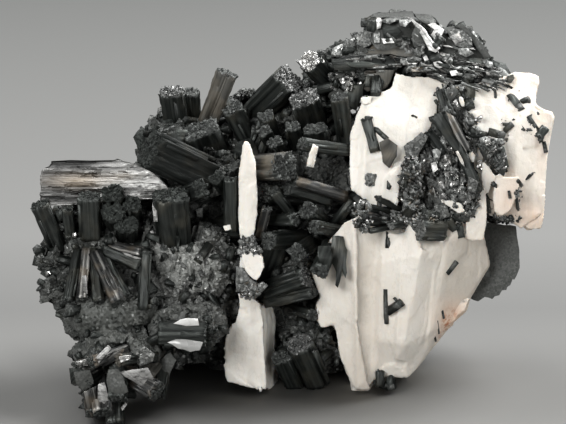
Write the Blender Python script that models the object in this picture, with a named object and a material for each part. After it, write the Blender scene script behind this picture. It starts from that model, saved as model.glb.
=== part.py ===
"""Manganite on barite: a cluster of black striated manganite prisms grown with cream barite plates.

Metres, +Z up. The origin is at the middle of the bounding box, on the surface that the specimen
rests on. Its show side faces -Y and leans back. Places are given on a display face that leans back
by DISPLAY_LEAN: millimetres across from its left edge, up its slope, and out of it.
"""

import math
from dataclasses import dataclass

import bmesh
import bpy
from mathutils import Matrix, Vector, noise
from mathutils.geometry import delaunay_2d_cdt

MM = 0.001

# Driving dimensions, in millimetres and degrees.
DISPLAY_LEAN = 18.0
DISPLAY_CENTRE_ACROSS = 56.6
DISPLAY_CENTRE_UP = 42.4
DISPLAY_CENTRE_HEIGHT = 32.8
SIGHT_DISTANCE = 700.0
SHIFT_ACROSS = -2.56
SHIFT_BACK = 3.46
GAP = 0.3
PLATE_GAP = 0.45
MASS_KEPT_FACES = 0.5
LONGEST_MITRE = 3.5
FLAT_WITHIN = 0.3
RIB_FROM_WIDTH = 3.4
RIB_LONGER = 0.14
RIB_PROUD = 0.18
SQUARE = ((1, 1), (-1, 1), (-1, -1), (1, -1))
FLOOR_BLOCK = 200.0

# Where many shells cross, the exact solver can leave a hole, and the other one closes it.
SOLVERS = ("EXACT", "MANIFOLD")

LEAN_SIN = math.sin(math.radians(DISPLAY_LEAN))
LEAN_COS = math.cos(math.radians(DISPLAY_LEAN))
SIGHT = Vector((0.0, -LEAN_COS, LEAN_SIN))

MANGANITE_COLOUR = (0.022, 0.023, 0.024)
GRANULAR_COLOUR = (0.045, 0.046, 0.046)
SILVER_COLOUR = (0.30, 0.30, 0.29)
BARITE_COLOUR = (0.86, 0.82, 0.76)


@dataclass
class Prism:
    """A striated crystal from its root to its free end, as places on the display face."""

    tip: tuple
    root: tuple
    width: float
    thick: float
    roll: float = 0.0


@dataclass
class Plate:
    """A barite plate: its front outline, the ridges and hollows inside it, and its thickness."""

    outline: list
    inner: list
    thickness: float
    back_size: float = 0.94
    back_shift: float = 0.0


@dataclass
class Lump:
    """A rounded lump of massive manganite, by its centre and its half sizes across, up and out."""

    centre: tuple
    half: tuple


PRISMS = {
    # The left wing, from its silver prism down to the foot that it stands on.
    "silver_prism": [Prism((9.2, 48.4, 9.0), (34.6, 47.6, 7.0), 8.8, 5.0)],
    "left_end_prism": [Prism((7.9, 44.0, 12.0), (12.0, 34.4, 7.0), 3.6, 3.2)],
    "left_short_prism": [Prism((13.4, 43.2, 13.0), (14.6, 35.2, 9.0), 2.2, 2.0)],
    "left_post_prism": [Prism((17.8, 45.6, 15.5), (18.2, 37.4, 11.0), 4.5, 3.8)],
    "rosette_knobs": [
        Prism((22.4, 46.2, 15.0), (23.2, 43.6, 8.0), 4.2, 3.8),
        Prism((22.6, 42.4, 16.0), (23.4, 40.0, 9.0), 4.4, 4.0),
        Prism((26.2, 44.0, 14.5), (26.4, 41.0, 8.0), 4.0, 3.4),
        Prism((25.2, 40.0, 16.0), (25.2, 37.6, 9.0), 4.8, 3.4),
    ],
    "fan_of_prisms": [
        Prism((13.6, 24.4, 17.0), (15.6, 34.8, 12.0), 2.4, 2.0),
        Prism((16.2, 24.8, 19.0), (17.2, 34.8, 13.0), 2.2, 2.0),
        Prism((19.6, 24.4, 18.5), (18.4, 34.8, 12.5), 2.4, 2.0),
        Prism((23.8, 24.4, 20.0), (19.2, 34.2, 14.0), 3.2, 2.6),
        Prism((25.4, 25.4, 17.5), (20.4, 34.8, 12.5), 2.2, 2.0),
        Prism((28.2, 31.6, 16.5), (20.6, 34.8, 13.0), 2.6, 2.2),
        Prism((28.4, 34.2, 15.5), (20.6, 36.0, 11.0), 2.4, 2.2),
    ],
    "wing_upright_prism": [Prism((29.2, 34.4, 17.0), (28.6, 22.8, 17.0), 2.3, 2.2)],
    "stout_prism": [Prism((34.0, 45.8, 16.0), (35.0, 36.4, 10.0), 6.8, 5.2)],
    "wing_low_prism": [Prism((41.0, 18.0, 18.0), (31.6, 18.2, 18.5), 6.2, 4.6)],
    "foot_flat_prism": [Prism((18.2, 12.4, 24.0), (25.4, 15.2, 18.0), 2.6, 2.2)],
    "foot_tawny_prism": [Prism((23.8, 12.8, 24.0), (31.2, 13.4, 17.0), 2.6, 2.2)],
    "foot_cluster": [
        Prism((31.4, 6.4, 22.0), (24.8, 10.4, 18.0), 4.2, 3.2),
        Prism((23.4, 4.8, 23.0), (23.6, 11.6, 20.0), 4.0, 3.0),
        Prism((15.6, 10.8, 22.0), (20.0, 12.4, 17.0), 3.6, 3.0),
        Prism((16.8, 7.8, 22.0), (20.0, 10.4, 17.0), 3.2, 3.0),
        Prism((20.8, 2.2, 22.4), (19.8, 9.0, 18.0), 4.0, 3.2),
        Prism((18.6, 2.0, 21.4), (17.6, 8.6, 17.0), 3.0, 2.6),
        Prism((23.0, -0.2, 20.6), (22.8, 7.0, 17.0), 3.8, 3.2),
    ],
    "wing_back_prism": [Prism((31.6, 5.6, 16.5), (33.6, 15.0, 11.0), 2.8, 2.6)],
    # The upper left, behind the wing.
    "wedge_prism": [Prism((30.0, 55.0, 14.0), (41.4, 49.6, 6.0), 7.6, 6.4)],
    "back_left_prism": [Prism((34.3, 66.6, 1.0), (36.0, 54.4, -6.0), 4.8, 4.4)],
    "back_second_prism": [Prism((38.2, 66.4, -1.0), (38.8, 58.8, -7.0), 3.2, 3.2)],
    "tall_prism": [Prism((45.6, 70.2, 1.0), (41.6, 60.2, -2.0), 4.4, 3.6)],
    "notched_prism": [Prism((40.0, 59.0, 5.5), (43.0, 51.6, -3.0), 7.4, 4.2)],
    "lower_end_prism": [Prism((43.2, 49.4, 13.0), (46.0, 45.8, 5.0), 3.2, 2.8)],
    "dark_end_prism": [Prism((40.2, 47.2, 15.0), (34.8, 45.0, 7.0), 3.6, 3.4)],
    "upright_prism": [Prism((46.0, 49.2, 13.0), (46.2, 38.6, 10.0), 2.9, 2.4)],
    # The crown, from the spire to the upper barite plate.
    "leaning_prism": [Prism((46.4, 63.2, 4.0), (51.6, 53.2, -3.0), 4.0, 3.6)],
    "crown_prism": [Prism((57.8, 69.0, 3.0), (49.0, 60.4, -8.0), 6.0, 5.4)],
    "crown_front_prism": [Prism((60.8, 65.2, 6.5), (63.4, 57.4, -4.0), 6.0, 4.2)],
    "bright_end_prism": [Prism((61.8, 72.6, 2.0), (67.4, 66.6, -7.0), 4.6, 4.4)],
    "small_end_prisms": [
        Prism((53.2, 61.6, 6.0), (55.0, 56.4, -1.0), 3.2, 2.8),
        Prism((52.8, 58.6, 8.0), (55.0, 55.2, 1.0), 2.8, 2.4),
        Prism((55.0, 56.4, 10.0), (56.6, 53.4, 2.0), 3.4, 2.2),
    ],
    "split_end_prism": [Prism((58.4, 59.6, 9.0), (59.6, 54.0, 0.0), 3.2, 2.4)],
    "flat_end_prism": [Prism((63.0, 59.2, 9.5), (63.8, 54.0, 1.0), 4.8, 2.2)],
    "crossbar_prism": [Prism((60.2, 56.0, 13.0), (69.4, 54.8, 8.0), 2.7, 2.6)],
    "hexagonal_prism": [Prism((56.8, 51.4, 16.0), (50.4, 51.2, 4.0), 5.6, 5.4)],
    "streaked_prisms": [
        Prism((58.8, 48.4, 14.6), (69.0, 45.4, 9.0), 2.6, 2.6),
        Prism((57.4, 47.0, 14.0), (66.0, 44.6, 9.0), 2.4, 2.4),
    ],
    "slab_edge_prism": [Prism((67.8, 65.4, 9.0), (69.4, 54.8, 2.0), 3.4, 3.0)],
    # The middle, between the spire and the lower barite lobe.
    "dark_centre_prisms": [
        Prism((52.9, 46.2, 12.0), (60.4, 45.6, 6.0), 3.8, 3.4),
        Prism((54.6, 46.8, 13.0), (58.6, 41.4, 9.0), 2.4, 2.2),
    ],
    "spire_side_prism": [Prism((53.4, 43.2, 15.0), (51.9, 37.4, 12.0), 2.0, 1.8)],
    "centre_upper_prism": [Prism((59.2, 41.0, 15.0), (53.8, 40.6, 8.0), 2.6, 2.4)],
    "centre_lower_prisms": [
        Prism((53.4, 36.6, 15.0), (60.8, 37.2, 6.0), 3.8, 3.4),
        Prism((59.4, 34.2, 16.5), (62.0, 36.0, 6.0), 3.6, 3.4),
    ],
    "knob_prism": [Prism((61.4, 42.8, 16.5), (64.2, 40.8, 7.0), 3.4, 3.2)],
    "knob_side_prism": [Prism((62.6, 39.4, 16.5), (68.0, 38.6, 8.0), 2.6, 2.4)],
    "hanging_prism": [Prism((63.8, 30.4, 17.0), (66.0, 36.0, 10.0), 3.4, 2.6)],
    "long_prism_pair": [
        Prism((61.2, 29.4, 15.0), (53.2, 26.6, 9.0), 4.0, 3.6),
        Prism((62.6, 26.6, 13.0), (53.2, 24.4, 8.0), 2.8, 2.8),
    ],
    "recess_upper_prism": [Prism((62.4, 21.8, 10.0), (57.4, 23.4, 2.0), 2.4, 2.4)],
    "recess_large_prism": [Prism((60.0, 16.2, 9.0), (63.4, 8.4, 1.0), 5.4, 5.0)],
    "recess_side_prism": [Prism((56.2, 13.4, 7.0), (59.2, 6.6, 0.0), 3.8, 3.6)],
    # The dark band over the barite, and the block behind the lobe.
    "band_long_prism": [Prism((95.6, 46.4, 12.0), (88.4, 63.2, 10.0), 2.2, 2.0)],
    "band_brown_prism": [Prism((83.6, 53.0, 14.0), (81.8, 42.6, 11.0), 4.2, 3.0)],
    "band_side_prisms": [
        Prism((71.6, 43.2, 16.5), (80.4, 40.8, 11.0), 2.8, 2.6),
        Prism((71.8, 39.8, 17.0), (80.6, 39.8, 11.0), 2.6, 2.4),
    ],
    "stout_end_prism": [Prism((86.2, 36.8, 16.0), (86.4, 43.4, 10.0), 4.2, 3.6)],
    "plate_face_prism": [Prism((97.4, 56.0, 11.0), (100.2, 49.8, 4.0), 3.6, 2.6)],
    "right_back_block": [Prism((99.6, 27.4, -3.0), (99.8, 43.4, -9.0), 7.6, 5.6)],
}

BARITE = {
    "barite_spire": [
        Plate(
            [
                (47.4, 28.8, 15.0),
                (49.2, 30.4, 15.0),
                (51.6, 28.8, 15.0),
                (52.8, 31.2, 15.5),
                (52.8, 33.4, 15.5),
                (50.8, 36.6, 16.0),
                (51.6, 41.8, 16.5),
                (51.6, 44.8, 17.0),
                (51.2, 52.8, 17.5),
                (50.2, 55.8, 17.5),
                (49.2, 57.0, 17.0),
                (48.4, 55.8, 17.5),
                (47.6, 50.2, 17.5),
                (47.4, 45.4, 17.0),
                (47.6, 40.4, 16.5),
                (48.0, 34.8, 15.5),
            ],
            [],
            5.0,
            0.86,
        )
    ],
    "barite_foot": [
        Plate(
            [
                (45.2, 8.4, 5.0),
                (52.6, 6.4, 7.0),
                (53.4, 6.6, 5.4),
                (52.6, 21.2, 9.0),
                (52.0, 24.4, 10.0),
                (50.0, 25.4, 10.5),
                (47.4, 26.4, 10.0),
                (47.6, 24.2, 9.5),
                (47.0, 20.8, 8.5),
                (45.4, 19.2, 7.0),
                (44.6, 16.2, 6.0),
                (44.6, 11.2, 5.5),
            ],
            [],
            9.0,
            0.9,
            3.2,
        )
    ],
    "barite_upper_plate": [
        Plate(
            [
                (74.4, 43.2, 12.0),
                (80.4, 43.2, 12.0),
                (81.0, 48.8, 11.5),
                (80.8, 52.8, 11.0),
                (83.4, 52.8, 11.0),
                (85.4, 57.6, 10.0),
                (87.4, 61.8, 9.0),
                (87.6, 63.8, 8.0),
                (89.4, 67.6, 7.0),
                (91.4, 68.6, 6.0),
                (88.0, 69.8, 6.0),
                (82.6, 69.4, 6.0),
                (79.0, 70.4, 5.5),
                (78.0, 67.2, 6.5),
                (75.4, 66.4, 7.0),
                (72.4, 64.6, 7.6),
                (71.0, 61.8, 8.5),
                (69.8, 57.8, 9.5),
                (69.6, 52.0, 10.5),
                (70.0, 46.8, 11.5),
            ],
            [(78.0, 60.0, 10.4), (79.0, 50.0, 12.6)],
            10.0,
        )
    ],
    "barite_lobe": [
        Plate(
            [
                (67.2, 19.4, 7.8),
                (67.2, 16.8, 6.8),
                (68.2, 13.4, 5.6),
                (68.8, 10.0, 4.8),
                (70.2, 6.6, 3.8),
                (71.0, 6.2, 3.6),
                (73.6, 6.2, 3.6),
                (75.2, 8.8, 4.4),
                (78.0, 9.2, 4.6),
                (81.6, 8.8, 4.8),
                (84.0, 11.2, 5.0),
                (88.0, 16.4, 4.0),
                (91.2, 20.4, 3.6),
                (93.6, 22.8, 3.0),
                (94.2, 25.2, 3.0),
                (97.0, 29.8, 2.6),
                (98.2, 32.0, 2.4),
                (97.8, 34.8, 3.4),
                (96.8, 40.4, 6.0),
                (84.0, 42.2, 13.4),
                (71.4, 42.2, 12.6),
                (71.0, 32.0, 11.6),
                (69.8, 21.0, 8.4),
            ],
            [(84.2, 34.0, 16.2), (81.0, 16.0, 12.0), (74.6, 32.0, 10.8), (74.4, 17.0, 7.6)],
            15.0,
            0.9,
        )
    ],
    "barite_lobe_blade": [
        Plate(
            [
                (66.8, 20.4, 9.4),
                (65.6, 19.0, 9.4),
                (64.0, 19.0, 9.4),
                (62.8, 21.2, 10.0),
                (62.8, 24.2, 10.6),
                (63.8, 25.4, 11.0),
                (61.8, 31.2, 12.4),
                (65.0, 36.0, 13.0),
                (68.6, 40.4, 13.2),
                (71.6, 41.8, 13.0),
                (71.4, 32.0, 12.4),
                (70.2, 20.4, 9.4),
            ],
            [],
            7.0,
        )
    ],
    "barite_right_plate": [
        Plate(
            [
                (97.0, 41.8, 5.4),
                (102.0, 40.4, 5.6),
                (104.2, 38.8, 5.0),
                (108.6, 41.8, 4.0),
                (109.0, 44.8, 3.8),
                (109.6, 52.8, 3.4),
                (110.2, 56.8, 3.0),
                (111.0, 61.4, 2.6),
                (110.4, 62.4, 2.6),
                (109.0, 62.8, 2.6),
                (107.2, 64.0, 3.0),
                (108.0, 68.4, 1.0),
                (107.8, 69.6, 0.6),
                (106.0, 70.4, 0.4),
                (103.0, 70.6, 1.0),
                (99.0, 69.0, 3.0),
                (95.0, 68.0, 5.0),
                (93.2, 66.4, 6.0),
                (93.4, 58.0, 7.4),
                (95.0, 49.0, 7.0),
            ],
            [(103.0, 60.0, 6.0), (102.0, 49.0, 7.0)],
            13.0,
        )
    ],
    "barite_side_tile": [
        Plate(
            [
                (98.4, 45.6, 9.6),
                (98.8, 42.4, 9.6),
                (100.4, 41.4, 9.6),
                (102.2, 42.6, 9.4),
                (104.0, 46.4, 9.0),
                (104.0, 49.6, 9.0),
                (99.0, 49.6, 9.4),
            ],
            [],
            2.0,
            0.98,
        )
    ],
    "barite_chip": [
        Plate(
            [
                (61.0, 51.6, 15.6),
                (62.4, 51.4, 15.6),
                (63.8, 55.4, 16.2),
                (62.8, 56.0, 16.4),
                (61.8, 54.4, 16.2),
            ],
            [],
            4.0,
            0.9,
        )
    ],
}

MASS = [
    Lump((58.0, 46.0, -6.0), (17.0, 18.0, 13.0)),
    Lump((57.0, 33.0, 0.0), (9.0, 7.0, 9.5)),
    Lump((80.6, 76.0, -7.0), (7.6, 6.6, 10.0)),
    Lump((88.6, 71.8, -5.0), (10.4, 6.6, 11.0)),
    Lump((66.6, 69.4, -5.0), (4.4, 4.8, 6.0)),
    Lump((60.0, 63.0, -8.0), (9.0, 5.0, 7.0)),
    Lump((49.0, 59.6, -7.0), (5.6, 6.4, 6.0)),
    Lump((33.0, 57.0, -3.0), (4.6, 5.0, 6.0)),
    Lump((72.6, 71.4, -5.0), (7.0, 5.4, 9.0)),
    Lump((96.4, 67.6, -4.0), (6.4, 5.4, 8.0)),
    Lump((86.0, 54.0, -11.0), (18.0, 17.0, 12.5)),
    Lump((89.0, 57.0, 3.0), (4.4, 12.0, 7.0)),
    Lump((90.0, 45.0, 5.0), (6.6, 6.0, 7.4)),
    Lump((77.0, 41.4, 6.0), (9.0, 3.4, 7.0)),
    Lump((85.0, 41.0, 7.0), (7.0, 3.6, 6.4)),
    Lump((38.0, 49.0, -3.0), (11.0, 11.0, 12.0)),
    Lump((22.0, 36.8, 4.0), (12.6, 9.0, 9.4)),
    Lump((38.0, 31.8, 5.0), (9.8, 8.4, 9.4)),
    Lump((21.6, 23.0, 9.0), (9.4, 7.4, 10.0)),
    Lump((23.0, 14.0, 13.0), (8.6, 6.0, 7.4)),
    Lump((20.6, 7.6, 15.0), (4.8, 5.6, 5.4)),
    Lump((37.0, 20.0, 8.0), (8.6, 5.6, 8.6)),
    Lump((11.6, 33.0, 8.0), (3.6, 3.8, 4.6)),
    Lump((10.8, 27.0, 10.0), (2.4, 2.4, 3.4)),
    Lump((14.4, 27.0, 9.0), (3.4, 5.0, 5.0)),
    Lump((56.0, 17.0, -14.0), (20.0, 11.0, 13.0)),
    Lump((38.0, 22.0, -6.0), (12.0, 11.0, 12.0)),
    Lump((80.0, 30.0, -10.0), (13.0, 11.0, 10.0)),
    Lump((62.0, 20.0, -2.0), (10.0, 11.0, 6.0)),
]


def at(across, up, out):
    """The point of the specimen at a place on the display face, nearer the eye by out."""
    nearer = 1.0 - out / SIGHT_DISTANCE
    sideways = (across - DISPLAY_CENTRE_ACROSS) * nearer
    slope = (up - DISPLAY_CENTRE_UP) * nearer
    back = slope * LEAN_SIN - out * LEAN_COS
    height = slope * LEAN_COS + out * LEAN_SIN + DISPLAY_CENTRE_HEIGHT
    return Vector((sideways + SHIFT_ACROSS, back + SHIFT_BACK, height)) * MM


def clear_scene():
    """Removes whatever the scene holds at the start."""
    for obj in list(bpy.data.objects):
        bpy.data.objects.remove(obj, do_unlink=True)


def finish_material(name, colour, roughness, metallic):
    """A Principled material of one colour."""
    material = bpy.data.materials.new(name)
    material.use_nodes = True
    shader = material.node_tree.nodes["Principled BSDF"]
    shader.inputs["Base Color"].default_value = (*colour, 1.0)
    shader.inputs["Roughness"].default_value = roughness
    shader.inputs["Metallic"].default_value = metallic
    return material


def mesh_from(bm, name):
    """A mesh of the bmesh, with its faces turned outwards."""
    bmesh.ops.recalc_face_normals(bm, faces=bm.faces)
    mesh = bpy.data.meshes.new(name)
    bm.to_mesh(mesh)
    bm.free()
    return mesh


def prism_section(half_width, half_thick):
    """The eight corners of a prism's section: a rectangle with cut corners."""
    cut = 0.5 * min(half_width, half_thick)
    quarter = [(half_width, half_thick - cut), (half_width - cut, half_thick)]
    corners = quarter
    corners = corners + [(-x, y) for x, y in reversed(quarter)]
    corners = corners + [(-x, -y) for x, y in quarter]
    return corners + [(x, -y) for x, y in reversed(quarter)]


def prism_mesh(tip, root, half_width, half_thick, roll, sideways=0.0):
    """A closed prism between two points, its broad face towards the eye before it is rolled."""
    axis = (tip - root).normalized()
    side = axis.cross(SIGHT).normalized()
    turn = Matrix.Rotation(math.radians(roll), 3, axis)
    side = turn @ side
    face = side.cross(axis)
    bm = bmesh.new()
    rings = []
    for end, size in ((root, 0.92), (tip, 1.0)):
        ring = []
        for x, y in prism_section(half_width * size, half_thick * size):
            ring.append(bm.verts.new(end + side * (x + sideways) + face * y))
        rings.append(ring)
    bmesh.ops.contextual_create(bm, geom=rings[0])
    bmesh.ops.contextual_create(bm, geom=rings[1])
    bmesh.ops.bridge_loops(bm, edges=list(bm.edges))
    return mesh_from(bm, "prism")


def prism_shells(prism, grow=0.0):
    """The closed shells of a crystal: its body and, on a large one, a rib that stands past its end."""
    tip = at(*prism.tip)
    root = at(*prism.root)
    axis = (tip - root).normalized()
    swell = grow * MM
    half_width = 0.5 * prism.width * MM
    half_thick = 0.5 * prism.thick * MM
    far = tip + axis * swell
    near = root - axis * swell
    shells = [prism_mesh(far, near, half_width + swell, half_thick + swell, prism.roll)]
    if prism.width >= RIB_FROM_WIDTH:
        longer = axis * RIB_LONGER * prism.width * MM
        rib_width = 0.52 * half_width
        rib_thick = half_thick + RIB_PROUD * MM
        offset = 0.3 * half_width
        shells.append(
            prism_mesh(
                far + longer,
                near,
                rib_width + swell,
                rib_thick + swell,
                prism.roll,
                offset,
            )
        )
    return shells


def socket_mesh(prism):
    """A plain four-sided block a little larger than a crystal: the socket that its root sits in."""
    tip = at(*prism.tip)
    root = at(*prism.root)
    axis = (tip - root).normalized()
    side = axis.cross(SIGHT).normalized()
    face = side.cross(axis)
    half_width = (0.5 * prism.width + GAP) * MM
    half_thick = (0.5 * prism.thick + RIB_PROUD + GAP) * MM
    beyond = axis * (RIB_LONGER * prism.width + GAP) * MM
    bm = bmesh.new()
    rings = []
    for end in (root - axis * GAP * MM, tip + beyond):
        corners = [end + side * x * half_width + face * y * half_thick for x, y in SQUARE]
        rings.append([bm.verts.new(corner) for corner in corners])
    bmesh.ops.contextual_create(bm, geom=rings[0])
    bmesh.ops.contextual_create(bm, geom=rings[1])
    bmesh.ops.bridge_loops(bm, edges=list(bm.edges))
    return mesh_from(bm, "socket")


def plate_mesh(plate):
    """A closed barite plate: its front follows the outline and ridges, its back is flatter and smaller."""
    points = plate.outline + plate.inner
    flat = [Vector(point[:2]) for point in points]
    loop = list(range(len(plate.outline)))
    filled = delaunay_2d_cdt(flat, [], [loop], 1, 1e-5)
    triangles = filled[2]
    sources = [origins[0] for origins in filled[3]]
    middle_across = sum(point[0] for point in plate.outline) / len(plate.outline)
    middle_up = sum(point[1] for point in plate.outline) / len(plate.outline)
    bm = bmesh.new()
    front = []
    back = []
    for across, up, out in points:
        front.append(bm.verts.new(at(across, up, out)))
        back_across = middle_across + (across - middle_across) * plate.back_size
        back_across += plate.back_shift
        back_up = middle_up + (up - middle_up) * plate.back_size
        back.append(bm.verts.new(at(back_across, back_up, out - plate.thickness)))
    for triangle in triangles:
        corners = [sources[index] for index in triangle]
        bm.faces.new([front[index] for index in corners])
        bm.faces.new([back[index] for index in reversed(corners)])
    count = len(plate.outline)
    for index in range(count):
        following = (index + 1) % count
        bm.faces.new([front[index], back[index], back[following], front[following]])
    return mesh_from(bm, "plate")


def lump_mesh(lump, number):
    """A closed lump with an uneven surface."""
    bm = bmesh.new()
    bmesh.ops.create_icosphere(bm, subdivisions=2, radius=1.0)
    offset = Vector((3.1 * number, 1.7 * number, 0.9 * number))
    for vertex in bm.verts:
        uneven = 1.0 + 0.16 * noise.noise(vertex.co * 1.8 + offset)
        place = [
            centre + half * uneven * part
            for centre, half, part in zip(lump.centre, lump.half, vertex.co)
        ]
        vertex.co = at(*place)
    return mesh_from(bm, "lump")


def grown(mesh, distance):
    """A copy of a closed mesh whose surface stands off by the distance in millimetres."""
    bm = bmesh.new()
    bm.from_mesh(mesh)
    bm.normal_update()
    moves = [vertex.normal * vertex.calc_shell_factor() for vertex in bm.verts]
    for vertex, move in zip(bm.verts, moves):
        longest = min(1.0, LONGEST_MITRE / move.length)
        vertex.co += move * longest * distance * MM
    return mesh_from(bm, mesh.name)


def floor_mesh():
    """The block under the specimen that flattens what it rests on."""
    bm = bmesh.new()
    bmesh.ops.create_cube(bm, size=FLOOR_BLOCK * MM)
    bmesh.ops.translate(bm, verts=bm.verts, vec=(0.0, 0.0, -0.5 * FLOOR_BLOCK * MM))
    return mesh_from(bm, "floor")


def helper_collection(name, meshes):
    """A collection of helper objects, one for each mesh."""
    collection = bpy.data.collections.new(name)
    bpy.context.scene.collection.children.link(collection)
    for index, mesh in enumerate(meshes):
        helper = bpy.data.objects.new(f"{name}_{index}", mesh)
        helper.hide_render = True
        helper.display_type = "WIRE"
        collection.objects.link(helper)
    return collection


def remove_collection(collection):
    """Removes a collection with its helper objects."""
    for helper in list(collection.objects):
        bpy.data.objects.remove(helper, do_unlink=True)
    bpy.data.collections.remove(collection)


def closed(mesh):
    """Whether two faces meet at every edge of a mesh."""
    bm = bmesh.new()
    bm.from_mesh(mesh)
    whole = all(len(edge.link_faces) == 2 for edge in bm.edges)
    bm.free()
    return whole


def boolean_mesh(mesh, others, operation, solver):
    """The mesh joined with the others, or with the others cut from it."""
    if not others:
        return mesh
    collection = helper_collection("helper", others)
    body = bpy.data.objects.new("body", mesh)
    bpy.context.scene.collection.objects.link(body)
    boolean = body.modifiers.new("boolean", "BOOLEAN")
    boolean.operand_type = "COLLECTION"
    boolean.collection = collection
    boolean.operation = operation
    boolean.solver = solver
    bpy.context.view_layer.update()
    graph = bpy.context.evaluated_depsgraph_get()
    made = bpy.data.meshes.new_from_object(body.evaluated_get(graph))
    bpy.data.objects.remove(body, do_unlink=True)
    remove_collection(collection)
    return made


def near_box(mesh, other):
    """Whether the boxes of two meshes meet."""
    for axis in range(3):
        mine = [vertex.co[axis] for vertex in mesh.vertices]
        theirs = [vertex.co[axis] for vertex in other.vertices]
        if min(mine) > max(theirs) or max(mine) < min(theirs):
            return False
    return True


def largest_body(mesh):
    """The mesh with only the largest of its separate bodies, as chips cut loose have fallen away."""
    bm = bmesh.new()
    bm.from_mesh(mesh)
    unseen = set(bm.verts)
    bodies = []
    while unseen:
        stack = [unseen.pop()]
        body = set(stack)
        while stack:
            vertex = stack.pop()
            for edge in vertex.link_edges:
                other = edge.other_vert(vertex)
                if other in unseen:
                    unseen.discard(other)
                    body.add(other)
                    stack.append(other)
        bodies.append(body)
    bodies.sort(key=body_size)
    for body in bodies[:-1]:
        bmesh.ops.delete(bm, geom=list(body), context="VERTS")
    flat = math.radians(FLAT_WITHIN)
    bmesh.ops.dissolve_limit(bm, angle_limit=flat, verts=bm.verts, edges=bm.edges)
    bmesh.ops.triangulate(bm, faces=bm.faces)
    return mesh_from(bm, mesh.name)


def body_size(body):
    """How far a set of vertices reaches."""
    reach = [max(v.co[axis] for v in body) - min(v.co[axis] for v in body) for axis in range(3)]
    return sum(reach)


def cut_from(mesh, cutters):
    """The mesh less those cutters that come near it, as one body."""
    close = [cutter for cutter in cutters if near_box(mesh, cutter)]
    for solver in SOLVERS:
        made = largest_body(boolean_mesh(mesh, close, "DIFFERENCE", solver))
        if closed(made):
            break
    return made


def joined(shells):
    """One mesh of overlapping closed shells."""
    for solver in SOLVERS:
        made = boolean_mesh(shells[0], shells[1:], "UNION", solver)
        if closed(made):
            break
    return made


def add_piece(name, mesh, colour, roughness, metallic):
    """A named object of the mesh, with its origin at its own middle."""
    low = Vector([min(vertex.co[axis] for vertex in mesh.vertices) for axis in range(3)])
    high = Vector([max(vertex.co[axis] for vertex in mesh.vertices) for axis in range(3)])
    middle = (low + high) * 0.5
    mesh.transform(Matrix.Translation(-middle))
    mesh.name = name
    piece = bpy.data.objects.new(name, mesh)
    piece.location = middle
    mesh.materials.clear()
    mesh.materials.append(finish_material(f"{name}_finish", colour, roughness, metallic))
    bpy.context.scene.collection.objects.link(piece)


def build_crystals(floor):
    """Each manganite crystal or group of crystals grown through each other."""
    cutters = [floor]
    for name, prisms in PRISMS.items():
        shells = []
        for prism in prisms:
            shells.extend(prism_shells(prism))
        mesh = cut_from(joined(shells), cutters)
        for prism in prisms:
            cutters.extend(prism_shells(prism, GAP))
        colour = SILVER_COLOUR if name == "silver_prism" else MANGANITE_COLOUR
        add_piece(name, mesh, colour, 0.35, 0.8)
    return cutters


def build_barite(crystals):
    """Each barite plate, with a gap where a crystal or another plate grows through it."""
    swollen = []
    for name, plates in BARITE.items():
        shells = [plate_mesh(plate) for plate in plates]
        mesh = cut_from(joined(shells), crystals + swollen)
        swollen.extend(grown(shell, PLATE_GAP) for shell in shells)
        add_piece(name, mesh, BARITE_COLOUR, 0.55, 0.0)
    return swollen


def coarser(mesh, share):
    """The closed mesh with only a share of its faces."""
    body = bpy.data.objects.new("body", mesh)
    bpy.context.scene.collection.objects.link(body)
    decimate = body.modifiers.new("coarser", "DECIMATE")
    decimate.ratio = share
    bpy.context.view_layer.update()
    graph = bpy.context.evaluated_depsgraph_get()
    made = bpy.data.meshes.new_from_object(body.evaluated_get(graph))
    bpy.data.objects.remove(body, do_unlink=True)
    return made


def build_mass(cutters):
    """The massive manganite that everything grows on, cut flat underneath."""
    lumps = [lump_mesh(lump, number) for number, lump in enumerate(MASS)]
    sockets = [socket_mesh(prism) for prisms in PRISMS.values() for prism in prisms]
    body = coarser(joined(lumps), MASS_KEPT_FACES)
    mesh = cut_from(body, cutters + sockets)
    add_piece("manganite_mass", mesh, GRANULAR_COLOUR, 0.6, 0.5)


def main():
    """Builds the specimen."""
    clear_scene()
    floor = floor_mesh()
    crystals = build_crystals(floor)
    plates = build_barite(crystals)
    build_mass([floor] + plates)


main()
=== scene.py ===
"""Manganite on barite: the finished specimen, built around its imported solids.

The show side is described on a display face that leans back: millimetres across from its left
edge, up its slope, and out of it towards the eye. Crystals are fluted bodies with ribs along them
and a patchwork of small grains at their ends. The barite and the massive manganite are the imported
solids remeshed, worn and roughened.
"""

import logging
import math
import random
from dataclasses import dataclass
from enum import Enum
from typing import Any, Iterable

import bmesh
import bpy
import numpy as np
from mathutils import Matrix, Vector, noise
from mathutils.bvhtree import BVHTree
from mathutils.kdtree import KDTree


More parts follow.
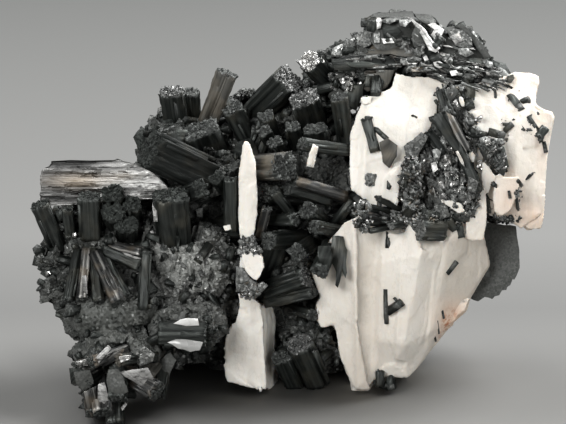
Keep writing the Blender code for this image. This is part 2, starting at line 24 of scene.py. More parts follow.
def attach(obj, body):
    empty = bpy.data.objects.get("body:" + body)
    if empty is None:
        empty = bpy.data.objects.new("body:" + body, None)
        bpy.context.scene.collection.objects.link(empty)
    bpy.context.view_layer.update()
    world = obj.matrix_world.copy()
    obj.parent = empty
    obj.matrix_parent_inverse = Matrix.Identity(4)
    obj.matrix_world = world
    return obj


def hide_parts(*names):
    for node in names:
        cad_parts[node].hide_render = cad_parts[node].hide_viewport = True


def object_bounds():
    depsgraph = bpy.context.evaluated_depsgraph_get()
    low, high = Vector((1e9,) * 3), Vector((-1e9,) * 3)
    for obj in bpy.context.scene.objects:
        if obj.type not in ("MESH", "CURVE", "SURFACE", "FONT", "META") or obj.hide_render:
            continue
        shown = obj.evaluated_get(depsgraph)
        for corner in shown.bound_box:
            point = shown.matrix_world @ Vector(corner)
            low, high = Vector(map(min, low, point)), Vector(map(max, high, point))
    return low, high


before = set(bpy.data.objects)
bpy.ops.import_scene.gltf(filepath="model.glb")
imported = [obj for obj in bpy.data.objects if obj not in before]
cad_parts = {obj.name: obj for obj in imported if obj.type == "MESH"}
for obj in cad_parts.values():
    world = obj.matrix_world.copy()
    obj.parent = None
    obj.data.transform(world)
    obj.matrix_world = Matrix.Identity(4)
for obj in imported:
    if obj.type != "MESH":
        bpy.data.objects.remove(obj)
CAD_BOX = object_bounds()

LOG = logging.getLogger("specimen")
MM = 0.001
BODY = "root"
LIT = "lit_by_reflector"
BASE = 0.3  # How high above the floor the base of a carved piece reaches, in millimetres.
FOOTING = (0.6, 0.7)  # How high the lowest places for crystals are, and the lowest tips.
SLACK = 0.5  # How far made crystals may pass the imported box, in millimetres.
ELSEWHERE = 50.0  # How far away a pattern may start on the next crystal.

Triple = tuple[float, float, float]
Pair = tuple[float, float]


@dataclass(frozen=True)
class DisplayFace:
    """The leaning face that places are given on, and the eye that looks at it.

    Lengths are in millimetres.
    """

    lean_deg: float = 18.0
    centre_across: float = 56.6
    centre_up: float = 42.4
    centre_height: float = 32.8
    shift_across: float = -2.56
    shift_back: float = 3.46
    sight_distance: float = 700.0
    view_width: float = 113.2

    def sight(self) -> Vector:
        """The direction out of the face, towards the eye."""
        lean = math.radians(self.lean_deg)
        return Vector((0.0, -math.cos(lean), math.sin(lean)))

    def slope(self) -> Vector:
        """The direction up the face."""
        lean = math.radians(self.lean_deg)
        return Vector((0.0, math.sin(lean), math.cos(lean)))

    def centre(self) -> Vector:
        """The middle of the face, in metres."""
        return Vector((self.shift_across, self.shift_back, self.centre_height)) * MM

    def eye(self) -> Vector:
        """Where the eye is, in metres."""
        return self.centre() + self.sight() * self.sight_distance * MM

    def at(self, across: float, up: float, out: float) -> Vector:
        """The point that the eye sees at a place on the face, nearer to it by out.

        Args:
            across: Millimetres from the face's left edge.
            up: Millimetres up its slope.
            out: Millimetres out of it.

        Returns:
            The point in metres.
        """
        nearer = 1.0 - out / self.sight_distance
        sideways = Vector((1.0, 0.0, 0.0)) * (across - self.centre_across) * nearer
        upwards = self.slope() * (up - self.centre_up) * nearer
        return self.centre() + (sideways + upwards + self.sight() * out) * MM

    def place_of(self, point: Vector) -> Triple:
        """The place on the face of a point in metres, as across, up and out.

        Args:
            point: The point in metres.

        Returns:
            How far across, up and out it is, in millimetres.
        """
        offset = (point - self.centre()) / MM
        out = offset.dot(self.sight())
        nearer = 1.0 - out / self.sight_distance
        across = offset.x / nearer + self.centre_across
        up = offset.dot(self.slope()) / nearer + self.centre_up
        return across, up, out

    def places_of(self, points: np.ndarray) -> np.ndarray:
        """The places on the face of many points in metres, one row each.

        Args:
            points: The points in metres, one row each.

        Returns:
            How far across, up and out each is, in millimetres.
        """
        offsets = (points - np.array(self.centre())) / MM
        out = offsets @ np.array(self.sight())
        nearer = 1.0 - out / self.sight_distance
        across = offsets[:, 0] / nearer + self.centre_across
        up = offsets @ np.array(self.slope()) / nearer + self.centre_up
        return np.stack((across, up, out), axis=1)

    def turned(self, across: float, up: float, out: float) -> Vector:
        """A direction given by its parts across, up and out of the face."""
        made = Vector((across, 0.0, 0.0)) + self.slope() * up + self.sight() * out
        return made.normalized()


FACE = DisplayFace()


class Finish(Enum):
    """The finishes of the manganite, as the number of the material slot that holds each."""

    BLACK = 0
    END = 1
    SILVER = 2
    BROWN = 3
    GREY = 4
    BRIGHT = 5
    STREAKED = 6
    SLATE = 7
    GLITTER = 8
    PALE = 9
    # Pale facets whose colour is a painted glint.
    FROST = 10
    PAINTED_GLINT = 11
    COAL = 12
    # Grey facets whose colour is a painted sheen.
    PAINTED_SHEEN = 13
    DIM = 14


@dataclass(frozen=True)
class Crystal:
    """A striated prism from its root to its free end, in millimetres on the display face."""

    tip: Triple
    root: Triple
    width: float
    thick: float
    finish: Finish = Finish.BLACK
    end: Finish = Finish.END
    grain: float = 0.6
    squareness: float = 0.32
    ribs: float = 1.0


@dataclass(frozen=True)
class Stick:
    """A small crystal that lies on the barite from one end to the other."""

    start: Pair
    end: Pair
    width: float
    finish: Finish = Finish.BLACK
    lift: float = 0.1


@dataclass(frozen=True)
class Flake:
    """A flat broken crystal, its outline given on the display face.

    Lines run along it at an angle from across, lean is how far it comes out per millimetre across
    and up, and lift is how far its face stands proud of what is under it.
    """

    outline: tuple[Pair, ...]
    finish: Finish
    lines: float = 0.0
    lean: Pair = (0.0, 0.0)
    lift: float = 0.4
    thick: float = 1.4
    out: float | None = None
    tone: float | None = None


@dataclass(frozen=True)
class Druse:
    """A patch of small crystals: where it is, how many, how large, and which way they point."""

    middle: Pair
    half: Pair
    count: int
    length: Pair
    width: Pair
    heading: Triple
    spread: float
    finish: Finish = Finish.BLACK
    turn: float = 0.0
    shine: float = 0.06
    over: bool = False


def points_of(geometry: Iterable[Any]) -> list[bmesh.types.BMVert]:
    """The points among what an operator made."""
    return [item for item in geometry if isinstance(item, bmesh.types.BMVert)]


def edges_of(geometry: Iterable[Any]) -> list[bmesh.types.BMEdge]:
    """The edges among what an operator made."""
    return [item for item in geometry if isinstance(item, bmesh.types.BMEdge)]


def everything_in(bm: bmesh.types.BMesh) -> list[Any]:
    """All the points, edges and faces of a shape."""
    return list(bm.verts) + list(bm.edges) + list(bm.faces)


def thickened(bm: bmesh.types.BMesh, face: bmesh.types.BMFace, thick: float) -> None:
    """Gives a flat face a thickness in millimetres, away from the eye.

    Args:
        bm: What holds the face.
        face: The face.
        thick: How thick it gets.
    """
    grown = bmesh.ops.extrude_face_region(bm, geom=[face])["geom"]
    bmesh.ops.translate(bm, verts=points_of(grown), vec=-FACE.sight() * thick * MM)
    bmesh.ops.recalc_face_normals(bm, faces=list(bm.faces))


def standing(side: Vector, axis: Vector) -> Matrix:
    """The turn of a crystal whose length runs along an axis, with one side given."""
    return Matrix((side, axis.cross(side), axis)).transposed().to_4x4()


class Shape:
    """A closed shape made in a bmesh, ready to be copied into a bundle."""

    def __init__(self, bm: bmesh.types.BMesh) -> None:
        """Reads the points, corners, slots and pattern coordinates, then frees the bmesh.

        Args:
            bm: The bmesh, which is used up.
        """
        bm.verts.index_update()
        pattern = bm.loops.layers.uv.active
        self.points = np.array([vert.co[:] for vert in bm.verts], np.float64)
        self.sizes = np.array([len(face.verts) for face in bm.faces], np.int64)
        self.corners = np.array([vert.index for face in bm.faces for vert in face.verts], np.int64)
        self.slots = np.array([face.material_index for face in bm.faces], np.int64)
        spots = [loop[pattern].uv[:] for face in bm.faces for loop in face.loops]
        self.pattern = np.array(spots, np.float64)
        bm.free()


class Bundle:
    """Copies of shapes, gathered into one mesh."""

    def __init__(self) -> None:
        """Starts empty."""
        self.points: list[np.ndarray] = []
        self.corners: list[np.ndarray] = []
        self.sizes: list[np.ndarray] = []
        self.slots: list[np.ndarray] = []
        self.pattern: list[np.ndarray] = []
        self.tones: list[np.ndarray] = []
        self.count = 0

    def add(
        self,
        shape: Shape,
        points: np.ndarray,
        pattern: np.ndarray,
        tone: float | np.ndarray,
        slots: np.ndarray | None = None,
    ) -> None:
        """Adds one copy of a shape.

        Args:
            shape: The shape whose faces the copy has.
            points: The copy's points, in metres.
            pattern: Its pattern coordinates, in millimetres around and along.
            tone: How light it is beside its neighbours, from 0 to 1, or each of its points is.
            slots: Its faces' material slots, where they differ from the shape's.
        """
        self.points.append(points)
        self.corners.append(shape.corners + self.count)
        self.sizes.append(shape.sizes)
        self.slots.append(shape.slots if slots is None else slots)
        self.pattern.append(pattern)
        self.tones.append(np.broadcast_to(tone, len(points)))
        self.count += len(points)

    def mesh(self, name: str) -> bpy.types.Mesh:
        """The mesh of everything added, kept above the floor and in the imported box.

        Args:
            name: The mesh's name.

        Returns:
            The mesh.
        """
        points = np.concatenate(self.points)
        low, high = np.array(CAD_BOX[0]), np.array(CAD_BOX[1])
        points = np.clip(points, low - (SLACK * MM, SLACK * MM, 0.0), high + SLACK * MM)
        corners = np.concatenate(self.corners)
        sizes = np.concatenate(self.sizes)
        mesh = bpy.data.meshes.new(name)
        mesh.vertices.add(len(points))
        mesh.vertices.foreach_set("co", points.ravel())
        mesh.loops.add(len(corners))
        mesh.loops.foreach_set("vertex_index", corners)
        mesh.polygons.add(len(sizes))
        mesh.polygons.foreach_set("loop_start", np.cumsum(sizes) - sizes)
        mesh.polygons.foreach_set("material_index", np.concatenate(self.slots))
        layer = mesh.uv_layers.new(name="pattern")
        layer.data.foreach_set("uv", np.concatenate(self.pattern).ravel())
        tone = mesh.attributes.new("tone", "FLOAT", "POINT")
        tone.data.foreach_set("value", np.concatenate(self.tones))
        mesh.update()
        return mesh


class PrismForm:
    """A prism's faces, in rows up its sides and rings in over its end, for a crystal to shape.

    Each point keeps which side it is on, its row, and how far out from the middle of the end it is.
    """

    def __init__(self, sides: int, rows: int, rings: int) -> None:
        """Extrudes a ring of edges up the sides and in over the end, and closes both ends.

        Args:
            sides: How many points lie around it.
            rows: How many rows of faces lie up its sides.
            rings: How many rings lie in over its end.
        """
        bm = bmesh.new()
        side_of = bm.verts.layers.int.new("side")
        row_of = bm.verts.layers.int.new("row")
        out_of = bm.verts.layers.float.new("out")
        ring = bmesh.ops.create_circle(bm, cap_ends=False, segments=sides, radius=1.0)["verts"]
        for index, vert in enumerate(ring):
            vert[side_of] = index
            vert[out_of] = 1.0
        bmesh.ops.contextual_create(bm, geom=list(bm.edges))
        edges = list(bm.edges)
        for step in range(1, rows + rings):
            grown = bmesh.ops.extrude_edge_only(bm, edges=edges)["geom"]
            fresh = set(points_of(grown))
            edges = [edge for edge in edges_of(grown) if set(edge.verts) <= fresh]
            for vert in fresh:
                vert[row_of] = min(step, rows)
                vert[out_of] = min(1.0, 1.0 - (step - rows) / rings)
                around = math.tau * vert[side_of] / sides
                vert.co = (math.cos(around), math.sin(around), vert[row_of])
                vert.co *= Vector((vert[out_of], vert[out_of], 1.0))
        bmesh.ops.contextual_create(bm, geom=edges)
        bmesh.ops.recalc_face_normals(bm, faces=bm.faces)
        self.side = np.array([vert[side_of] for vert in bm.verts])
        self.row = np.array([vert[row_of] for vert in bm.verts])
        self.out = np.array([vert[out_of] for vert in bm.verts])
        self.sides = sides
        self.rows = rows
        pattern = bm.loops.layers.uv.verify()
        for face in bm.faces:
            face.material_index = int(face.calc_center_median().z > rows - 0.01)
            spots = [loop.vert[side_of] for loop in face.loops]
            wraps = max(spots) - min(spots) > 0.5 * sides
            for loop in face.loops:
                spot = loop.vert[side_of]
                if wraps and spot < 0.5 * sides:
                    spot += sides
                loop[pattern].uv = (spot / sides, loop.vert[row_of] / rows)
        self.shape = Shape(bm)


class ShapeMaker:
    """Makes the few shapes that the small crystals are copies of."""

    kinds = 14
    # The faces that a crystal's body may have around, along and in over its end, and how far
    # apart they are in millimetres.
    side_counts, side_width = (24, 32, 48, 64, 88), 0.27
    row_counts, row_height = (6, 9, 13, 18), 0.8
    ring_counts, ring_width = (3, 5, 7, 10), 0.3
    cuts, reach, farther = 5, 0.40, 0.22

    def __init__(self, rng: random.Random) -> None:
        """Makes the grains, with a slanting end, and the chunks, cut by a few planes."""
        self.rng = rng
        self.grains = [self.grain() for _ in range(self.kinds)]
        self.chunks = [self.chunk() for _ in range(self.kinds)]
        self.forms: dict[tuple[int, int, int], PrismForm] = {}

    def form(self, perimeter: float, length: float, radius: float) -> PrismForm:
        """The form that suits a crystal of a size in millimetres.

        Args:
            perimeter: How far it is around the crystal.
            length: How long the crystal is.
            radius: How far it is from the middle of its end to the nearest side.

        Returns:
            The form.
        """
        sides = min(self.side_counts, key=lambda count: abs(count - perimeter / self.side_width))
        rows = min(self.row_counts, key=lambda count: abs(count - length / self.row_height))
        rings = min(self.ring_counts, key=lambda count: abs(count - radius / self.ring_width))
        key = (sides, rows, rings)
        if key not in self.forms:
            self.forms[key] = PrismForm(*key)
        return self.forms[key]

    def mapped(self, bm: bmesh.types.BMesh) -> None:
        """Gives a small shape pattern coordinates that run around and along its z axis.

        Args:
            bm: The shape.
        """
        pattern = bm.loops.layers.uv.verify()
        for face in bm.faces:
            for loop in face.loops:
                place = loop.vert.co
                around = math.atan2(place.y, place.x) / math.tau * 3.0
                loop[pattern].uv = (around, place.z)

    def cut(self, bm: bmesh.types.BMesh, point: Vector, normal: Vector) -> None:
        """Cuts off what lies beyond a plane and closes the shape there.

        Args:
            bm: The shape.
            point: A point on the plane.
            normal: The way that what is cut off lies.
        """
        made = bmesh.ops.bisect_plane(
            bm, geom=everything_in(bm), plane_co=point, plane_no=normal, clear_outer=True
        )
        edges = edges_of(made["geom_cut"])
        if len(edges) > 2:
            bmesh.ops.contextual_create(bm, geom=edges)

    def grain(self) -> Shape:
        """A prism one across, from z = -1 to an end near z = 0 that slants.

        Returns:
            The shape.
        """
        bm = bmesh.new()
        sides = self.rng.choice((5, 6, 6, 7))
        ring = bmesh.ops.create_circle(bm, cap_ends=True, segments=sides, radius=0.5)["verts"]
        for vert in ring:
            vert.co *= self.rng.uniform(0.82, 1.12)
            vert.co.z = -1.0
        top = bmesh.ops.extrude_edge_only(bm, edges=list(bm.edges))["geom"]
        raised = points_of(top)
        bmesh.ops.translate(bm, verts=raised, vec=(0.0, 0.0, 1.2))
        rim = [edge for edge in bm.edges if edge.verts[0] in raised and edge.verts[1] in raised]
        bmesh.ops.contextual_create(bm, geom=rim)
        for _ in range(self.rng.choice((1, 2, 2))):
            turn = self.rng.uniform(0.0, math.tau)
            slant = self.rng.uniform(0.05, 0.5)
            normal = Vector((slant * math.cos(turn), slant * math.sin(turn), 1.0)).normalized()
            self.cut(bm, Vector((0.0, 0.0, 0.0)), normal)
        bmesh.ops.recalc_face_normals(bm, faces=bm.faces)
        for face in bm.faces:
            face.material_index = 1 if face.normal.z > 0.5 else 0
        self.mapped(bm)
        return Shape(bm)

    def chunk(self) -> Shape:
        """A block one across with some of its corners and edges cut off.

        Returns:
            The shape.
        """
        bm = bmesh.new()
        bmesh.ops.create_cube(bm, size=1.0)
        for _ in range(self.cuts):
            normal = Vector([self.rng.gauss(0.0, 1.0) for _ in range(3)]).normalized()
            self.cut(bm, normal * self.rng.uniform(self.reach, self.reach + self.farther), normal)
        bmesh.ops.recalc_face_normals(bm, faces=bm.faces)
        self.mapped(bm)
        return Shape(bm)


class CrystalGrower:
    """Builds striated crystals, and copies small ones, into a bundle."""

    solid = 5.0  # From this thickness on, in millimetres, a flake is a block without creases.
    rim_step = 0.9  # How far apart a flake's rim points are, and how ragged the rim is.
    ragged = 0.1
    edge = 0.06  # How far a flake's edge is cut back, and how uneven its face is.
    lath_depths = (0.0, 0.1, 0.3, 0.6, 1.0)
    lath_steps = (0.0, 0.5, 1.0, -0.5)
    ripple = 0.05
    lowest, highest = -0.6, 0.4  # How far a crease may move a flake's face.
    groove_share, least_groove, most_groove = 0.055, 0.05, 0.4
    lath_width, widest_lath = 0.75, 0.2  # In millimetres, and as a share of the way around.
    taper = (0.92, 0.08)  # How wide a crystal is at its root, and how much it widens.
    rib_size, rib_length = (0.12, 0.34), (0.45, 0.98)
    rib_tops, short_rib = (1.0, 0.97, 0.9), (0.5, 0.9)

    def __init__(self, shapes: ShapeMaker, seed: int) -> None:
        """Starts an empty bundle with its own random order."""
        self.shapes = shapes
        self.rng = random.Random(seed)
        self.bundle = Bundle()

    def section(self, half_width: float, half_thick: float, squareness: float) -> list[Pair]:
        """The eight corners of a crystal's section: a rectangle with cut corners.

        Args:
            half_width: Half the crystal's width, in millimetres.
            half_thick: Half its thickness.
            squareness: How much of each corner is cut, as a share of the lesser half.

        Returns:
            The corners, in order around it.
        """
        cut = squareness * min(half_width, half_thick)
        quarter = [(half_width, half_thick - cut), (half_width - cut, half_thick)]
        corners = quarter + [(-x, y) for x, y in reversed(quarter)]
        corners += [(-x, -y) for x, y in quarter]
        corners += [(x, -y) for x, y in reversed(quarter)]
        worn = [self.rng.uniform(0.88, 1.06) for _ in corners]
        return [(x * size, y * size) for (x, y), size in zip(corners, worn)]

    def laths(self, form: PrismForm, groove: float, pitch: float) -> np.ndarray:
        """How deep each of a form's points lies, where laths that end part way cover its sides.

        Args:
            form: The form.
            groove: How deep the deepest laths lie, in millimetres.
            pitch: How wide a lath is beside the way around.

        Returns:
            The depths in millimetres.
        """
        starts: list[int] = []
        spot = 0.0
        while spot < form.sides:
            starts.append(int(spot))
            spot += max(1.0, form.sides * pitch * self.rng.uniform(0.3, 1.8))
        lath = np.searchsorted(np.array(starts), form.side, side="right") - 1
        deep = np.array([groove * self.rng.choice(self.lath_depths) for _ in starts])
        more = np.array([groove * self.rng.choice(self.lath_steps) for _ in starts])
        ends = np.array([self.rng.uniform(0.1, 1.2) for _ in starts])
        beyond = form.row / form.rows > ends[lath]
        rows = range(form.rows + 1)
        ripple = [[self.rng.gauss(0.0, self.ripple) for _ in rows] for _ in range(form.sides)]
        ripple = np.array(ripple) + np.roll(np.array(ripple), 1, axis=1)
        return deep[lath] + np.where(beyond, more[lath], 0.0) + ripple[form.side, form.row]

    def end_cells(
        self, x: np.ndarray, y: np.ndarray, grain: float, reach: Pair
    ) -> tuple[np.ndarray, np.ndarray]:
        """The broken end of a crystal, as cells that each have their own height and slant.

        Args:
            x: Places across it, in millimetres.
            y: Places through it.
            grain: How wide a cell is.
            reach: Half its width and half its thickness.

        Returns:
            The height at each place in millimetres, and its cell's tone from 0 to 1.
        """
        if not grain:
            return np.zeros(len(x)), np.full(len(x), 0.5)
        count = max(4, int(4.0 * reach[0] * reach[1] / grain**2))
        seeds = np.array([[self.rng.uniform(-side, side) for side in reach] for _ in range(count)])
        rise = np.array([self.rng.uniform(-0.6, 0.4) * grain for _ in range(count)])
        slants = np.array([[self.rng.gauss(0.0, 0.3) for _ in range(2)] for _ in range(count)])
        tones = np.array([self.rng.random() for _ in range(count)])
        across = x[:, None] - seeds[:, 0]
        through = y[:, None] - seeds[:, 1]
        nearest = np.argmin(across**2 + through**2, axis=1)
        rows = np.arange(len(x))
        slope = across[rows, nearest] * slants[nearest, 0]
        slope += through[rows, nearest] * slants[nearest, 1]
        rough = np.array([self.rng.gauss(0.0, self.ripple) for _ in range(len(x))])
        return rise[nearest] + slope + rough, tones[nearest]

    def copy(
        self,
        shape: Shape,
        matrix: np.ndarray,
        size: Triple,
        tone: float,
        slots: np.ndarray | None = None,
    ) -> None:
        """Adds a copy of a shape with its own sizes, in millimetres, at a place and turn in metres.

        Args:
            shape: The shape.
            matrix: Its place and turn.
            size: Its sizes.
            tone: How light it is beside its neighbours, from 0 to 1.
            slots: Its faces' material slots, where they differ from the shape's.
        """
        points = shape.points * np.array(size) * MM
        placed = points @ matrix[:3, :3].T + matrix[:3, 3]
        start = self.rng.uniform(0.0, ELSEWHERE)
        pattern = shape.pattern * np.array((size[0], size[2])) + start
        self.bundle.add(shape, placed, pattern, tone, slots)

    def grain(
        self,
        frame_at: np.ndarray,
        place: Triple,
        size: float,
        length: float,
        finish: Finish,
        end: Finish,
        flat: float = 1.0,
    ) -> None:
        """Adds one grain along a crystal's axis.

        Args:
            frame_at: The crystal's turn and root, in metres.
            place: Where the grain's end is, in millimetres from the root.
            size: How wide the grain is, in millimetres.
            length: How far back from its end it reaches, in millimetres.
            finish: The finish of its sides.
            end: The finish of its end.
            flat: How thick it is beside its width.
        """
        shape = self.rng.choice(self.shapes.grains)
        turn = self.rng.uniform(0.0, math.tau)
        wide = size * self.rng.uniform(0.85, 1.2)
        points = shape.points.copy()
        lower = points[:, 2] < -0.9
        points[:, 2] *= wide
        points[lower, 2] = -length
        points[:, 1] *= flat
        cosine, sine = math.cos(turn), math.sin(turn)
        turned = np.stack(
            (
                wide * (points[:, 0] * cosine - points[:, 1] * sine) + place[0],
                wide * (points[:, 0] * sine + points[:, 1] * cosine) + place[1],
                points[:, 2] + place[2],
            ),
            axis=1,
        )
        placed = (turned * MM) @ frame_at[:3, :3].T + frame_at[:3, 3]
        start = self.rng.uniform(0.0, ELSEWHERE)
        pattern = shape.pattern * np.array((wide, length)) + start
        slots = np.where(shape.slots == 1, end.value, finish.value)
        self.bundle.add(shape, placed, pattern, self.rng.random(), slots)

    def grow(self, crystal: Crystal) -> None:
        """Adds a crystal: its fluted body, the ribs along it and the grains of its end.

        Args:
            crystal: The crystal.
        """
        tip = FACE.at(*crystal.tip)
        root = FACE.at(*crystal.root)
        axis = (tip - root).normalized()
        length = (tip - root).length / MM
        turn = standing(axis.cross(FACE.sight()).normalized(), axis)
        turn.translation = root
        frame_at = np.array(turn)
        self.add_body(crystal, frame_at, length)
        self.add_ribs(crystal, frame_at, length)
        self.add_end(crystal, frame_at, length)

    def add_body(self, crystal: Crystal, frame_at: np.ndarray, length: float) -> None:
        """Adds a crystal's body: its grooved sides and its broken end.

        Args:
            crystal: The crystal.
            frame_at: Its turn and root, in metres.
            length: Its length in millimetres.
        """
        half = (0.5 * crystal.width, 0.5 * crystal.thick)
        corners = self.section(*half, crystal.squareness)
        closed = np.array(corners + corners[:1])
        marks = np.concatenate(([0.0], np.cumsum(np.linalg.norm(np.diff(closed, axis=0), axis=1))))
        perimeter = float(marks[-1])
        form = self.shapes.form(perimeter, length, min(half))
        spot = form.side / form.sides * perimeter
        x = np.interp(spot, marks, closed[:, 0])
        y = np.interp(spot, marks, closed[:, 1])
        groove = self.groove_share * min(crystal.width, crystal.thick) + self.least_groove
        pitch = min(self.widest_lath, self.lath_width / perimeter)
        depth = self.laths(form, min(self.most_groove, groove), pitch)
        share = form.row / form.rows
        at_root, wider = self.taper
        inwards = (at_root + wider * share) * (1.0 - depth / np.hypot(x, y)) * form.out
        x = x * inwards
        y = y * inwards
        z = share * length
        heights, tones = self.end_cells(x, y, crystal.grain, half)
        top = form.row == form.rows
        z = np.where(top, length + heights, z)
        placed = (np.stack((x, y, z), axis=1) * MM) @ frame_at[:3, :3].T + frame_at[:3, 3]
        scale = np.array((perimeter, length))
        pattern = form.shape.pattern * scale + self.rng.uniform(0.0, ELSEWHERE)
        slots = np.where(form.shape.slots == 1, crystal.end.value, crystal.finish.value)
        tone = np.where(top & (form.out < 0.99), tones, self.rng.uniform(0.2, 0.9))
        self.bundle.add(form.shape, placed, pattern, tone, slots)

    def add_ribs(self, crystal: Crystal, frame_at: np.ndarray, length: float) -> None:
        """Adds narrow prisms that stand proud along a crystal's sides.

        Args:
            crystal: The crystal.
            frame_at: Its turn and root, in metres.
            length: Its length in millimetres.
        """
        half_width = 0.5 * crystal.width
        half_thick = 0.5 * crystal.thick
        count = int((2 + crystal.width * 0.9) * crystal.ribs)
        for _ in range(count):
            angle = self.rng.uniform(0.0, math.tau)
            size = self.rng.uniform(*self.rib_size) * min(crystal.width, crystal.thick)
            reach = 1.0 / max(abs(math.cos(angle)), abs(math.sin(angle)), 0.72)
            inner = 0.5 * size * self.rng.uniform(0.75, 1.2)
            x = (half_width - inner) * reach * math.cos(angle)
            y = (half_thick - inner) * reach * math.sin(angle)
            top = length * self.rng.choice((*self.rib_tops, self.rng.uniform(*self.short_rib)))
            back = top * self.rng.uniform(*self.rib_length)
            self.grain(frame_at, (x, y, top), size, back, crystal.finish, crystal.end)

    def add_end(self, crystal: Crystal, frame_at: np.ndarray, length: float) -> None:
        """Adds the few chips that stand proud of a crystal's end.

        Args:
            crystal: The crystal.
            frame_at: Its turn and root, in metres.
            length: Its length in millimetres.
        """
        if not crystal.grain:
            return
        half_width = 0.5 * crystal.width
        half_thick = 0.5 * crystal.thick
        count = int(1.1 * crystal.width * crystal.thick / crystal.grain)
        turn = Matrix(frame_at.tolist())
        axis = turn.to_3x3() @ Vector((0.0, 0.0, 1.0))
        for _ in range(count):
            angle = self.rng.uniform(0.0, math.tau)
            reach = math.sqrt(self.rng.random()) * 0.96
            x = half_width * reach * math.cos(angle)
            y = half_thick * reach * math.sin(angle)
            size = crystal.grain * self.rng.uniform(0.5, 1.3)
            sizes = worn_size(size, self.rng, (0.5, 1.0), (0.4, 0.8))
            point = turn @ (Vector((x, y, length - 0.1 * size)) * MM)
            self.shard(point, axis, sizes, crystal.end)

    def scattered(
        self,
        point: Vector,
        axis: Vector,
        width: float,
        length: float,
        finish: Finish,
        end: Finish,
        flat: float = 1.0,
    ) -> None:
        """Adds a lone small grain whose middle is at a point in metres.

        Args:
            point: The point.
            axis: The way that the grain points.
            width: Its width in millimetres.
            length: Its length in millimetres.
            finish: The finish of its sides.
            end: The finish of its end.
            flat: How thick it is beside its width.
        """
        turn = standing(axis.orthogonal().normalized(), axis)
        turn.translation = point + axis * 0.6 * length * MM
        self.grain(np.array(turn), (0.0, 0.0, 0.0), width, length, finish, end, flat)

    def sliver(self, start: Vector, end: Vector, width: float, thick: float, finish: Finish) -> None:
        """Adds an angular splinter between two points in metres.

        Args:
            start: Where it starts.
            end: Where it ends.
            width: Its width in millimetres.
            thick: Its thickness in millimetres.
            finish: Its finish.
        """
        axis = (end - start).normalized()
        turn = standing(axis.cross(FACE.sight()).normalized(), axis)
        turn = turn @ Matrix.Rotation(self.rng.uniform(-0.5, 0.5), 4, "Z")
        turn.translation = (start + end) * 0.5
        shape = self.rng.choice(self.shapes.chunks)
        slots = np.full(len(shape.slots), finish.value)
        length = (end - start).length / MM
        self.copy(shape, np.array(turn), (width, thick, 1.12 * length), self.rng.random(), slots)

    def flake(self, flake: Flake, out: float) -> None:
        """Adds a flat broken crystal.

        Args:
            flake: Its outline and finish.
            out: How far out its face's middle is, in millimetres.
        """
        middle = np.mean(np.array(flake.outline), axis=0)
        bm = bmesh.new()
        rim = []
        for index, corner in enumerate(flake.outline):
            following = flake.outline[(index + 1) % len(flake.outline)]
            steps = max(1, int(math.dist(corner, following) / self.rim_step))
            for step in range(steps):
                share = step / steps
                across = corner[0] + (following[0] - corner[0]) * share
                across += self.rng.uniform(-self.ragged, self.ragged)
                up = corner[1] + (following[1] - corner[1]) * share
                up += self.rng.uniform(-self.ragged, self.ragged)
                lean = flake.lean[0] * (across - middle[0]) + flake.lean[1] * (up - middle[1])
                uneven = self.rng.uniform(-self.edge, self.edge)
                rim.append(bm.verts.new(FACE.at(across, up, out + lean + uneven)))
        face = bm.faces.new(rim)
        thickened(bm, face, flake.thick)
        edges = list(face.edges)
        cut = self.edge * MM
        bmesh.ops.bevel(
            bm, geom=edges, offset=cut, affect="EDGES", segments=1, profile=0.5, material=-1
        )
        extent = float(np.ptp(np.array(flake.outline), axis=0).max())
        if flake.thick < self.solid and flake.finish not in (Finish.PAINTED_GLINT, Finish.PAINTED_SHEEN):
            for _ in range(min(4, int(extent / 1.1))):
                self.crease(bm, middle, 0.3 * extent, out)
        pattern = bm.loops.layers.uv.verify()
        turn = math.radians(flake.lines)
        start = self.rng.uniform(0.0, ELSEWHERE)
        for face in bm.faces:
            for loop in face.loops:
                across, up, _ = FACE.place_of(loop.vert.co)
                aside = up * math.cos(turn) - across * math.sin(turn)
                along = across * math.cos(turn) + up * math.sin(turn)
                loop[pattern].uv = (aside + start, along)
        shape = Shape(bm)
        slots = np.full(len(shape.slots), flake.finish.value)
        tone = self.rng.uniform(0.4, 1.0) if flake.tone is None else flake.tone
        self.bundle.add(shape, shape.points, shape.pattern, tone, slots)

    def crease(self, bm: bmesh.types.BMesh, middle: np.ndarray, reach: float, out: float) -> None:
        """Bends a flake along a line across it.

        Args:
            bm: The flake.
            middle: The middle of its outline on the display face.
            reach: How far from the middle the line may pass, in millimetres.
            out: How far out its face is, in millimetres.
        """
        turn = self.rng.uniform(0.0, math.tau)
        aside = self.rng.uniform(-reach, reach)
        normal = FACE.turned(math.cos(turn), math.sin(turn), 0.0).normalized()
        point = FACE.at(middle[0], middle[1], out) + normal * aside * MM
        bmesh.ops.bisect_plane(bm, geom=everything_in(bm), plane_co=point, plane_no=normal)
        slope = self.rng.uniform(-0.3, 0.35)
        for vert in bm.verts:
            beyond = (vert.co - point).dot(normal)
            if beyond > 0.0:
                moved = max(self.lowest * MM, min(self.highest * MM, beyond * slope))
                vert.co += FACE.sight() * moved

    def shard(self, point: Vector, normal: Vector, size: Triple, finish: Finish) -> None:
        """Adds a lone chip at a point in metres, its flat side more or less along the surface.

        Args:
            point: The point.
            normal: The way out of the surface there.
            size: Its three sizes in millimetres.
            finish: Its finish.
        """
        axis = normal + Vector([self.rng.gauss(0.0, 0.45) for _ in range(3)])
        turn = axis.to_track_quat("Z", "Y").to_matrix().to_4x4()
        turn = turn @ Matrix.Rotation(self.rng.uniform(0.0, math.tau), 4, "Z")
        turn.translation = point
        shape = self.rng.choice(self.shapes.chunks)
        slots = np.full(len(shape.slots), finish.value)
        self.copy(shape, np.array(turn), size, self.rng.random(), slots)


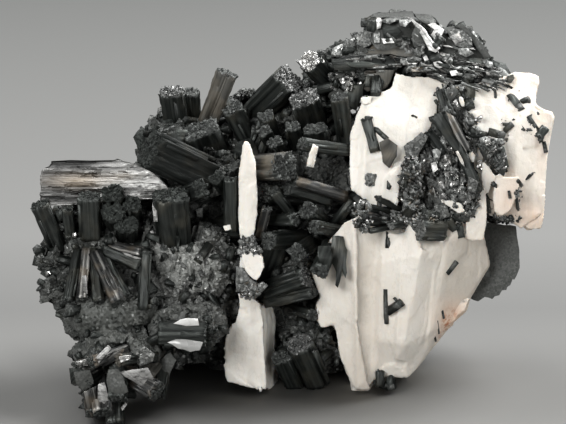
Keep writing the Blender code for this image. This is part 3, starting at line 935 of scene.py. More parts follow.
class Ground:
    """Some meshes as one surface that a small piece can be seated on."""

    def __init__(self, meshes: Iterable[bpy.types.Mesh]) -> None:
        """Gathers the meshes.

        Args:
            meshes: The meshes.
        """
        points: list[Vector] = []
        triangles: list[list[int]] = []
        for mesh in meshes:
            start = len(points)
            points.extend(vert.co.copy() for vert in mesh.vertices)
            for polygon in mesh.polygons:
                triangles.append([start + index for index in polygon.vertices])
        self.tree = BVHTree.FromPolygons(points, triangles)

    def hides(self, point: Vector, depth: float) -> bool:
        """Whether the surface is so many millimetres nearer to the eye than a point is.

        Args:
            point: The point in metres.
            depth: How many millimetres.

        Returns:
            Whether it is.
        """
        across, up, out = FACE.place_of(point)
        front = self.out_at(across, up)
        return front is not None and front > out + depth

    def out_at(self, across: float, up: float) -> float | None:
        """How far out the surface is where the eye meets it, in millimetres, if it does.

        Args:
            across: How far across the place is, in millimetres.
            up: How far up it is.

        Returns:
            How far out the surface is there, or None.
        """
        eye = FACE.eye()
        heading = (FACE.at(across, up, 0.0) - eye).normalized()
        hit = self.tree.ray_cast(eye, heading)
        if hit[0] is None:
            return None
        return FACE.place_of(hit[0])[2]


class Wiring:
    """Adds nodes to a tree and joins them."""

    def __init__(self, tree: bpy.types.NodeTree) -> None:
        """Wires up one tree."""
        self.tree = tree

    def node(self, kind: str, **values: Any) -> bpy.types.Node:
        """A new node of a kind, with its own properties set.

        Args:
            kind: The node's type.
            values: Its properties.

        Returns:
            The node.
        """
        made = self.tree.nodes.new(kind)
        for name, value in values.items():
            setattr(made, name, value)
        return made

    def feed(self, socket: Any, value: Any) -> None:
        """Gives a socket a value, or the output of another node.

        Args:
            socket: The socket.
            value: The value or output.
        """
        if isinstance(value, bpy.types.NodeSocket):
            self.tree.links.new(value, socket)
        else:
            socket.default_value = value

    def math(self, operation: str, first: Any, second: Any = 0.0, third: Any = 0.0) -> Any:
        """The result of a math node.

        Args:
            operation: The kind of math.
            first: The first number.
            second: The second, if it takes one.
            third: The third, if it takes one.

        Returns:
            The node's output.
        """
        made = self.node("ShaderNodeMath", operation=operation)
        for socket, value in zip(made.inputs, (first, second, third)):
            self.feed(socket, value)
        return made.outputs[0]

    def vector(self, operation: str, first: Any, second: Any = (0.0, 0.0, 0.0)) -> Any:
        """The vector result of a vector math node.

        Args:
            operation: The kind of math.
            first: The first vector.
            second: The second, or the factor of a scale.

        Returns:
            The node's output.
        """
        made = self.node("ShaderNodeVectorMath", operation=operation)
        self.feed(made.inputs[0], first)
        if operation == "SCALE":
            self.feed(made.inputs["Scale"], second)
        elif operation != "NORMALIZE":
            self.feed(made.inputs[1], second)
        return made.outputs[0]

    def spread(self, value: Any, low: float, high: float, to_low: float, to_high: float) -> Any:
        """A value moved from one range to another, kept inside it.

        Args:
            value: The value.
            low: The low end of its range.
            high: The high end.
            to_low: What the low end becomes.
            to_high: What the high end becomes.

        Returns:
            The node's output.
        """
        made = self.node("ShaderNodeMapRange")
        for socket, given in zip(made.inputs, (value, low, high, to_low, to_high)):
            self.feed(socket, given)
        return made.outputs[0]

    def blend(self, share: Any, first: Any, second: Any) -> Any:
        """A colour between two colours.

        Args:
            share: How much of the second there is, from 0 to 1.
            first: The first colour.
            second: The second colour.

        Returns:
            The node's output.
        """
        made = self.node("ShaderNodeMix", data_type="RGBA")
        self.feed(made.inputs["Factor"], share)
        self.feed(made.inputs["A"], first)
        self.feed(made.inputs["B"], second)
        return made.outputs["Result"]

    def noise(self, place: Any, scale: float, detail: float = 2.0, rough: float = 0.5) -> Any:
        """The height of a noise pattern.

        Args:
            place: The places it is read at.
            scale: How fine it is.
            detail: How many finer layers it has.
            rough: How strong they are.

        Returns:
            The node's output.
        """
        made = self.node("ShaderNodeTexNoise")
        self.feed(made.inputs["Vector"], place)
        made.inputs["Scale"].default_value = scale
        made.inputs["Detail"].default_value = detail
        made.inputs["Roughness"].default_value = rough
        return made.outputs["Fac"]

    def stretched(self, place: Any, scale: Triple, rotation: Triple = (0.0, 0.0, 0.0)) -> Any:
        """Places turned, then stretched along their axes.

        Args:
            place: The places.
            scale: How much each axis is scaled.
            rotation: How far the places are turned about each axis.

        Returns:
            The new places.
        """
        made = self.node("ShaderNodeMapping")
        self.feed(made.inputs["Vector"], place)
        made.inputs["Scale"].default_value = scale
        made.inputs["Rotation"].default_value = rotation
        return made.outputs[0]

    def attribute(self, name: str) -> Any:
        """The value of a number that the mesh holds at each point."""
        return self.node("ShaderNodeAttribute", attribute_name=name).outputs["Fac"]

    def group(self, tree: bpy.types.NodeTree, **values: Any) -> bpy.types.Node:
        """A placed node group with its inputs given.

        Args:
            tree: The group.
            values: Its inputs.

        Returns:
            The node.
        """
        made = self.node("ShaderNodeGroup", node_tree=tree)
        for name, value in values.items():
            self.feed(made.inputs[name], value)
        return made


def colour(red: float, green: float, blue: float) -> tuple[float, float, float, float]:
    """An opaque colour."""
    return red, green, blue, 1.0


def new_group(name: str, given: Iterable[str], made: Iterable[tuple[str, str]]) -> Wiring:
    """A new shader group with number inputs and the outputs named.

    Args:
        name: The group's name.
        given: Its inputs, all plain numbers.
        made: Its outputs, each with its kind of socket.

    Returns:
        The wiring of its tree.
    """
    tree = bpy.data.node_groups.new(name, "ShaderNodeTree")
    for item in given:
        tree.interface.new_socket(item, in_out="INPUT", socket_type="NodeSocketFloat")
    for item, kind in made:
        tree.interface.new_socket(item, in_out="OUTPUT", socket_type=kind)
    return Wiring(tree)


@dataclass(frozen=True)
class StriatedFinish:
    """How a striated crystal face looks."""

    dark: Triple = (0.008, 0.0097, 0.0088)
    light: Triple = (0.078, 0.086, 0.079)
    tint: Triple = (0.06, 0.058, 0.046)
    metallic: float = 0.55
    smooth: float = 0.28
    rough: float = 0.55
    spacing: float = 0.3
    relief: float = 0.6
    rarity: float = 1.4
    flaking: float = 0.0
    duller: float = 0.35
    warm: bool = False
    specular: float = 0.5
    groove_depth: float = 0.00022


@dataclass(frozen=True)
class GranularFinish:
    """How a rough face of small facets looks."""

    dark: Triple = (0.013, 0.0148, 0.0135)
    light: Triple = (0.094, 0.101, 0.094)
    metallic: float = 0.15
    smooth: float = 0.48
    rough: float = 0.78
    cell: float = 0.42
    tilt: float = 0.3
    rarity: float = 2.0
    specular: float = 0.5


SILVER = StriatedFinish(
    dark=(0.035, 0.035, 0.034), light=(0.88, 0.875, 0.85), tint=(0.42, 0.34, 0.25), metallic=0.45,
    smooth=0.3, rough=0.55, spacing=0.3, relief=1.0, rarity=0.5, flaking=1.0, duller=0.0, warm=True,
)
BROWN = StriatedFinish(
    dark=(0.028, 0.027, 0.023), light=(0.135, 0.13, 0.112), tint=(0.125, 0.108, 0.082), metallic=0.2,
    smooth=0.5, rough=0.68, spacing=0.45, relief=0.7,
)
STREAKED = StriatedFinish(
    dark=(0.016, 0.017, 0.017), light=(0.50, 0.49, 0.46), tint=(0.18, 0.145, 0.105), metallic=0.65,
    smooth=0.24, rough=0.5, spacing=0.3, relief=0.8, rarity=3.5,
)
FROST = StriatedFinish(
    dark=(0.16, 0.16, 0.155), light=(0.92, 0.91, 0.88), tint=(0.62, 0.56, 0.47), metallic=0.35,
    smooth=0.3, rough=0.5, spacing=0.3, relief=1.0, rarity=0.7, flaking=1.0,
)
DIM = StriatedFinish(
    dark=(0.005, 0.0062, 0.0056), light=(0.034, 0.038, 0.035), tint=(0.03, 0.029, 0.024), metallic=0.1,
    smooth=0.62, rough=0.85, relief=0.6, specular=0.2,
)
# Pale colours that paint a glint onto flat facets: a painted glint.
PAINTED_GLINT = GranularFinish(
    dark=(0.62, 0.62, 0.60), light=(0.86, 0.86, 0.84), metallic=0.25, smooth=0.25, rough=0.4, cell=0.9,
    tilt=0.08, rarity=1.0,
)
COAL = GranularFinish(
    dark=(0.007, 0.0085, 0.0075), light=(0.045, 0.051, 0.046), metallic=0.1, smooth=0.72, rough=0.92,
    cell=0.5, tilt=0.2, rarity=1.6, specular=0.3,
)
# Grey colours that paint a sheen onto a flat facet: a painted sheen.
PAINTED_SHEEN = GranularFinish(
    dark=(0.22, 0.22, 0.212), light=(0.34, 0.34, 0.33), metallic=0.2, smooth=0.35, rough=0.5, cell=1.4,
    tilt=0.06, rarity=1.0,
)
GREY = GranularFinish(
    dark=(0.055, 0.058, 0.055), light=(0.34, 0.345, 0.33), metallic=0.3, smooth=0.3, rough=0.62,
    cell=0.42, tilt=0.6, rarity=1.6,
)
BRIGHT = GranularFinish(
    dark=(0.25, 0.25, 0.245), light=(0.95, 0.94, 0.9), metallic=0.8, smooth=0.16, rough=0.36, cell=0.5,
    tilt=0.6, rarity=1.2,
)
GLITTER = GranularFinish(
    dark=(0.035, 0.037, 0.035), light=(0.55, 0.55, 0.54), metallic=0.5, smooth=0.18, rough=0.6, cell=0.34,
    tilt=0.6, rarity=3.0,
)
PALE = GranularFinish(
    dark=(0.10, 0.104, 0.10), light=(0.46, 0.47, 0.45), metallic=0.15, smooth=0.3, rough=0.55, cell=0.45,
    tilt=0.4, rarity=1.4,
)
SLATE = GranularFinish(
    dark=(0.036, 0.038, 0.035), light=(0.075, 0.078, 0.072), metallic=0.1, smooth=0.5, rough=0.7,
    cell=0.35, tilt=0.12, rarity=1.0,
)


@dataclass(frozen=True)
class RockFinish:
    """The colours of the massive manganite, each from its darkest to its lightest grains."""

    dark: tuple[Triple, Triple] = ((0.014, 0.0155, 0.0145), (0.07, 0.074, 0.069))
    grey: tuple[Triple, Triple] = ((0.04, 0.042, 0.039), (0.13, 0.134, 0.125))
    pale: tuple[Triple, Triple] = ((0.13, 0.135, 0.128), (0.36, 0.365, 0.345))
    soft: tuple[Triple, Triple] = ((0.062, 0.066, 0.061), (0.098, 0.102, 0.094))
    cell: float = 0.5
    tilt: float = 0.55
    metallic: float = 0.2
    rough: float = 0.68
    smooth: float = 0.36
    patches: Triple = (130.0, 3.0, 0.6)
    patch_range: Pair = (0.4, 0.66)


@dataclass(frozen=True)
class BariteFinish:
    """The colours of the barite: its two clouded creams, the beige one laid on as painted shade with some
    of the barite's own beige, its veins and its stains.
    """

    white: tuple[Triple, Triple] = ((0.70, 0.672, 0.618), (0.655, 0.617, 0.555))
    beige: tuple[Triple, Triple] = ((0.50, 0.448, 0.378), (0.53, 0.469, 0.402))
    # The beige stands for painted shade on the lower lobe and the right plate, with some of the barite's
    # own beige.
    vein: Triple = (0.34, 0.31, 0.27)
    peach: Triple = (0.68, 0.44, 0.30)
    rust: Triple = (0.36, 0.125, 0.04)
    under: float = 0.25
    under_radius: Triple = (1.0, 0.72, 0.5)
    under_scale: float = 0.0012
    smooth: float = 0.42
    rough: float = 0.62
    relief: float = 0.4
    relief_depth: float = 0.0003
    # Each noise's scale, detail and strength of detail, and the part of its range that is used.
    clouds: Triple = (90.0, 3.0, 0.55)
    cloud_range: Pair = (0.35, 0.68)
    fissures: Triple = (330.0, 4.0, 0.62)
    fissure_stretch: Triple = (1.0, 0.6, 0.3)
    vein_width: float = 0.012
    vein_share: float = 0.22
    speckles: Triple = (900.0, 3.0, 0.7)
    speckle_range: Pair = (0.42, 0.6)
    grains: Triple = (1400.0, 3.0, 0.6)
    sheets: Triple = (900.0, 2.0, 0.5)
    sheet_stretch: Triple = (1.0, 0.4, 0.12)
    sheet_turn: float = 0.1


@dataclass(frozen=True)
class GroundFinish:
    """The floor's painted shade from front to back, darker towards the back and in a band just behind the
    specimen, each shade with how far back it is, and its gloss.
    """

    # The colours fall from front to back as painted shade, with a darker band just behind the specimen.
    front: Triple = (0.48, 0.475, 0.455)
    back: Triple = (0.165, 0.168, 0.163)
    between: tuple[Pair, ...] = ((0.36, 0.245), (0.47, 0.285))
    yellowing: float = 0.975
    nearest: float = -0.12
    farthest: float = 0.32
    rough: float = 0.7
    specular: float = 0.2


class Finishes:
    """The node groups and materials of the specimen.

    A noise is given by its scale, its detail and the strength of its detail.
    """

    lines, line_stretch = (1.0, 3.0, 0.65), 0.05
    streaks, streak_size, streak_range = (1.0, 2.0, 0.5), 0.37, (0.32, 0.68)
    cracks, crack_stretch = (1500.0, 4.0, 0.75), (0.3, 1.0, 1.0)
    crack_range, crack_shade = (0.36, 0.52), 0.12
    stains, stain_range, most_stain = (220.0, 2.0, 0.5), (0.52, 0.72), 0.7
    warmest = 0.6
    groove_range = (0.3, 0.7)
    dullest = 0.4

    def __init__(self) -> None:
        """Builds the shared groups, then each material."""
        self.striation = self.make_striation()
        self.facets = self.make_facets()
        self.manganite = [
            self.striated("manganite_black", StriatedFinish()),
            self.granular("manganite_ends", GranularFinish()),
            self.striated("manganite_silver", SILVER),
            self.striated("manganite_brown", BROWN),
            self.granular("manganite_grey", GREY),
            self.granular("manganite_bright", BRIGHT),
            self.striated("manganite_streaked", STREAKED),
            self.granular("manganite_slate", SLATE),
            self.granular("manganite_glitter", GLITTER),
            self.granular("manganite_pale", PALE),
            self.striated("manganite_frost", FROST),
            self.granular("manganite_painted_glint", PAINTED_GLINT),
            self.granular("manganite_coal", COAL),
            self.granular("manganite_painted_sheen", PAINTED_SHEEN),
            self.striated("manganite_dim", DIM),
        ]
        self.rock = self.massive()
        self.cream = self.barite()

    def make_striation(self) -> bpy.types.NodeTree:
        """A group that turns pattern coordinates into lines along a crystal.

        Returns:
            The group's tree.
        """
        wiring = new_group(
            "striation",
            ("Spacing",),
            (("Height", "NodeSocketFloat"), ("Streak", "NodeSocketFloat")),
        )
        given = wiring.node("NodeGroupInput")
        made = wiring.node("NodeGroupOutput")
        place = wiring.node("ShaderNodeTexCoord").outputs["UV"]
        parts = wiring.node("ShaderNodeSeparateXYZ")
        wiring.feed(parts.inputs[0], place)
        across = wiring.math("DIVIDE", parts.outputs["X"], given.outputs["Spacing"])
        along = wiring.math("MULTIPLY", parts.outputs["Y"], self.line_stretch)
        fine = wiring.node("ShaderNodeCombineXYZ")
        wiring.feed(fine.inputs["X"], across)
        wiring.feed(fine.inputs["Y"], along)
        height = wiring.noise(fine.outputs[0], *self.lines)
        broad = wiring.vector("SCALE", fine.outputs[0], self.streak_size)
        streak = wiring.noise(broad, *self.streaks)
        wiring.feed(made.inputs["Height"], height)
        wiring.feed(made.inputs["Streak"], wiring.spread(streak, *self.streak_range, 0.0, 1.0))
        return wiring.tree

    def make_facets(self) -> bpy.types.NodeTree:
        """A group that breaks a surface into small flat facets, each turned its own way.

        Returns:
            The group's tree.
        """
        wiring = new_group(
            "facets",
            ("Cell", "Tilt"),
            (("Normal", "NodeSocketVector"), ("Shade", "NodeSocketFloat")),
        )
        given = wiring.node("NodeGroupInput")
        made = wiring.node("NodeGroupOutput")
        place = wiring.node("ShaderNodeTexCoord").outputs["Object"]
        scale = wiring.math("DIVIDE", 1.0 / MM, given.outputs["Cell"])
        cells = wiring.node("ShaderNodeTexVoronoi", feature="F1")
        wiring.feed(cells.inputs["Vector"], wiring.vector("SCALE", place, scale))
        cells.inputs["Scale"].default_value = 1.0
        lean = wiring.vector("SUBTRACT", cells.outputs["Color"], (0.5, 0.5, 0.5))
        lean = wiring.vector("SCALE", lean, wiring.math("MULTIPLY", given.outputs["Tilt"], 2.0))
        surface = wiring.node("ShaderNodeNewGeometry").outputs["Normal"]
        leaning = wiring.vector("NORMALIZE", wiring.vector("ADD", surface, lean))
        wiring.feed(made.inputs["Normal"], leaning)
        shade = wiring.node("ShaderNodeSeparateColor")
        wiring.feed(shade.inputs[0], cells.outputs["Color"])
        wiring.feed(made.inputs["Shade"], shade.outputs["Green"])
        return wiring.tree

    def principled(self, name: str) -> tuple[bpy.types.Material, Wiring, bpy.types.Node]:
        """A new material, its wiring and its shader.

        Args:
            name: The material's name.

        Returns:
            The material, its wiring and its shader.
        """
        material = bpy.data.materials.new(name)
        material.use_nodes = True
        wiring = Wiring(material.node_tree)
        shader = material.node_tree.nodes["Principled BSDF"]
        return material, wiring, shader

    def striated(self, name: str, finish: StriatedFinish) -> bpy.types.Material:
        """A crystal face with lines along it.

        Args:
            name: The material's name.
            finish: How it looks.

        Returns:
            The material.
        """
        material, wiring, shader = self.principled(name)
        lines = wiring.group(self.striation, Spacing=finish.spacing)
        streak = wiring.math("POWER", lines.outputs["Streak"], finish.rarity)
        tone = wiring.attribute("tone")
        share = wiring.math("MULTIPLY", streak, wiring.spread(tone, 0.0, 1.0, finish.duller, 1.0))
        place = wiring.node("ShaderNodeTexCoord").outputs["Object"]
        if finish.flaking:
            cracks = wiring.noise(wiring.stretched(place, self.crack_stretch), *self.cracks)
            whole = wiring.spread(cracks, *self.crack_range, self.crack_shade, 1.0)
            share = wiring.math("MULTIPLY", share, whole)
        base = wiring.blend(share, colour(*finish.dark), colour(*finish.light))
        if finish.warm:
            stain = wiring.math("MULTIPLY", wiring.attribute("warm"), self.warmest)
        else:
            stains = wiring.noise(place, *self.stains)
            stain = wiring.spread(stains, *self.stain_range, 0.0, self.most_stain)
        tinted = wiring.blend(stain, base, colour(*finish.tint))
        wiring.feed(shader.inputs["Base Color"], tinted)
        shader.inputs["Metallic"].default_value = finish.metallic
        shader.inputs["Specular IOR Level"].default_value = finish.specular
        grooves = lines.outputs["Height"]
        rough = wiring.spread(grooves, *self.groove_range, finish.rough, finish.smooth)
        wiring.feed(shader.inputs["Roughness"], rough)
        bump = wiring.node("ShaderNodeBump")
        bump.inputs["Strength"].default_value = finish.relief
        bump.inputs["Distance"].default_value = finish.groove_depth
        wiring.feed(bump.inputs["Height"], grooves)
        wiring.feed(shader.inputs["Normal"], bump.outputs[0])
        return material

    def granular(self, name: str, finish: GranularFinish) -> bpy.types.Material:
        """A rough face made of many small facets.

        Args:
            name: The material's name.
            finish: How it looks.

        Returns:
            The material.
        """
        material, wiring, shader = self.principled(name)
        facets = wiring.group(self.facets, Cell=finish.cell, Tilt=finish.tilt)
        tone = wiring.attribute("tone")
        shade = facets.outputs["Shade"]
        light = wiring.math("POWER", shade, finish.rarity)
        share = wiring.math("MULTIPLY", light, wiring.spread(tone, 0.0, 1.0, self.dullest, 1.0))
        base = wiring.blend(share, colour(*finish.dark), colour(*finish.light))
        wiring.feed(shader.inputs["Base Color"], base)
        shader.inputs["Metallic"].default_value = finish.metallic
        shader.inputs["Specular IOR Level"].default_value = finish.specular
        rough = wiring.spread(light, 0.0, 1.0, finish.rough, finish.smooth)
        wiring.feed(shader.inputs["Roughness"], rough)
        wiring.feed(shader.inputs["Normal"], facets.outputs["Normal"])
        return material

    def massive(self) -> bpy.types.Material:
        """The massive manganite: dark grains with duller grey patches.

        Returns:
            The material.
        """
        look = RockFinish()
        material, wiring, shader = self.principled("manganite_massive")
        facets = wiring.group(self.facets, Cell=look.cell, Tilt=look.tilt)
        place = wiring.node("ShaderNodeTexCoord").outputs["Object"]
        patch = wiring.spread(wiring.noise(place, *look.patches), *look.patch_range, 0.0, 1.0)
        shade = facets.outputs["Shade"]
        dark = wiring.blend(shade, *(colour(*part) for part in look.dark))
        grey = wiring.blend(shade, *(colour(*part) for part in look.grey))
        pale = wiring.blend(shade, *(colour(*part) for part in look.pale))
        soft = wiring.blend(patch, *(colour(*part) for part in look.soft))
        lighter = wiring.blend(wiring.attribute("pale"), wiring.blend(patch, dark, grey), pale)
        base = wiring.blend(wiring.attribute("dull"), lighter, soft)
        wiring.feed(shader.inputs["Base Color"], base)
        shader.inputs["Metallic"].default_value = look.metallic
        wiring.feed(shader.inputs["Roughness"], wiring.spread(shade, 0.0, 1.0, look.rough, look.smooth))
        wiring.feed(shader.inputs["Normal"], facets.outputs["Normal"])
        return material

    def barite(self) -> bpy.types.Material:
        """Cream barite: pearly, with faint warm clouds, cleavage lines and a rusty stain.

        Returns:
            The material.
        """
        look = BariteFinish()
        material, wiring, shader = self.principled("barite_cream")
        place = wiring.node("ShaderNodeTexCoord").outputs["Object"]
        cloud = wiring.spread(wiring.noise(place, *look.clouds), *look.cloud_range, 0.0, 1.0)
        # The beige share paints shade on the lower lobe, its recessed middle and its right side, and on
        # the right plate's right part, with some of the barite's own beige.
        beige_and_shade = wiring.attribute("beige_and_shade")
        white = wiring.blend(cloud, *(colour(*part) for part in look.white))
        beige = wiring.blend(cloud, *(colour(*part) for part in look.beige))
        base = wiring.blend(beige_and_shade, white, beige)
        fissures = wiring.noise(wiring.stretched(place, look.fissure_stretch), *look.fissures)
        vein = wiring.math("ABSOLUTE", wiring.math("SUBTRACT", fissures, 0.5))
        share = wiring.spread(vein, 0.0, look.vein_width, look.vein_share, 0.0)
        base = wiring.blend(share, base, colour(*look.vein))
        peach = wiring.blend(wiring.attribute("peach"), base, colour(*look.peach))
        specks = wiring.noise(place, *look.speckles)
        speckle = wiring.spread(specks, *look.speckle_range, 0.0, 1.0)
        rust = wiring.math("MULTIPLY", wiring.attribute("rust"), speckle)
        stained = wiring.blend(rust, peach, colour(*look.rust))
        wiring.feed(shader.inputs["Base Color"], stained)
        shader.inputs["Subsurface Weight"].default_value = look.under
        shader.inputs["Subsurface Radius"].default_value = look.under_radius
        shader.inputs["Subsurface Scale"].default_value = look.under_scale
        wiring.feed(shader.inputs["Roughness"], wiring.spread(cloud, 0.0, 1.0, look.smooth, look.rough))
        grain = wiring.noise(place, *look.grains)
        leaning = (math.radians(-FACE.lean_deg), 0.0, look.sheet_turn)
        sheets = wiring.stretched(place, look.sheet_stretch, leaning)
        cleavage = wiring.noise(sheets, *look.sheets)
        bump = wiring.node("ShaderNodeBump")
        bump.inputs["Strength"].default_value = look.relief
        bump.inputs["Distance"].default_value = look.relief_depth
        wiring.feed(bump.inputs["Height"], wiring.math("ADD", grain, cleavage))
        wiring.feed(shader.inputs["Normal"], bump.outputs[0])
        return material

    def floor(self) -> bpy.types.Material:
        """The pale grey ground, with painted shade: darker towards the back and a little darker just
        behind the specimen.

        Returns:
            The material.
        """
        look = GroundFinish()
        material, wiring, shader = self.principled("pale_ground")
        place = wiring.node("ShaderNodeTexCoord").outputs["Object"]
        parts = wiring.node("ShaderNodeSeparateXYZ")
        wiring.feed(parts.inputs[0], place)
        # The ramp paints shade on the floor by how far back a place is.
        ramp = wiring.node("ShaderNodeValToRGB")
        back = wiring.spread(parts.outputs["Y"], look.nearest, look.farthest, 0.0, 1.0)
        wiring.feed(ramp.inputs[0], back)
        stops = ramp.color_ramp.elements
        stops[0].position, stops[0].color = 0.0, colour(*look.front)
        stops[1].position, stops[1].color = 1.0, colour(*look.back)
        for spot, shade in look.between:
            stop = stops.new(spot)
            stop.color = colour(shade, shade, look.yellowing * shade)
        wiring.feed(shader.inputs["Base Color"], ramp.outputs[0])
        shader.inputs["Roughness"].default_value = look.rough
        shader.inputs["Specular IOR Level"].default_value = look.specular
        return material


class Specimen:
    """Places finished pieces, each with its body and the solids that it stands for."""

    def __init__(self, finishes: Finishes) -> None:
        """Keeps the finishes that pieces take."""
        self.finishes = finishes

    def place(self, name: str, mesh: bpy.types.Mesh, slot: str, stands_for: Iterable[str] = ()) -> Any:
        """Puts a finished mesh in the scene.

        Args:
            name: The piece's name.
            mesh: Its mesh, already in place.
            slot: Not used.
            stands_for: The solids that it replaces.

        Returns:
            The piece.
        """
        piece = bpy.data.objects.new(name, mesh)
        bpy.context.scene.collection.objects.link(piece)
        bpy.data.collections[LIT].objects.link(piece)
        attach(piece, BODY)
        for node in stands_for:
            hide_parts(node)
        LOG.info("%s: %d faces", name, len(mesh.polygons))
        return piece

    def place_manganite(
        self, name: str, grower: CrystalGrower, slot: str, stands_for: Iterable[str] = ()
    ) -> Any:
        """Puts a grower's crystals in the scene as one piece.

        Args:
            name: The piece's name.
            grower: What holds the crystals.
            slot: Not used; it is only handed on to place.
            stands_for: The solids that it replaces.

        Returns:
            The piece.
        """
        mesh = grower.bundle.mesh(name)
        for material in self.finishes.manganite:
            mesh.materials.append(material)
        return self.place(name, mesh, slot, stands_for)


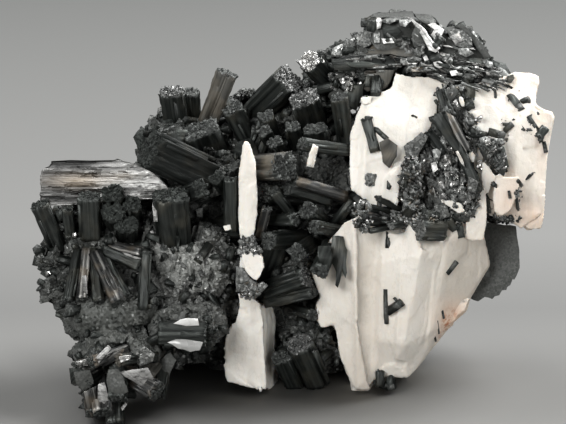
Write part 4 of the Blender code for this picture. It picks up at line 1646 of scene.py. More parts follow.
PRISMS = {
    # The left wing, from its silver prism down to the foot that it stands on.
    "left_end_prism": [Crystal((7.9, 44.0, 12.0), (12.0, 34.4, 7.0), 3.6, 3.2, end=Finish.COAL)],
    "left_short_prism": [Crystal((13.4, 43.2, 13.0), (14.6, 35.2, 9.0), 2.2, 2.0, end=Finish.COAL)],
    "left_post_prism": [Crystal((17.8, 45.6, 15.5), (18.2, 37.4, 11.0), 4.5, 3.8, end=Finish.COAL)],
    "rosette_knobs": [
        Crystal((22.4, 46.2, 15.0), (23.2, 43.6, 8.0), 4.2, 3.8, end=Finish.COAL, grain=0.8),
        Crystal((22.6, 42.4, 16.0), (23.4, 40.0, 9.0), 4.4, 4.0, end=Finish.COAL, grain=0.8),
        Crystal((26.2, 44.0, 14.5), (26.4, 41.0, 8.0), 4.0, 3.4, end=Finish.COAL, grain=0.8),
        Crystal((25.2, 40.0, 16.0), (25.2, 37.6, 9.0), 4.8, 3.4, end=Finish.COAL, grain=0.8),
    ],
    "fan_of_prisms": [
        Crystal((13.6, 24.4, 17.0), (15.6, 34.8, 12.0), 2.4, 2.0),
        Crystal((16.2, 24.8, 19.0), (17.2, 34.8, 13.0), 2.0, 1.8, Finish.STREAKED, squareness=0.3),
        Crystal((19.6, 24.4, 18.5), (18.4, 34.8, 12.5), 2.4, 2.0),
        Crystal((23.8, 24.4, 20.0), (19.2, 34.2, 14.0), 3.0, 2.4, Finish.STREAKED, squareness=0.3),
        Crystal((25.4, 25.4, 17.5), (20.4, 34.8, 12.5), 2.2, 2.0),
        Crystal((28.2, 31.6, 16.5), (20.6, 34.8, 13.0), 2.6, 2.2),
        Crystal((28.4, 34.2, 15.5), (20.6, 36.0, 11.0), 2.4, 2.2, Finish.STREAKED),
    ],
    "wing_upright_prism": [Crystal((29.2, 34.4, 17.0), (28.6, 22.8, 17.0), 2.3, 2.2)],
    "stout_prism": [Crystal((34.0, 45.8, 16.0), (35.0, 36.4, 10.0), 6.8, 5.2, end=Finish.COAL)],
    "wing_low_prism": [Crystal((41.0, 18.0, 18.0), (31.6, 18.2, 18.5), 5.2, 4.6)],
    "foot_flat_prism": [Crystal((18.2, 12.4, 24.0), (25.4, 15.2, 18.0), 2.6, 2.2, finish=Finish.STREAKED)],
    "foot_tawny_prism": [Crystal((23.8, 12.8, 24.0), (31.2, 13.4, 17.0), 2.6, 2.2, end=Finish.BROWN)],
    "foot_cluster": [
        Crystal((31.4, 6.4, 22.0), (24.8, 10.4, 18.0), 4.2, 3.2, finish=Finish.STREAKED),
        Crystal((23.4, 4.8, 23.0), (23.6, 11.6, 20.0), 4.0, 3.0),
        Crystal((15.6, 10.8, 22.0), (20.0, 12.4, 17.0), 3.6, 3.0, finish=Finish.STREAKED),
        Crystal((16.8, 7.8, 22.0), (20.0, 10.4, 17.0), 3.2, 3.0),
        Crystal((20.8, 2.2, 22.4), (19.8, 9.0, 18.0), 4.0, 3.2, finish=Finish.STREAKED),
        Crystal((18.6, 2.0, 21.4), (17.6, 8.6, 17.0), 3.0, 2.6, finish=Finish.STREAKED),
        Crystal((23.0, -0.2, 20.6), (22.8, 7.0, 17.0), 3.8, 3.2),
    ],
    "wing_back_prism": [Crystal((31.6, 5.6, 16.5), (33.6, 15.0, 11.0), 2.8, 2.6)],
    # The upper left, behind the wing.
    "wedge_prism": [Crystal((30.0, 55.0, 14.0), (41.4, 49.6, 6.0), 7.6, 6.4, Finish.DIM, Finish.COAL)],
    "back_left_prism": [Crystal((34.3, 66.6, 1.0), (36.0, 54.4, -6.0), 4.8, 4.4, end=Finish.GLITTER)],
    "back_second_prism": [Crystal((38.2, 66.4, -1.0), (38.8, 58.8, -7.0), 3.2, 3.2)],
    "tall_prism": [Crystal((45.6, 70.2, 1.0), (41.6, 60.2, -2.0), 4.4, 3.6, finish=Finish.BROWN)],
    "notched_prism": [Crystal((40.0, 59.0, 5.5), (43.0, 51.6, -3.0), 7.4, 4.2)],
    "lower_end_prism": [Crystal((43.2, 49.4, 13.0), (46.0, 45.8, 5.0), 3.2, 2.8, end=Finish.COAL)],
    "dark_end_prism": [Crystal((40.2, 47.2, 15.0), (34.8, 45.0, 7.0), 3.6, 3.4, end=Finish.COAL)],
    "upright_prism": [Crystal((46.0, 49.2, 13.0), (46.2, 38.6, 10.0), 2.9, 2.4, end=Finish.COAL)],
    # The crown, from the spire to the upper barite plate.
    "leaning_prism": [Crystal((46.4, 63.2, 4.0), (51.6, 53.2, -3.0), 4.0, 3.6)],
    "crown_prism": [Crystal((57.8, 69.0, 3.0), (49.0, 60.4, -8.0), 6.0, 5.4, end=Finish.GLITTER)],
    "crown_front_prism": [Crystal((60.8, 65.2, 6.5), (63.4, 57.4, -4.0), 6.0, 4.2, end=Finish.GLITTER)],
    "bright_end_prism": [
        Crystal((61.8, 72.6, 2.0), (67.4, 66.6, -7.0), 4.6, 4.4, end=Finish.BRIGHT, grain=0.9)
    ],
    "small_end_prisms": [
        Crystal((53.2, 61.6, 6.0), (55.0, 56.4, -1.0), 3.2, 2.8),
        Crystal((52.8, 58.6, 8.0), (55.0, 55.2, 1.0), 2.8, 2.4),
        Crystal((55.0, 56.4, 10.0), (56.6, 53.4, 2.0), 3.4, 2.2),
    ],
    "split_end_prism": [Crystal((58.4, 59.6, 9.0), (59.6, 54.0, 0.0), 3.2, 2.4)],
    "flat_end_prism": [Crystal((63.0, 59.2, 9.5), (63.8, 54.0, 1.0), 4.8, 2.2)],
    "crossbar_prism": [Crystal((60.2, 56.0, 13.0), (69.4, 54.8, 8.0), 2.7, 2.6)],
    "hexagonal_prism": [Crystal((56.8, 51.4, 16.0), (50.4, 51.2, 4.0), 5.6, 5.4, Finish.BROWN)],
    "streaked_prisms": [
        Crystal((58.8, 48.4, 14.6), (69.0, 45.4, 9.0), 2.6, 2.6, Finish.STREAKED),
        Crystal((57.4, 47.0, 14.0), (66.0, 44.6, 9.0), 2.4, 2.4),
    ],
    "slab_edge_prism": [Crystal((67.8, 65.4, 9.0), (69.4, 54.8, 2.0), 3.4, 3.0)],
    # The middle, between the spire and the lower barite lobe.
    "dark_centre_prisms": [
        Crystal((52.9, 46.2, 12.0), (60.4, 45.6, 6.0), 3.8, 3.4),
        Crystal((54.6, 46.8, 13.0), (58.6, 41.4, 9.0), 2.4, 2.2),
    ],
    "spire_side_prism": [Crystal((53.4, 43.2, 15.0), (51.9, 37.4, 12.0), 2.0, 1.8, Finish.STREAKED)],
    "centre_upper_prism": [Crystal((59.2, 41.0, 15.0), (53.8, 40.6, 8.0), 2.6, 2.4)],
    "centre_lower_prisms": [
        Crystal((53.4, 36.6, 15.0), (60.8, 37.2, 6.0), 3.8, 3.4),
        Crystal((59.4, 34.2, 16.5), (62.0, 36.0, 6.0), 3.6, 3.4),
    ],
    "knob_prism": [Crystal((61.4, 42.8, 16.5), (64.2, 40.8, 7.0), 3.4, 3.2)],
    "knob_side_prism": [Crystal((62.6, 39.4, 16.5), (68.0, 38.6, 8.0), 2.6, 2.4)],
    "hanging_prism": [Crystal((63.8, 30.4, 17.0), (66.0, 36.0, 10.0), 3.4, 2.6)],
    "long_prism_pair": [
        Crystal((61.2, 29.4, 15.0), (53.2, 26.6, 9.0), 4.0, 3.6, end=Finish.GLITTER),
        Crystal((62.6, 26.6, 13.0), (53.2, 24.4, 8.0), 2.8, 2.8),
    ],
    "recess_upper_prism": [Crystal((62.4, 21.8, 10.0), (57.4, 23.4, 2.0), 2.4, 2.4)],
    "recess_large_prism": [Crystal((60.0, 16.2, 9.0), (63.4, 8.4, 1.0), 5.4, 5.0, end=Finish.GLITTER)],
    "recess_side_prism": [Crystal((56.2, 13.4, 7.0), (59.2, 6.6, 0.0), 3.8, 3.6)],
    # The dark band over the barite, and the block behind the lobe.
    "band_long_prism": [Crystal((95.6, 46.4, 12.0), (88.4, 63.2, 10.0), 2.2, 2.0)],
    "band_brown_prism": [Crystal((83.2, 52.4, 13.4), (81.8, 42.6, 11.0), 3.4, 3.0, Finish.BROWN)],
    "band_side_prisms": [
        Crystal((71.6, 43.8, 17.0), (78.4, 42.2, 10.0), 1.6, 1.6),
        Crystal((72.8, 42.0, 17.4), (79.6, 40.2, 10.0), 1.4, 1.4, Finish.STREAKED),
        Crystal((71.8, 40.2, 17.2), (78.6, 40.6, 10.5), 1.6, 1.5, end=Finish.GLITTER),
        Crystal((75.4, 45.2, 15.6), (80.6, 42.6, 10.0), 1.2, 1.2),
        Crystal((78.2, 39.4, 16.0), (83.2, 40.4, 10.0), 1.5, 1.4, end=Finish.GREY),
        Crystal((74.0, 38.6, 16.6), (79.0, 39.6, 11.0), 1.2, 1.1),
        Crystal((82.6, 43.4, 15.4), (79.4, 39.8, 10.0), 1.6, 1.3, end=Finish.GREY),
    ],
    "stout_end_prism": [
        Crystal((84.0, 38.8, 15.6), (88.6, 38.6, 12.6), 4.2, 3.4, end=Finish.GREY),
        Crystal((85.0, 42.0, 14.6), (88.4, 41.2, 11.0), 2.0, 1.8),
    ],
    "plate_face_prism": [Crystal((97.4, 56.0, 11.0), (100.2, 49.8, 4.0), 3.6, 2.6, Finish.SLATE)],
}

# The outline of the tabular block behind the lobe.
BLOCK_OUTLINE = (
    (96.8, 40.4), (100.0, 40.0), (103.2, 39.6), (103.6, 36.8), (104.0, 32.4), (104.0, 31.2),
    (103.4, 29.6), (102.9, 28.8), (102.6, 28.9), (102.2, 27.8), (101.5, 27.5), (101.2, 26.8),
    (100.4, 26.7), (99.8, 25.8), (98.9, 25.6), (98.4, 25.0), (97.7, 25.3), (97.0, 25.4), (95.6, 24.6),
    (94.8, 24.8), (94.0, 25.4), (95.2, 28.0), (96.4, 30.8), (96.8, 34.8),
)
BACK_BLOCK = Flake(BLOCK_OUTLINE, Finish.SLATE, 90.0, (0.0, -0.12), thick=6.0, tone=1.0)
BACK_CREASE = Flake(
    ((97.4, 36.0), (98.0, 30.0), (98.6, 25.2), (97.6, 25.6), (96.4, 28.0), (96.6, 34.0)),
    Finish.SLATE, 90.0, (0.35, 0.0), thick=2.0, tone=0.4,
)

# Small crystals that lie on the barite, from one end to the other.
STICKS = [
    Stick((73.2, 61.0), (75.0, 54.4), 2.2),
    Stick((75.0, 59.2), (77.4, 57.0), 1.0),
    Stick((82.4, 61.8), (83.4, 61.2), 0.5),
    Stick((69.8, 49.2), (74.4, 48.8), 2.8, Finish.GREY),
    Stick((77.8, 47.8), (82.0, 47.4), 1.6),
    Stick((75.9, 45.6), (75.9, 43.4), 0.9),
    Stick((89.4, 30.2), (91.2, 32.4), 1.0),
    Stick((77.2, 26.6), (77.3, 20.4), 1.0),
    Stick((77.6, 22.6), (80.2, 24.2), 1.6),
    Stick((78.8, 25.2), (79.4, 24.6), 0.6),
    Stick((76.0, 10.8), (76.0, 7.4), 1.8),
    Stick((78.0, 9.6), (78.4, 7.0), 1.6),
    Stick((74.8, 8.4), (77.6, 7.4), 1.4),
    Stick((77.6, 38.4), (77.5, 35.4), 1.0),
    Stick((87.4, 20.6), (87.7, 18.2), 0.5),
    Stick((88.4, 22.6), (88.7, 21.2), 0.5),
    Stick((86.9, 17.4), (87.2, 16.6), 0.4),
    Stick((89.6, 41.0), (90.8, 38.8), 1.8),
    Stick((90.2, 41.2), (93.6, 41.2), 1.4),
    Stick((91.6, 39.8), (92.2, 37.2), 1.8),
    Stick((98.8, 67.8), (99.0, 65.2), 0.7),
    Stick((101.2, 67.6), (101.6, 67.4), 0.7),
    Stick((102.0, 65.8), (104.2, 62.8), 1.5),
    Stick((104.2, 64.2), (105.8, 65.0), 1.5),
    Stick((100.6, 60.0), (102.0, 59.9), 0.6),
    Stick((102.8, 61.0), (104.6, 58.6), 1.0),
    Stick((103.6, 58.8), (107.6, 58.8), 0.8),
    Stick((105.6, 61.4), (107.2, 59.0), 1.1),
    Stick((105.6, 61.2), (107.6, 62.2), 0.8),
    Stick((107.4, 57.0), (109.0, 59.2), 2.0),
    Stick((108.8, 56.4), (109.2, 54.4), 0.8),
    Stick((103.6, 51.4), (103.8, 50.2), 0.9),
    Stick((105.0, 49.0), (106.6, 50.4), 1.0),
    Stick((93.6, 58.4), (97.2, 57.6), 1.8),
    Stick((97.8, 58.4), (100.8, 57.6), 1.6),
    Stick((100.8, 58.6), (102.4, 60.0), 1.2),
    Stick((97.3, 46.2), (97.9, 42.4), 0.7),
    Stick((103.2, 46.2), (103.6, 42.6), 0.6),
    Stick((97.2, 41.4), (100.6, 40.7), 0.9),
    Stick((103.6, 48.6), (104.4, 47.6), 0.8),
    Stick((98.2, 48.6), (99.0, 47.6), 1.0),
    Stick((101.8, 46.6), (102.0, 45.2), 0.5),
    # The dark band that crosses the upper barite.
    Stick((88.2, 66.4), (89.4, 62.6), 2.2, lift=0.6),
    Stick((92.4, 67.6), (93.8, 63.4), 2.6, lift=0.6),
    Stick((90.6, 64.6), (91.6, 62.8), 1.2, Finish.BRIGHT, lift=0.8),
    Stick((92.6, 62.8), (94.2, 60.0), 2.0, Finish.GREY, lift=0.6),
    Stick((86.8, 61.6), (90.0, 57.4), 2.0, lift=0.5),
    Stick((88.4, 61.8), (92.8, 54.0), 1.8, lift=0.6),
    Stick((90.2, 61.0), (93.8, 54.6), 1.4, lift=0.8),
    Stick((85.6, 58.6), (88.8, 54.0), 1.8, lift=0.5),
    # The striated edge of the crust, and the upright crystals under it.
    Stick((66.4, 72.0), (79.6, 72.4), 1.4, lift=0.6),
    Stick((67.4, 70.8), (78.0, 71.0), 1.6, lift=0.5),
    Stick((73.0, 69.8), (73.2, 66.4), 2.0, lift=0.4),
    Stick((75.2, 69.8), (75.2, 66.0), 2.2, lift=0.5),
    Stick((77.2, 69.6), (77.0, 67.0), 1.8, lift=0.4),
    Stick((83.8, 79.4), (87.6, 74.0), 0.9, Finish.BRIGHT, lift=0.6),
    Stick((85.6, 79.2), (88.6, 76.8), 1.0, Finish.GREY, lift=0.6),
]

FLAKES = [
    # The broken crystals of the foot.
    Flake(
        ((24.0, 10.4), (26.4, 10.8), (29.6, 11.2), (30.4, 9.6), (31.8, 7.2), (30.6, 5.0), (29.2, 6.4),
        (27.2, 8.2), (25.0, 9.4)), Finish.SILVER, -38.0, (-0.20, 0.40), 0.8, 1.4,
    ),
    Flake(
        ((21.6, 10.8), (23.6, 11.0), (24.8, 9.2), (25.6, 6.4), (24.0, 5.6), (22.0, 6.4), (21.2, 8.4)),
        Finish.SLATE, 80.0, (0.10, 0.20), 0.8, 1.4,
    ),
    Flake(
        ((19.6, 8.0), (20.8, 8.4), (21.8, 5.6), (22.0, 3.4), (20.6, 2.8), (19.6, 5.2)), Finish.SILVER,
        -75.0, (0.10, 0.30), 0.8, 1.4,
    ),
    Flake(
        ((16.6, 6.4), (19.2, 7.6), (19.8, 2.8), (18.4, 1.2), (17.2, 3.2)), Finish.STREAKED, -78.0,
        (-0.40, 0.20), 0.6, 1.4,
    ),
    Flake(
        ((18.2, 12.4), (21.6, 15.8), (22.2, 15.2), (19.8, 12.2)), Finish.SILVER, 42.0, (-0.20, 0.30), 0.7,
        1.4,
    ),
    Flake(
        ((19.0, 11.4), (22.4, 14.2), (24.8, 15.2), (24.2, 13.2), (21.2, 11.6)), Finish.STREAKED, 38.0,
        (0.20, 0.30), 0.7, 1.4,
    ),
    Flake(
        ((14.8, 12.4), (17.2, 13.0), (18.0, 11.8), (15.8, 11.2)), Finish.BRIGHT, 0.0, (-0.30, 0.50), 0.5,
        1.4,
    ),
    Flake(
        ((29.6, 17.8), (30.8, 18.4), (31.8, 17.4), (30.6, 16.6)), Finish.BRIGHT, 0.0, (0.00, 0.30), 1.2,
        1.4,
    ),
    Flake(
        ((23.8, 13.4), (26.2, 13.8), (25.8, 12.8), (24.2, 12.2)), Finish.BRIGHT, 0.0, (0.00, 0.30), 1.0,
        1.4,
    ),
    Flake(
        ((26.4, 14.8), (29.0, 15.6), (31.0, 14.0), (30.6, 12.4), (28.0, 11.6), (26.6, 12.8)), Finish.GREY,
        0.0, (0.10, 0.30), 0.9, 1.4,
    ),
    Flake(
        ((23.6, 2.2), (25.0, 4.4), (25.4, 4.0), (24.0, 1.8)), Finish.SILVER, 50.0, (0.30, 0.20), 0.6, 1.4,
    ),
    Flake(
        ((31.6, 12.4), (34.0, 14.4), (35.2, 12.8), (33.6, 8.8), (32.0, 9.2)), Finish.SLATE, 60.0,
        (0.30, 0.10), 0.8, 1.4,
    ),
    Flake(((33.0, 7.2), (34.4, 7.4), (34.6, 5.6), (33.4, 5.6)), Finish.GREY, 0.0, (0.00, 0.20), 0.6, 1.4),
    Flake(
        ((14.8, 10.4), (18.0, 10.8), (18.8, 8.0), (16.8, 6.4), (15.2, 8.0)), Finish.SLATE, 0.0,
        (-0.30, 0.30), 0.7, 1.4,
    ),
    # The two lenses beside the low crystal of the wing: a pale sheet painted as a glint, and a grey one
    # painted as a sheen.
    Flake(
        ((34.6, 20.0), (36.0, 20.8), (38.0, 21.2), (39.6, 21.0), (39.8, 19.8), (37.2, 19.6)),
        Finish.PAINTED_GLINT, 0.0, (0.00, 0.50), 0.6, 1.4,
    ),
    Flake(
        ((33.4, 16.4), (35.2, 17.0), (38.0, 16.8), (40.6, 16.4), (40.0, 14.8), (38.0, 14.4),
        (35.6, 15.2)), Finish.PAINTED_SHEEN, 0.0, (0.00, -0.10), 0.4, 1.4,
    ),
    # The wing.
    Flake(
        ((16.4, 29.6), (17.2, 29.8), (17.6, 26.0), (16.8, 25.6)), Finish.SILVER, -85.0, (0.00, 0.20), 0.7,
        1.0,
    ),
    Flake(
        ((30.4, 44.2), (31.4, 44.0), (31.6, 40.4), (30.8, 40.4)), Finish.SILVER, -85.0, (-0.40, 0.00),
        0.4, 1.0,
    ),
    Flake(
        ((30.0, 38.6), (30.6, 38.8), (32.4, 35.2), (31.8, 34.8)), Finish.SILVER, -60.0, (0.00, 0.30), 1.2,
        1.0,
    ),
    Flake(
        ((24.6, 34.4), (28.2, 33.2), (28.4, 32.6), (25.2, 33.8)), Finish.SILVER, -20.0, (0.00, 0.40), 0.8,
        1.0,
    ),
    Flake(
        ((9.2, 30.4), (10.2, 30.8), (10.2, 29.8), (9.2, 29.6)), Finish.BRIGHT, 0.0, (-0.20, 0.40), 0.6,
        1.0,
    ),
    Flake(
        ((14.4, 38.2), (15.4, 38.2), (15.2, 37.2), (14.4, 37.4)), Finish.BRIGHT, 0.0, (0.00, 0.40), 0.9,
        1.0,
    ),
    Flake(
        ((39.0, 43.0), (40.6, 43.2), (40.4, 41.4), (39.4, 41.4)), Finish.PALE, 0.0, (0.00, 0.30), 1.0, 1.2,
    ),
    # The dark gap beside the upper barite plate.
    Flake(
        ((68.8, 67.6), (72.8, 68.0), (72.4, 65.2), (71.2, 62.8), (69.2, 63.6)), Finish.BLACK, 85.0,
        (0.00, 0.00), 0.0, 3.0, out=5.0,
    ),
    # The crust along the top: its blocks, then the facets on them.
    Flake(
        ((73.2, 78.0), (73.6, 80.6), (74.6, 82.2), (76.8, 82.6), (79.2, 82.6), (81.6, 83.0), (82.8, 83.2),
        (83.2, 80.0), (84.0, 76.0), (80.0, 74.4), (75.2, 74.8)), Finish.SLATE, 0.0, (0.00, -0.25), 0.0,
        3.6, out=1.6, tone=0.3,
    ),
    Flake(
        ((87.6, 73.6), (88.0, 79.0), (89.6, 79.4), (91.2, 79.6), (92.8, 79.6), (94.4, 78.0), (96.0, 76.0),
        (97.6, 73.6), (94.0, 71.6), (89.6, 71.6)), Finish.SLATE, 0.0, (0.00, -0.35), 0.0, 3.6, out=2.6,
        tone=0.5,
    ),
    Flake(
        ((66.2, 73.6), (66.6, 75.2), (68.0, 76.0), (69.4, 76.6), (70.8, 77.6), (72.4, 78.8), (73.6, 78.4),
        (74.4, 74.0), (70.4, 72.8)), Finish.GREY, 0.0, (0.00, -0.30), 0.0, 3.0, out=1.2, tone=0.2,
    ),
    Flake(
        ((66.2, 73.8), (66.6, 75.2), (68.4, 76.0), (69.2, 74.8), (68.4, 73.6)), Finish.PALE, 60.0,
        (-0.20, -0.30), 0.0, 1.6, out=2.4, tone=0.7,
    ),
    Flake(
        ((69.2, 75.0), (69.4, 76.6), (70.8, 77.4), (71.6, 76.0), (70.8, 74.8)), Finish.GREY, 0.0,
        (-0.30, -0.20), 0.0, 2.0, out=2.6, tone=0.9,
    ),
    Flake(
        ((71.4, 76.0), (71.2, 77.6), (72.6, 78.8), (74.2, 78.4), (74.2, 76.0), (72.8, 75.2)), Finish.GREY,
        0.0, (0.10, -0.30), 0.0, 2.4, out=2.8, tone=0.7,
    ),
    Flake(
        ((73.2, 78.8), (73.6, 80.6), (74.6, 82.2), (75.4, 82.2), (75.4, 79.6), (74.8, 78.2)),
        Finish.BLACK, 80.0, (-0.30, 0.00), 0.0, 2.0, out=2.6, tone=0.3,
    ),
    Flake(
        ((75.4, 82.2), (76.0, 82.4), (76.4, 80.8), (76.2, 79.2), (75.4, 79.0), (75.2, 80.8)),
        Finish.FROST, 85.0, (0.10, -0.20), 0.0, 1.6, out=3.0, tone=1.0,
    ),
    Flake(
        ((74.8, 78.2), (76.0, 78.4), (76.0, 76.2), (74.8, 76.2)), Finish.PALE, 90.0, (0.00, -0.40), 0.0,
        1.6, out=3.2, tone=1.0,
    ),
    Flake(
        ((76.4, 82.4), (79.2, 82.6), (80.4, 82.8), (80.8, 82.0), (79.6, 80.8), (78.0, 80.0),
        (76.4, 80.4)), Finish.GREY, 0.0, (0.00, -0.30), 0.0, 1.6, out=2.2, tone=0.4,
    ),
    Flake(
        ((79.8, 81.0), (80.8, 82.3), (82.0, 82.0), (82.2, 80.8), (81.2, 79.4), (80.0, 79.8)), Finish.PALE,
        0.0, (0.15, -0.30), 0.0, 1.4, out=3.4, tone=0.8,
    ),
    Flake(
        ((83.0, 82.8), (85.2, 82.9), (86.6, 82.0), (87.4, 80.4), (86.2, 79.8), (84.6, 80.4),
        (83.4, 81.2)), Finish.SLATE, 0.0, (0.20, -0.40), 0.0, 3.0, out=2.2, tone=0.5,
    ),
    Flake(
        ((76.4, 79.4), (79.6, 79.6), (80.4, 78.4), (79.2, 77.2), (76.8, 77.2)), Finish.BLACK, 10.0,
        (0.00, 0.20), 0.0, 2.0, out=3.6, tone=0.2,
    ),
    # A pale facet painted as a glint.
    Flake(
        ((76.4, 77.0), (78.4, 77.2), (78.8, 76.2), (76.8, 76.0)), Finish.PAINTED_GLINT, 0.0, (0.00, -0.40), 0.0,
        1.4, out=4.2, tone=1.0,
    ),
    Flake(
        ((73.6, 74.8), (74.6, 75.8), (76.8, 76.2), (80.2, 76.2), (82.8, 75.6), (84.0, 74.8), (83.6, 73.8),
        (81.0, 73.4), (78.2, 74.0), (75.6, 74.0), (73.6, 74.0)), Finish.BROWN, 0.0, (0.00, -0.70), 0.0,
        1.6, out=4.4, tone=0.9,
    ),
    Flake(
        ((80.2, 73.6), (81.6, 74.8), (83.6, 74.8), (84.4, 74.0), (83.6, 72.4), (81.6, 71.6),
        (80.0, 72.2)), Finish.PALE, 30.0, (0.10, -0.30), 0.0, 1.6, out=4.8, tone=0.7,
    ),
    Flake(
        ((66.2, 73.0), (70.0, 73.4), (73.6, 73.8), (76.8, 73.6), (79.6, 73.4), (80.2, 72.0), (79.2, 70.6),
        (74.4, 70.6), (70.0, 70.4), (66.8, 70.8)), Finish.BLACK, 2.0, (0.00, 0.10), 0.0, 2.4, out=4.0,
        tone=0.4,
    ),
    Flake(
        ((68.0, 73.4), (71.2, 73.8), (74.4, 74.2), (77.6, 73.8), (74.0, 72.8), (70.0, 72.6)),
        Finish.STREAKED, 2.0, (0.00, -0.30), 0.0, 1.4, out=4.6, tone=0.5,
    ),
    Flake(
        ((68.8, 72.2), (72.4, 72.4), (76.8, 72.0), (78.4, 71.6), (74.4, 71.2), (70.0, 71.4)),
        Finish.BLACK, 2.0, (0.00, -0.20), 0.0, 1.4, out=4.6, tone=1.0,
    ),
    Flake(
        ((72.8, 70.4), (75.2, 70.8), (78.8, 70.8), (78.2, 68.8), (77.4, 67.2), (76.0, 66.4), (75.2, 67.2),
        (73.6, 66.6), (72.4, 67.2), (73.0, 68.8)), Finish.BROWN, 88.0, (0.00, 0.00), 0.0, 2.4, out=4.2,
        tone=0.5,
    ),
    Flake(
        ((73.2, 70.2), (74.4, 70.4), (74.0, 67.6), (72.8, 67.4)), Finish.BLACK, 88.0, (0.00, 0.00), 0.0,
        1.4, out=4.7, tone=0.5,
    ),
    Flake(
        ((76.0, 70.4), (77.2, 70.6), (76.8, 68.0), (75.8, 67.0)), Finish.BLACK, 88.0, (0.00, 0.00), 0.0,
        1.4, out=4.6, tone=0.9,
    ),
    Flake(
        ((81.6, 82.2), (82.6, 81.4), (83.8, 80.2), (84.8, 79.2), (85.8, 77.6), (86.8, 76.2), (88.0, 75.2),
        (87.2, 74.2), (85.8, 74.8), (85.0, 76.4), (84.0, 78.2), (82.8, 80.2)), Finish.FROST, -52.0,
        (0.10, -0.30), 0.0, 1.6, out=4.6, tone=1.0,
    ),
    Flake(
        ((85.6, 80.0), (87.0, 80.2), (88.8, 78.8), (88.2, 77.4), (87.0, 76.8), (86.2, 77.8),
        (86.8, 78.8)), Finish.FROST, -40.0, (0.20, -0.40), 0.0, 1.6, out=4.2, tone=1.0,
    ),
    Flake(
        ((83.2, 79.6), (84.0, 78.8), (85.2, 76.0), (85.6, 74.4), (84.0, 74.0), (82.8, 76.0),
        (82.4, 78.0)), Finish.SLATE, -60.0, (-0.20, -0.10), 0.0, 1.6, out=4.0, tone=0.4,
    ),
    Flake(
        ((89.4, 78.4), (90.6, 79.0), (92.6, 78.8), (94.2, 77.2), (94.6, 75.6), (92.8, 75.0),
        (91.0, 75.8)), Finish.GREY, -30.0, (0.10, -0.35), 0.0, 1.6, out=3.6, tone=0.9,
    ),
    Flake(
        ((90.0, 77.6), (91.8, 78.2), (92.6, 76.6), (91.0, 76.0)), Finish.FROST, -35.0, (0.00, -0.30), 0.0,
        1.0, out=4.1, tone=0.5,
    ),
    Flake(
        ((91.0, 79.6), (92.8, 79.8), (94.8, 78.0), (96.4, 76.2), (98.2, 73.4), (96.8, 73.0), (95.4, 75.0),
        (94.0, 77.2), (92.6, 78.8)), Finish.SLATE, -55.0, (0.40, 0.00), 0.0, 3.0, out=3.4, tone=0.3,
    ),
    Flake(
        ((86.6, 72.4), (87.8, 72.6), (89.2, 71.6), (88.0, 71.2), (87.0, 71.6)), Finish.FROST, -20.0,
        (0.00, -0.40), 0.0, 1.2, out=7.6, tone=1.0,
    ),
    # A pale facet painted as a glint.
    Flake(
        ((89.8, 70.6), (91.2, 70.8), (91.8, 69.8), (90.4, 69.6)), Finish.PAINTED_GLINT, -20.0, (0.00, -0.40),
        0.0, 1.2, out=7.0, tone=1.0,
    ),
    Flake(
        ((94.0, 70.6), (94.9, 70.5), (96.6, 69.6), (95.7, 69.7)), Finish.FROST, -20.0, (0.00, -0.40), 0.0,
        1.2, out=5.4, tone=0.7,
    ),
    # A pale facet painted as a glint.
    Flake(
        ((84.6, 73.4), (85.4, 73.8), (85.8, 72.8), (85.0, 72.6)), Finish.PAINTED_GLINT, -20.0, (0.00, -0.40),
        0.0, 1.2, out=6.0, tone=1.0,
    ),
    Flake(
        ((88.5, 75.8), (89.7, 75.8), (90.7, 75.2), (89.3, 75.3)), Finish.FROST, -20.0, (0.00, -0.40), 0.0,
        1.2, out=4.6, tone=0.7,
    ),
    Flake(
        ((92.8, 75.8), (94.4, 75.3), (95.2, 74.8), (93.9, 75.1)), Finish.FROST, -20.0, (0.00, -0.40), 0.0,
        1.2, out=4.0, tone=0.7,
    ),
    Flake(
        ((91.6, 75.0), (93.6, 75.2), (94.8, 74.0), (93.2, 73.4), (91.8, 74.0)), Finish.PALE, -15.0,
        (0.00, -0.30), 0.0, 1.2, out=5.0, tone=0.7,
    ),
    Flake(
        ((84.0, 72.4), (86.4, 71.6), (87.6, 70.4), (84.8, 70.8)), Finish.PALE, -15.0, (0.00, -0.30), 0.0,
        1.2, out=7.0, tone=0.7,
    ),
    Flake(
        ((96.0, 73.2), (98.4, 72.4), (98.8, 71.2), (96.4, 71.6)), Finish.PALE, -15.0, (0.00, -0.30), 0.0,
        1.2, out=4.4, tone=0.7,
    ),
    Flake(
        ((92.0, 71.6), (93.4, 71.3), (94.6, 70.5), (93.0, 70.8)), Finish.PALE, -15.0, (0.00, -0.30), 0.0,
        1.2, out=6.2, tone=0.7,
    ),
    Flake(
        ((88.0, 74.4), (89.4, 74.0), (89.2, 72.8), (87.6, 73.2)), Finish.STREAKED, -15.0, (0.00, -0.30),
        0.0, 1.2, out=5.4, tone=0.7,
    ),
    Flake(
        ((85.6, 70.4), (87.6, 70.0), (89.2, 69.0), (86.4, 69.2)), Finish.PALE, -15.0, (0.00, -0.30), 0.0,
        1.2, out=7.0, tone=0.7,
    ),
    Flake(
        ((96.8, 71.2), (98.8, 70.8), (99.6, 69.6), (97.6, 69.6)), Finish.STREAKED, -15.0, (0.00, -0.30),
        0.0, 1.2, out=4.8, tone=0.7,
    ),
    Flake(
        ((99.2, 71.6), (101.2, 70.8), (102.0, 69.6), (100.0, 69.8)), Finish.PALE, -15.0, (0.00, -0.30),
        0.0, 1.2, out=4.0, tone=0.7,
    ),
    Flake(
        ((82.0, 71.6), (84.0, 71.2), (84.8, 70.4), (82.4, 70.4)), Finish.STREAKED, -15.0, (0.00, -0.30),
        0.0, 1.2, out=6.6, tone=0.7,
    ),
    Flake(
        ((89.2, 72.8), (91.6, 73.2), (92.8, 72.2), (90.4, 71.6)), Finish.BLACK, -12.0, (0.00, -0.20), 0.0,
        1.4, out=5.6, tone=0.6,
    ),
    Flake(
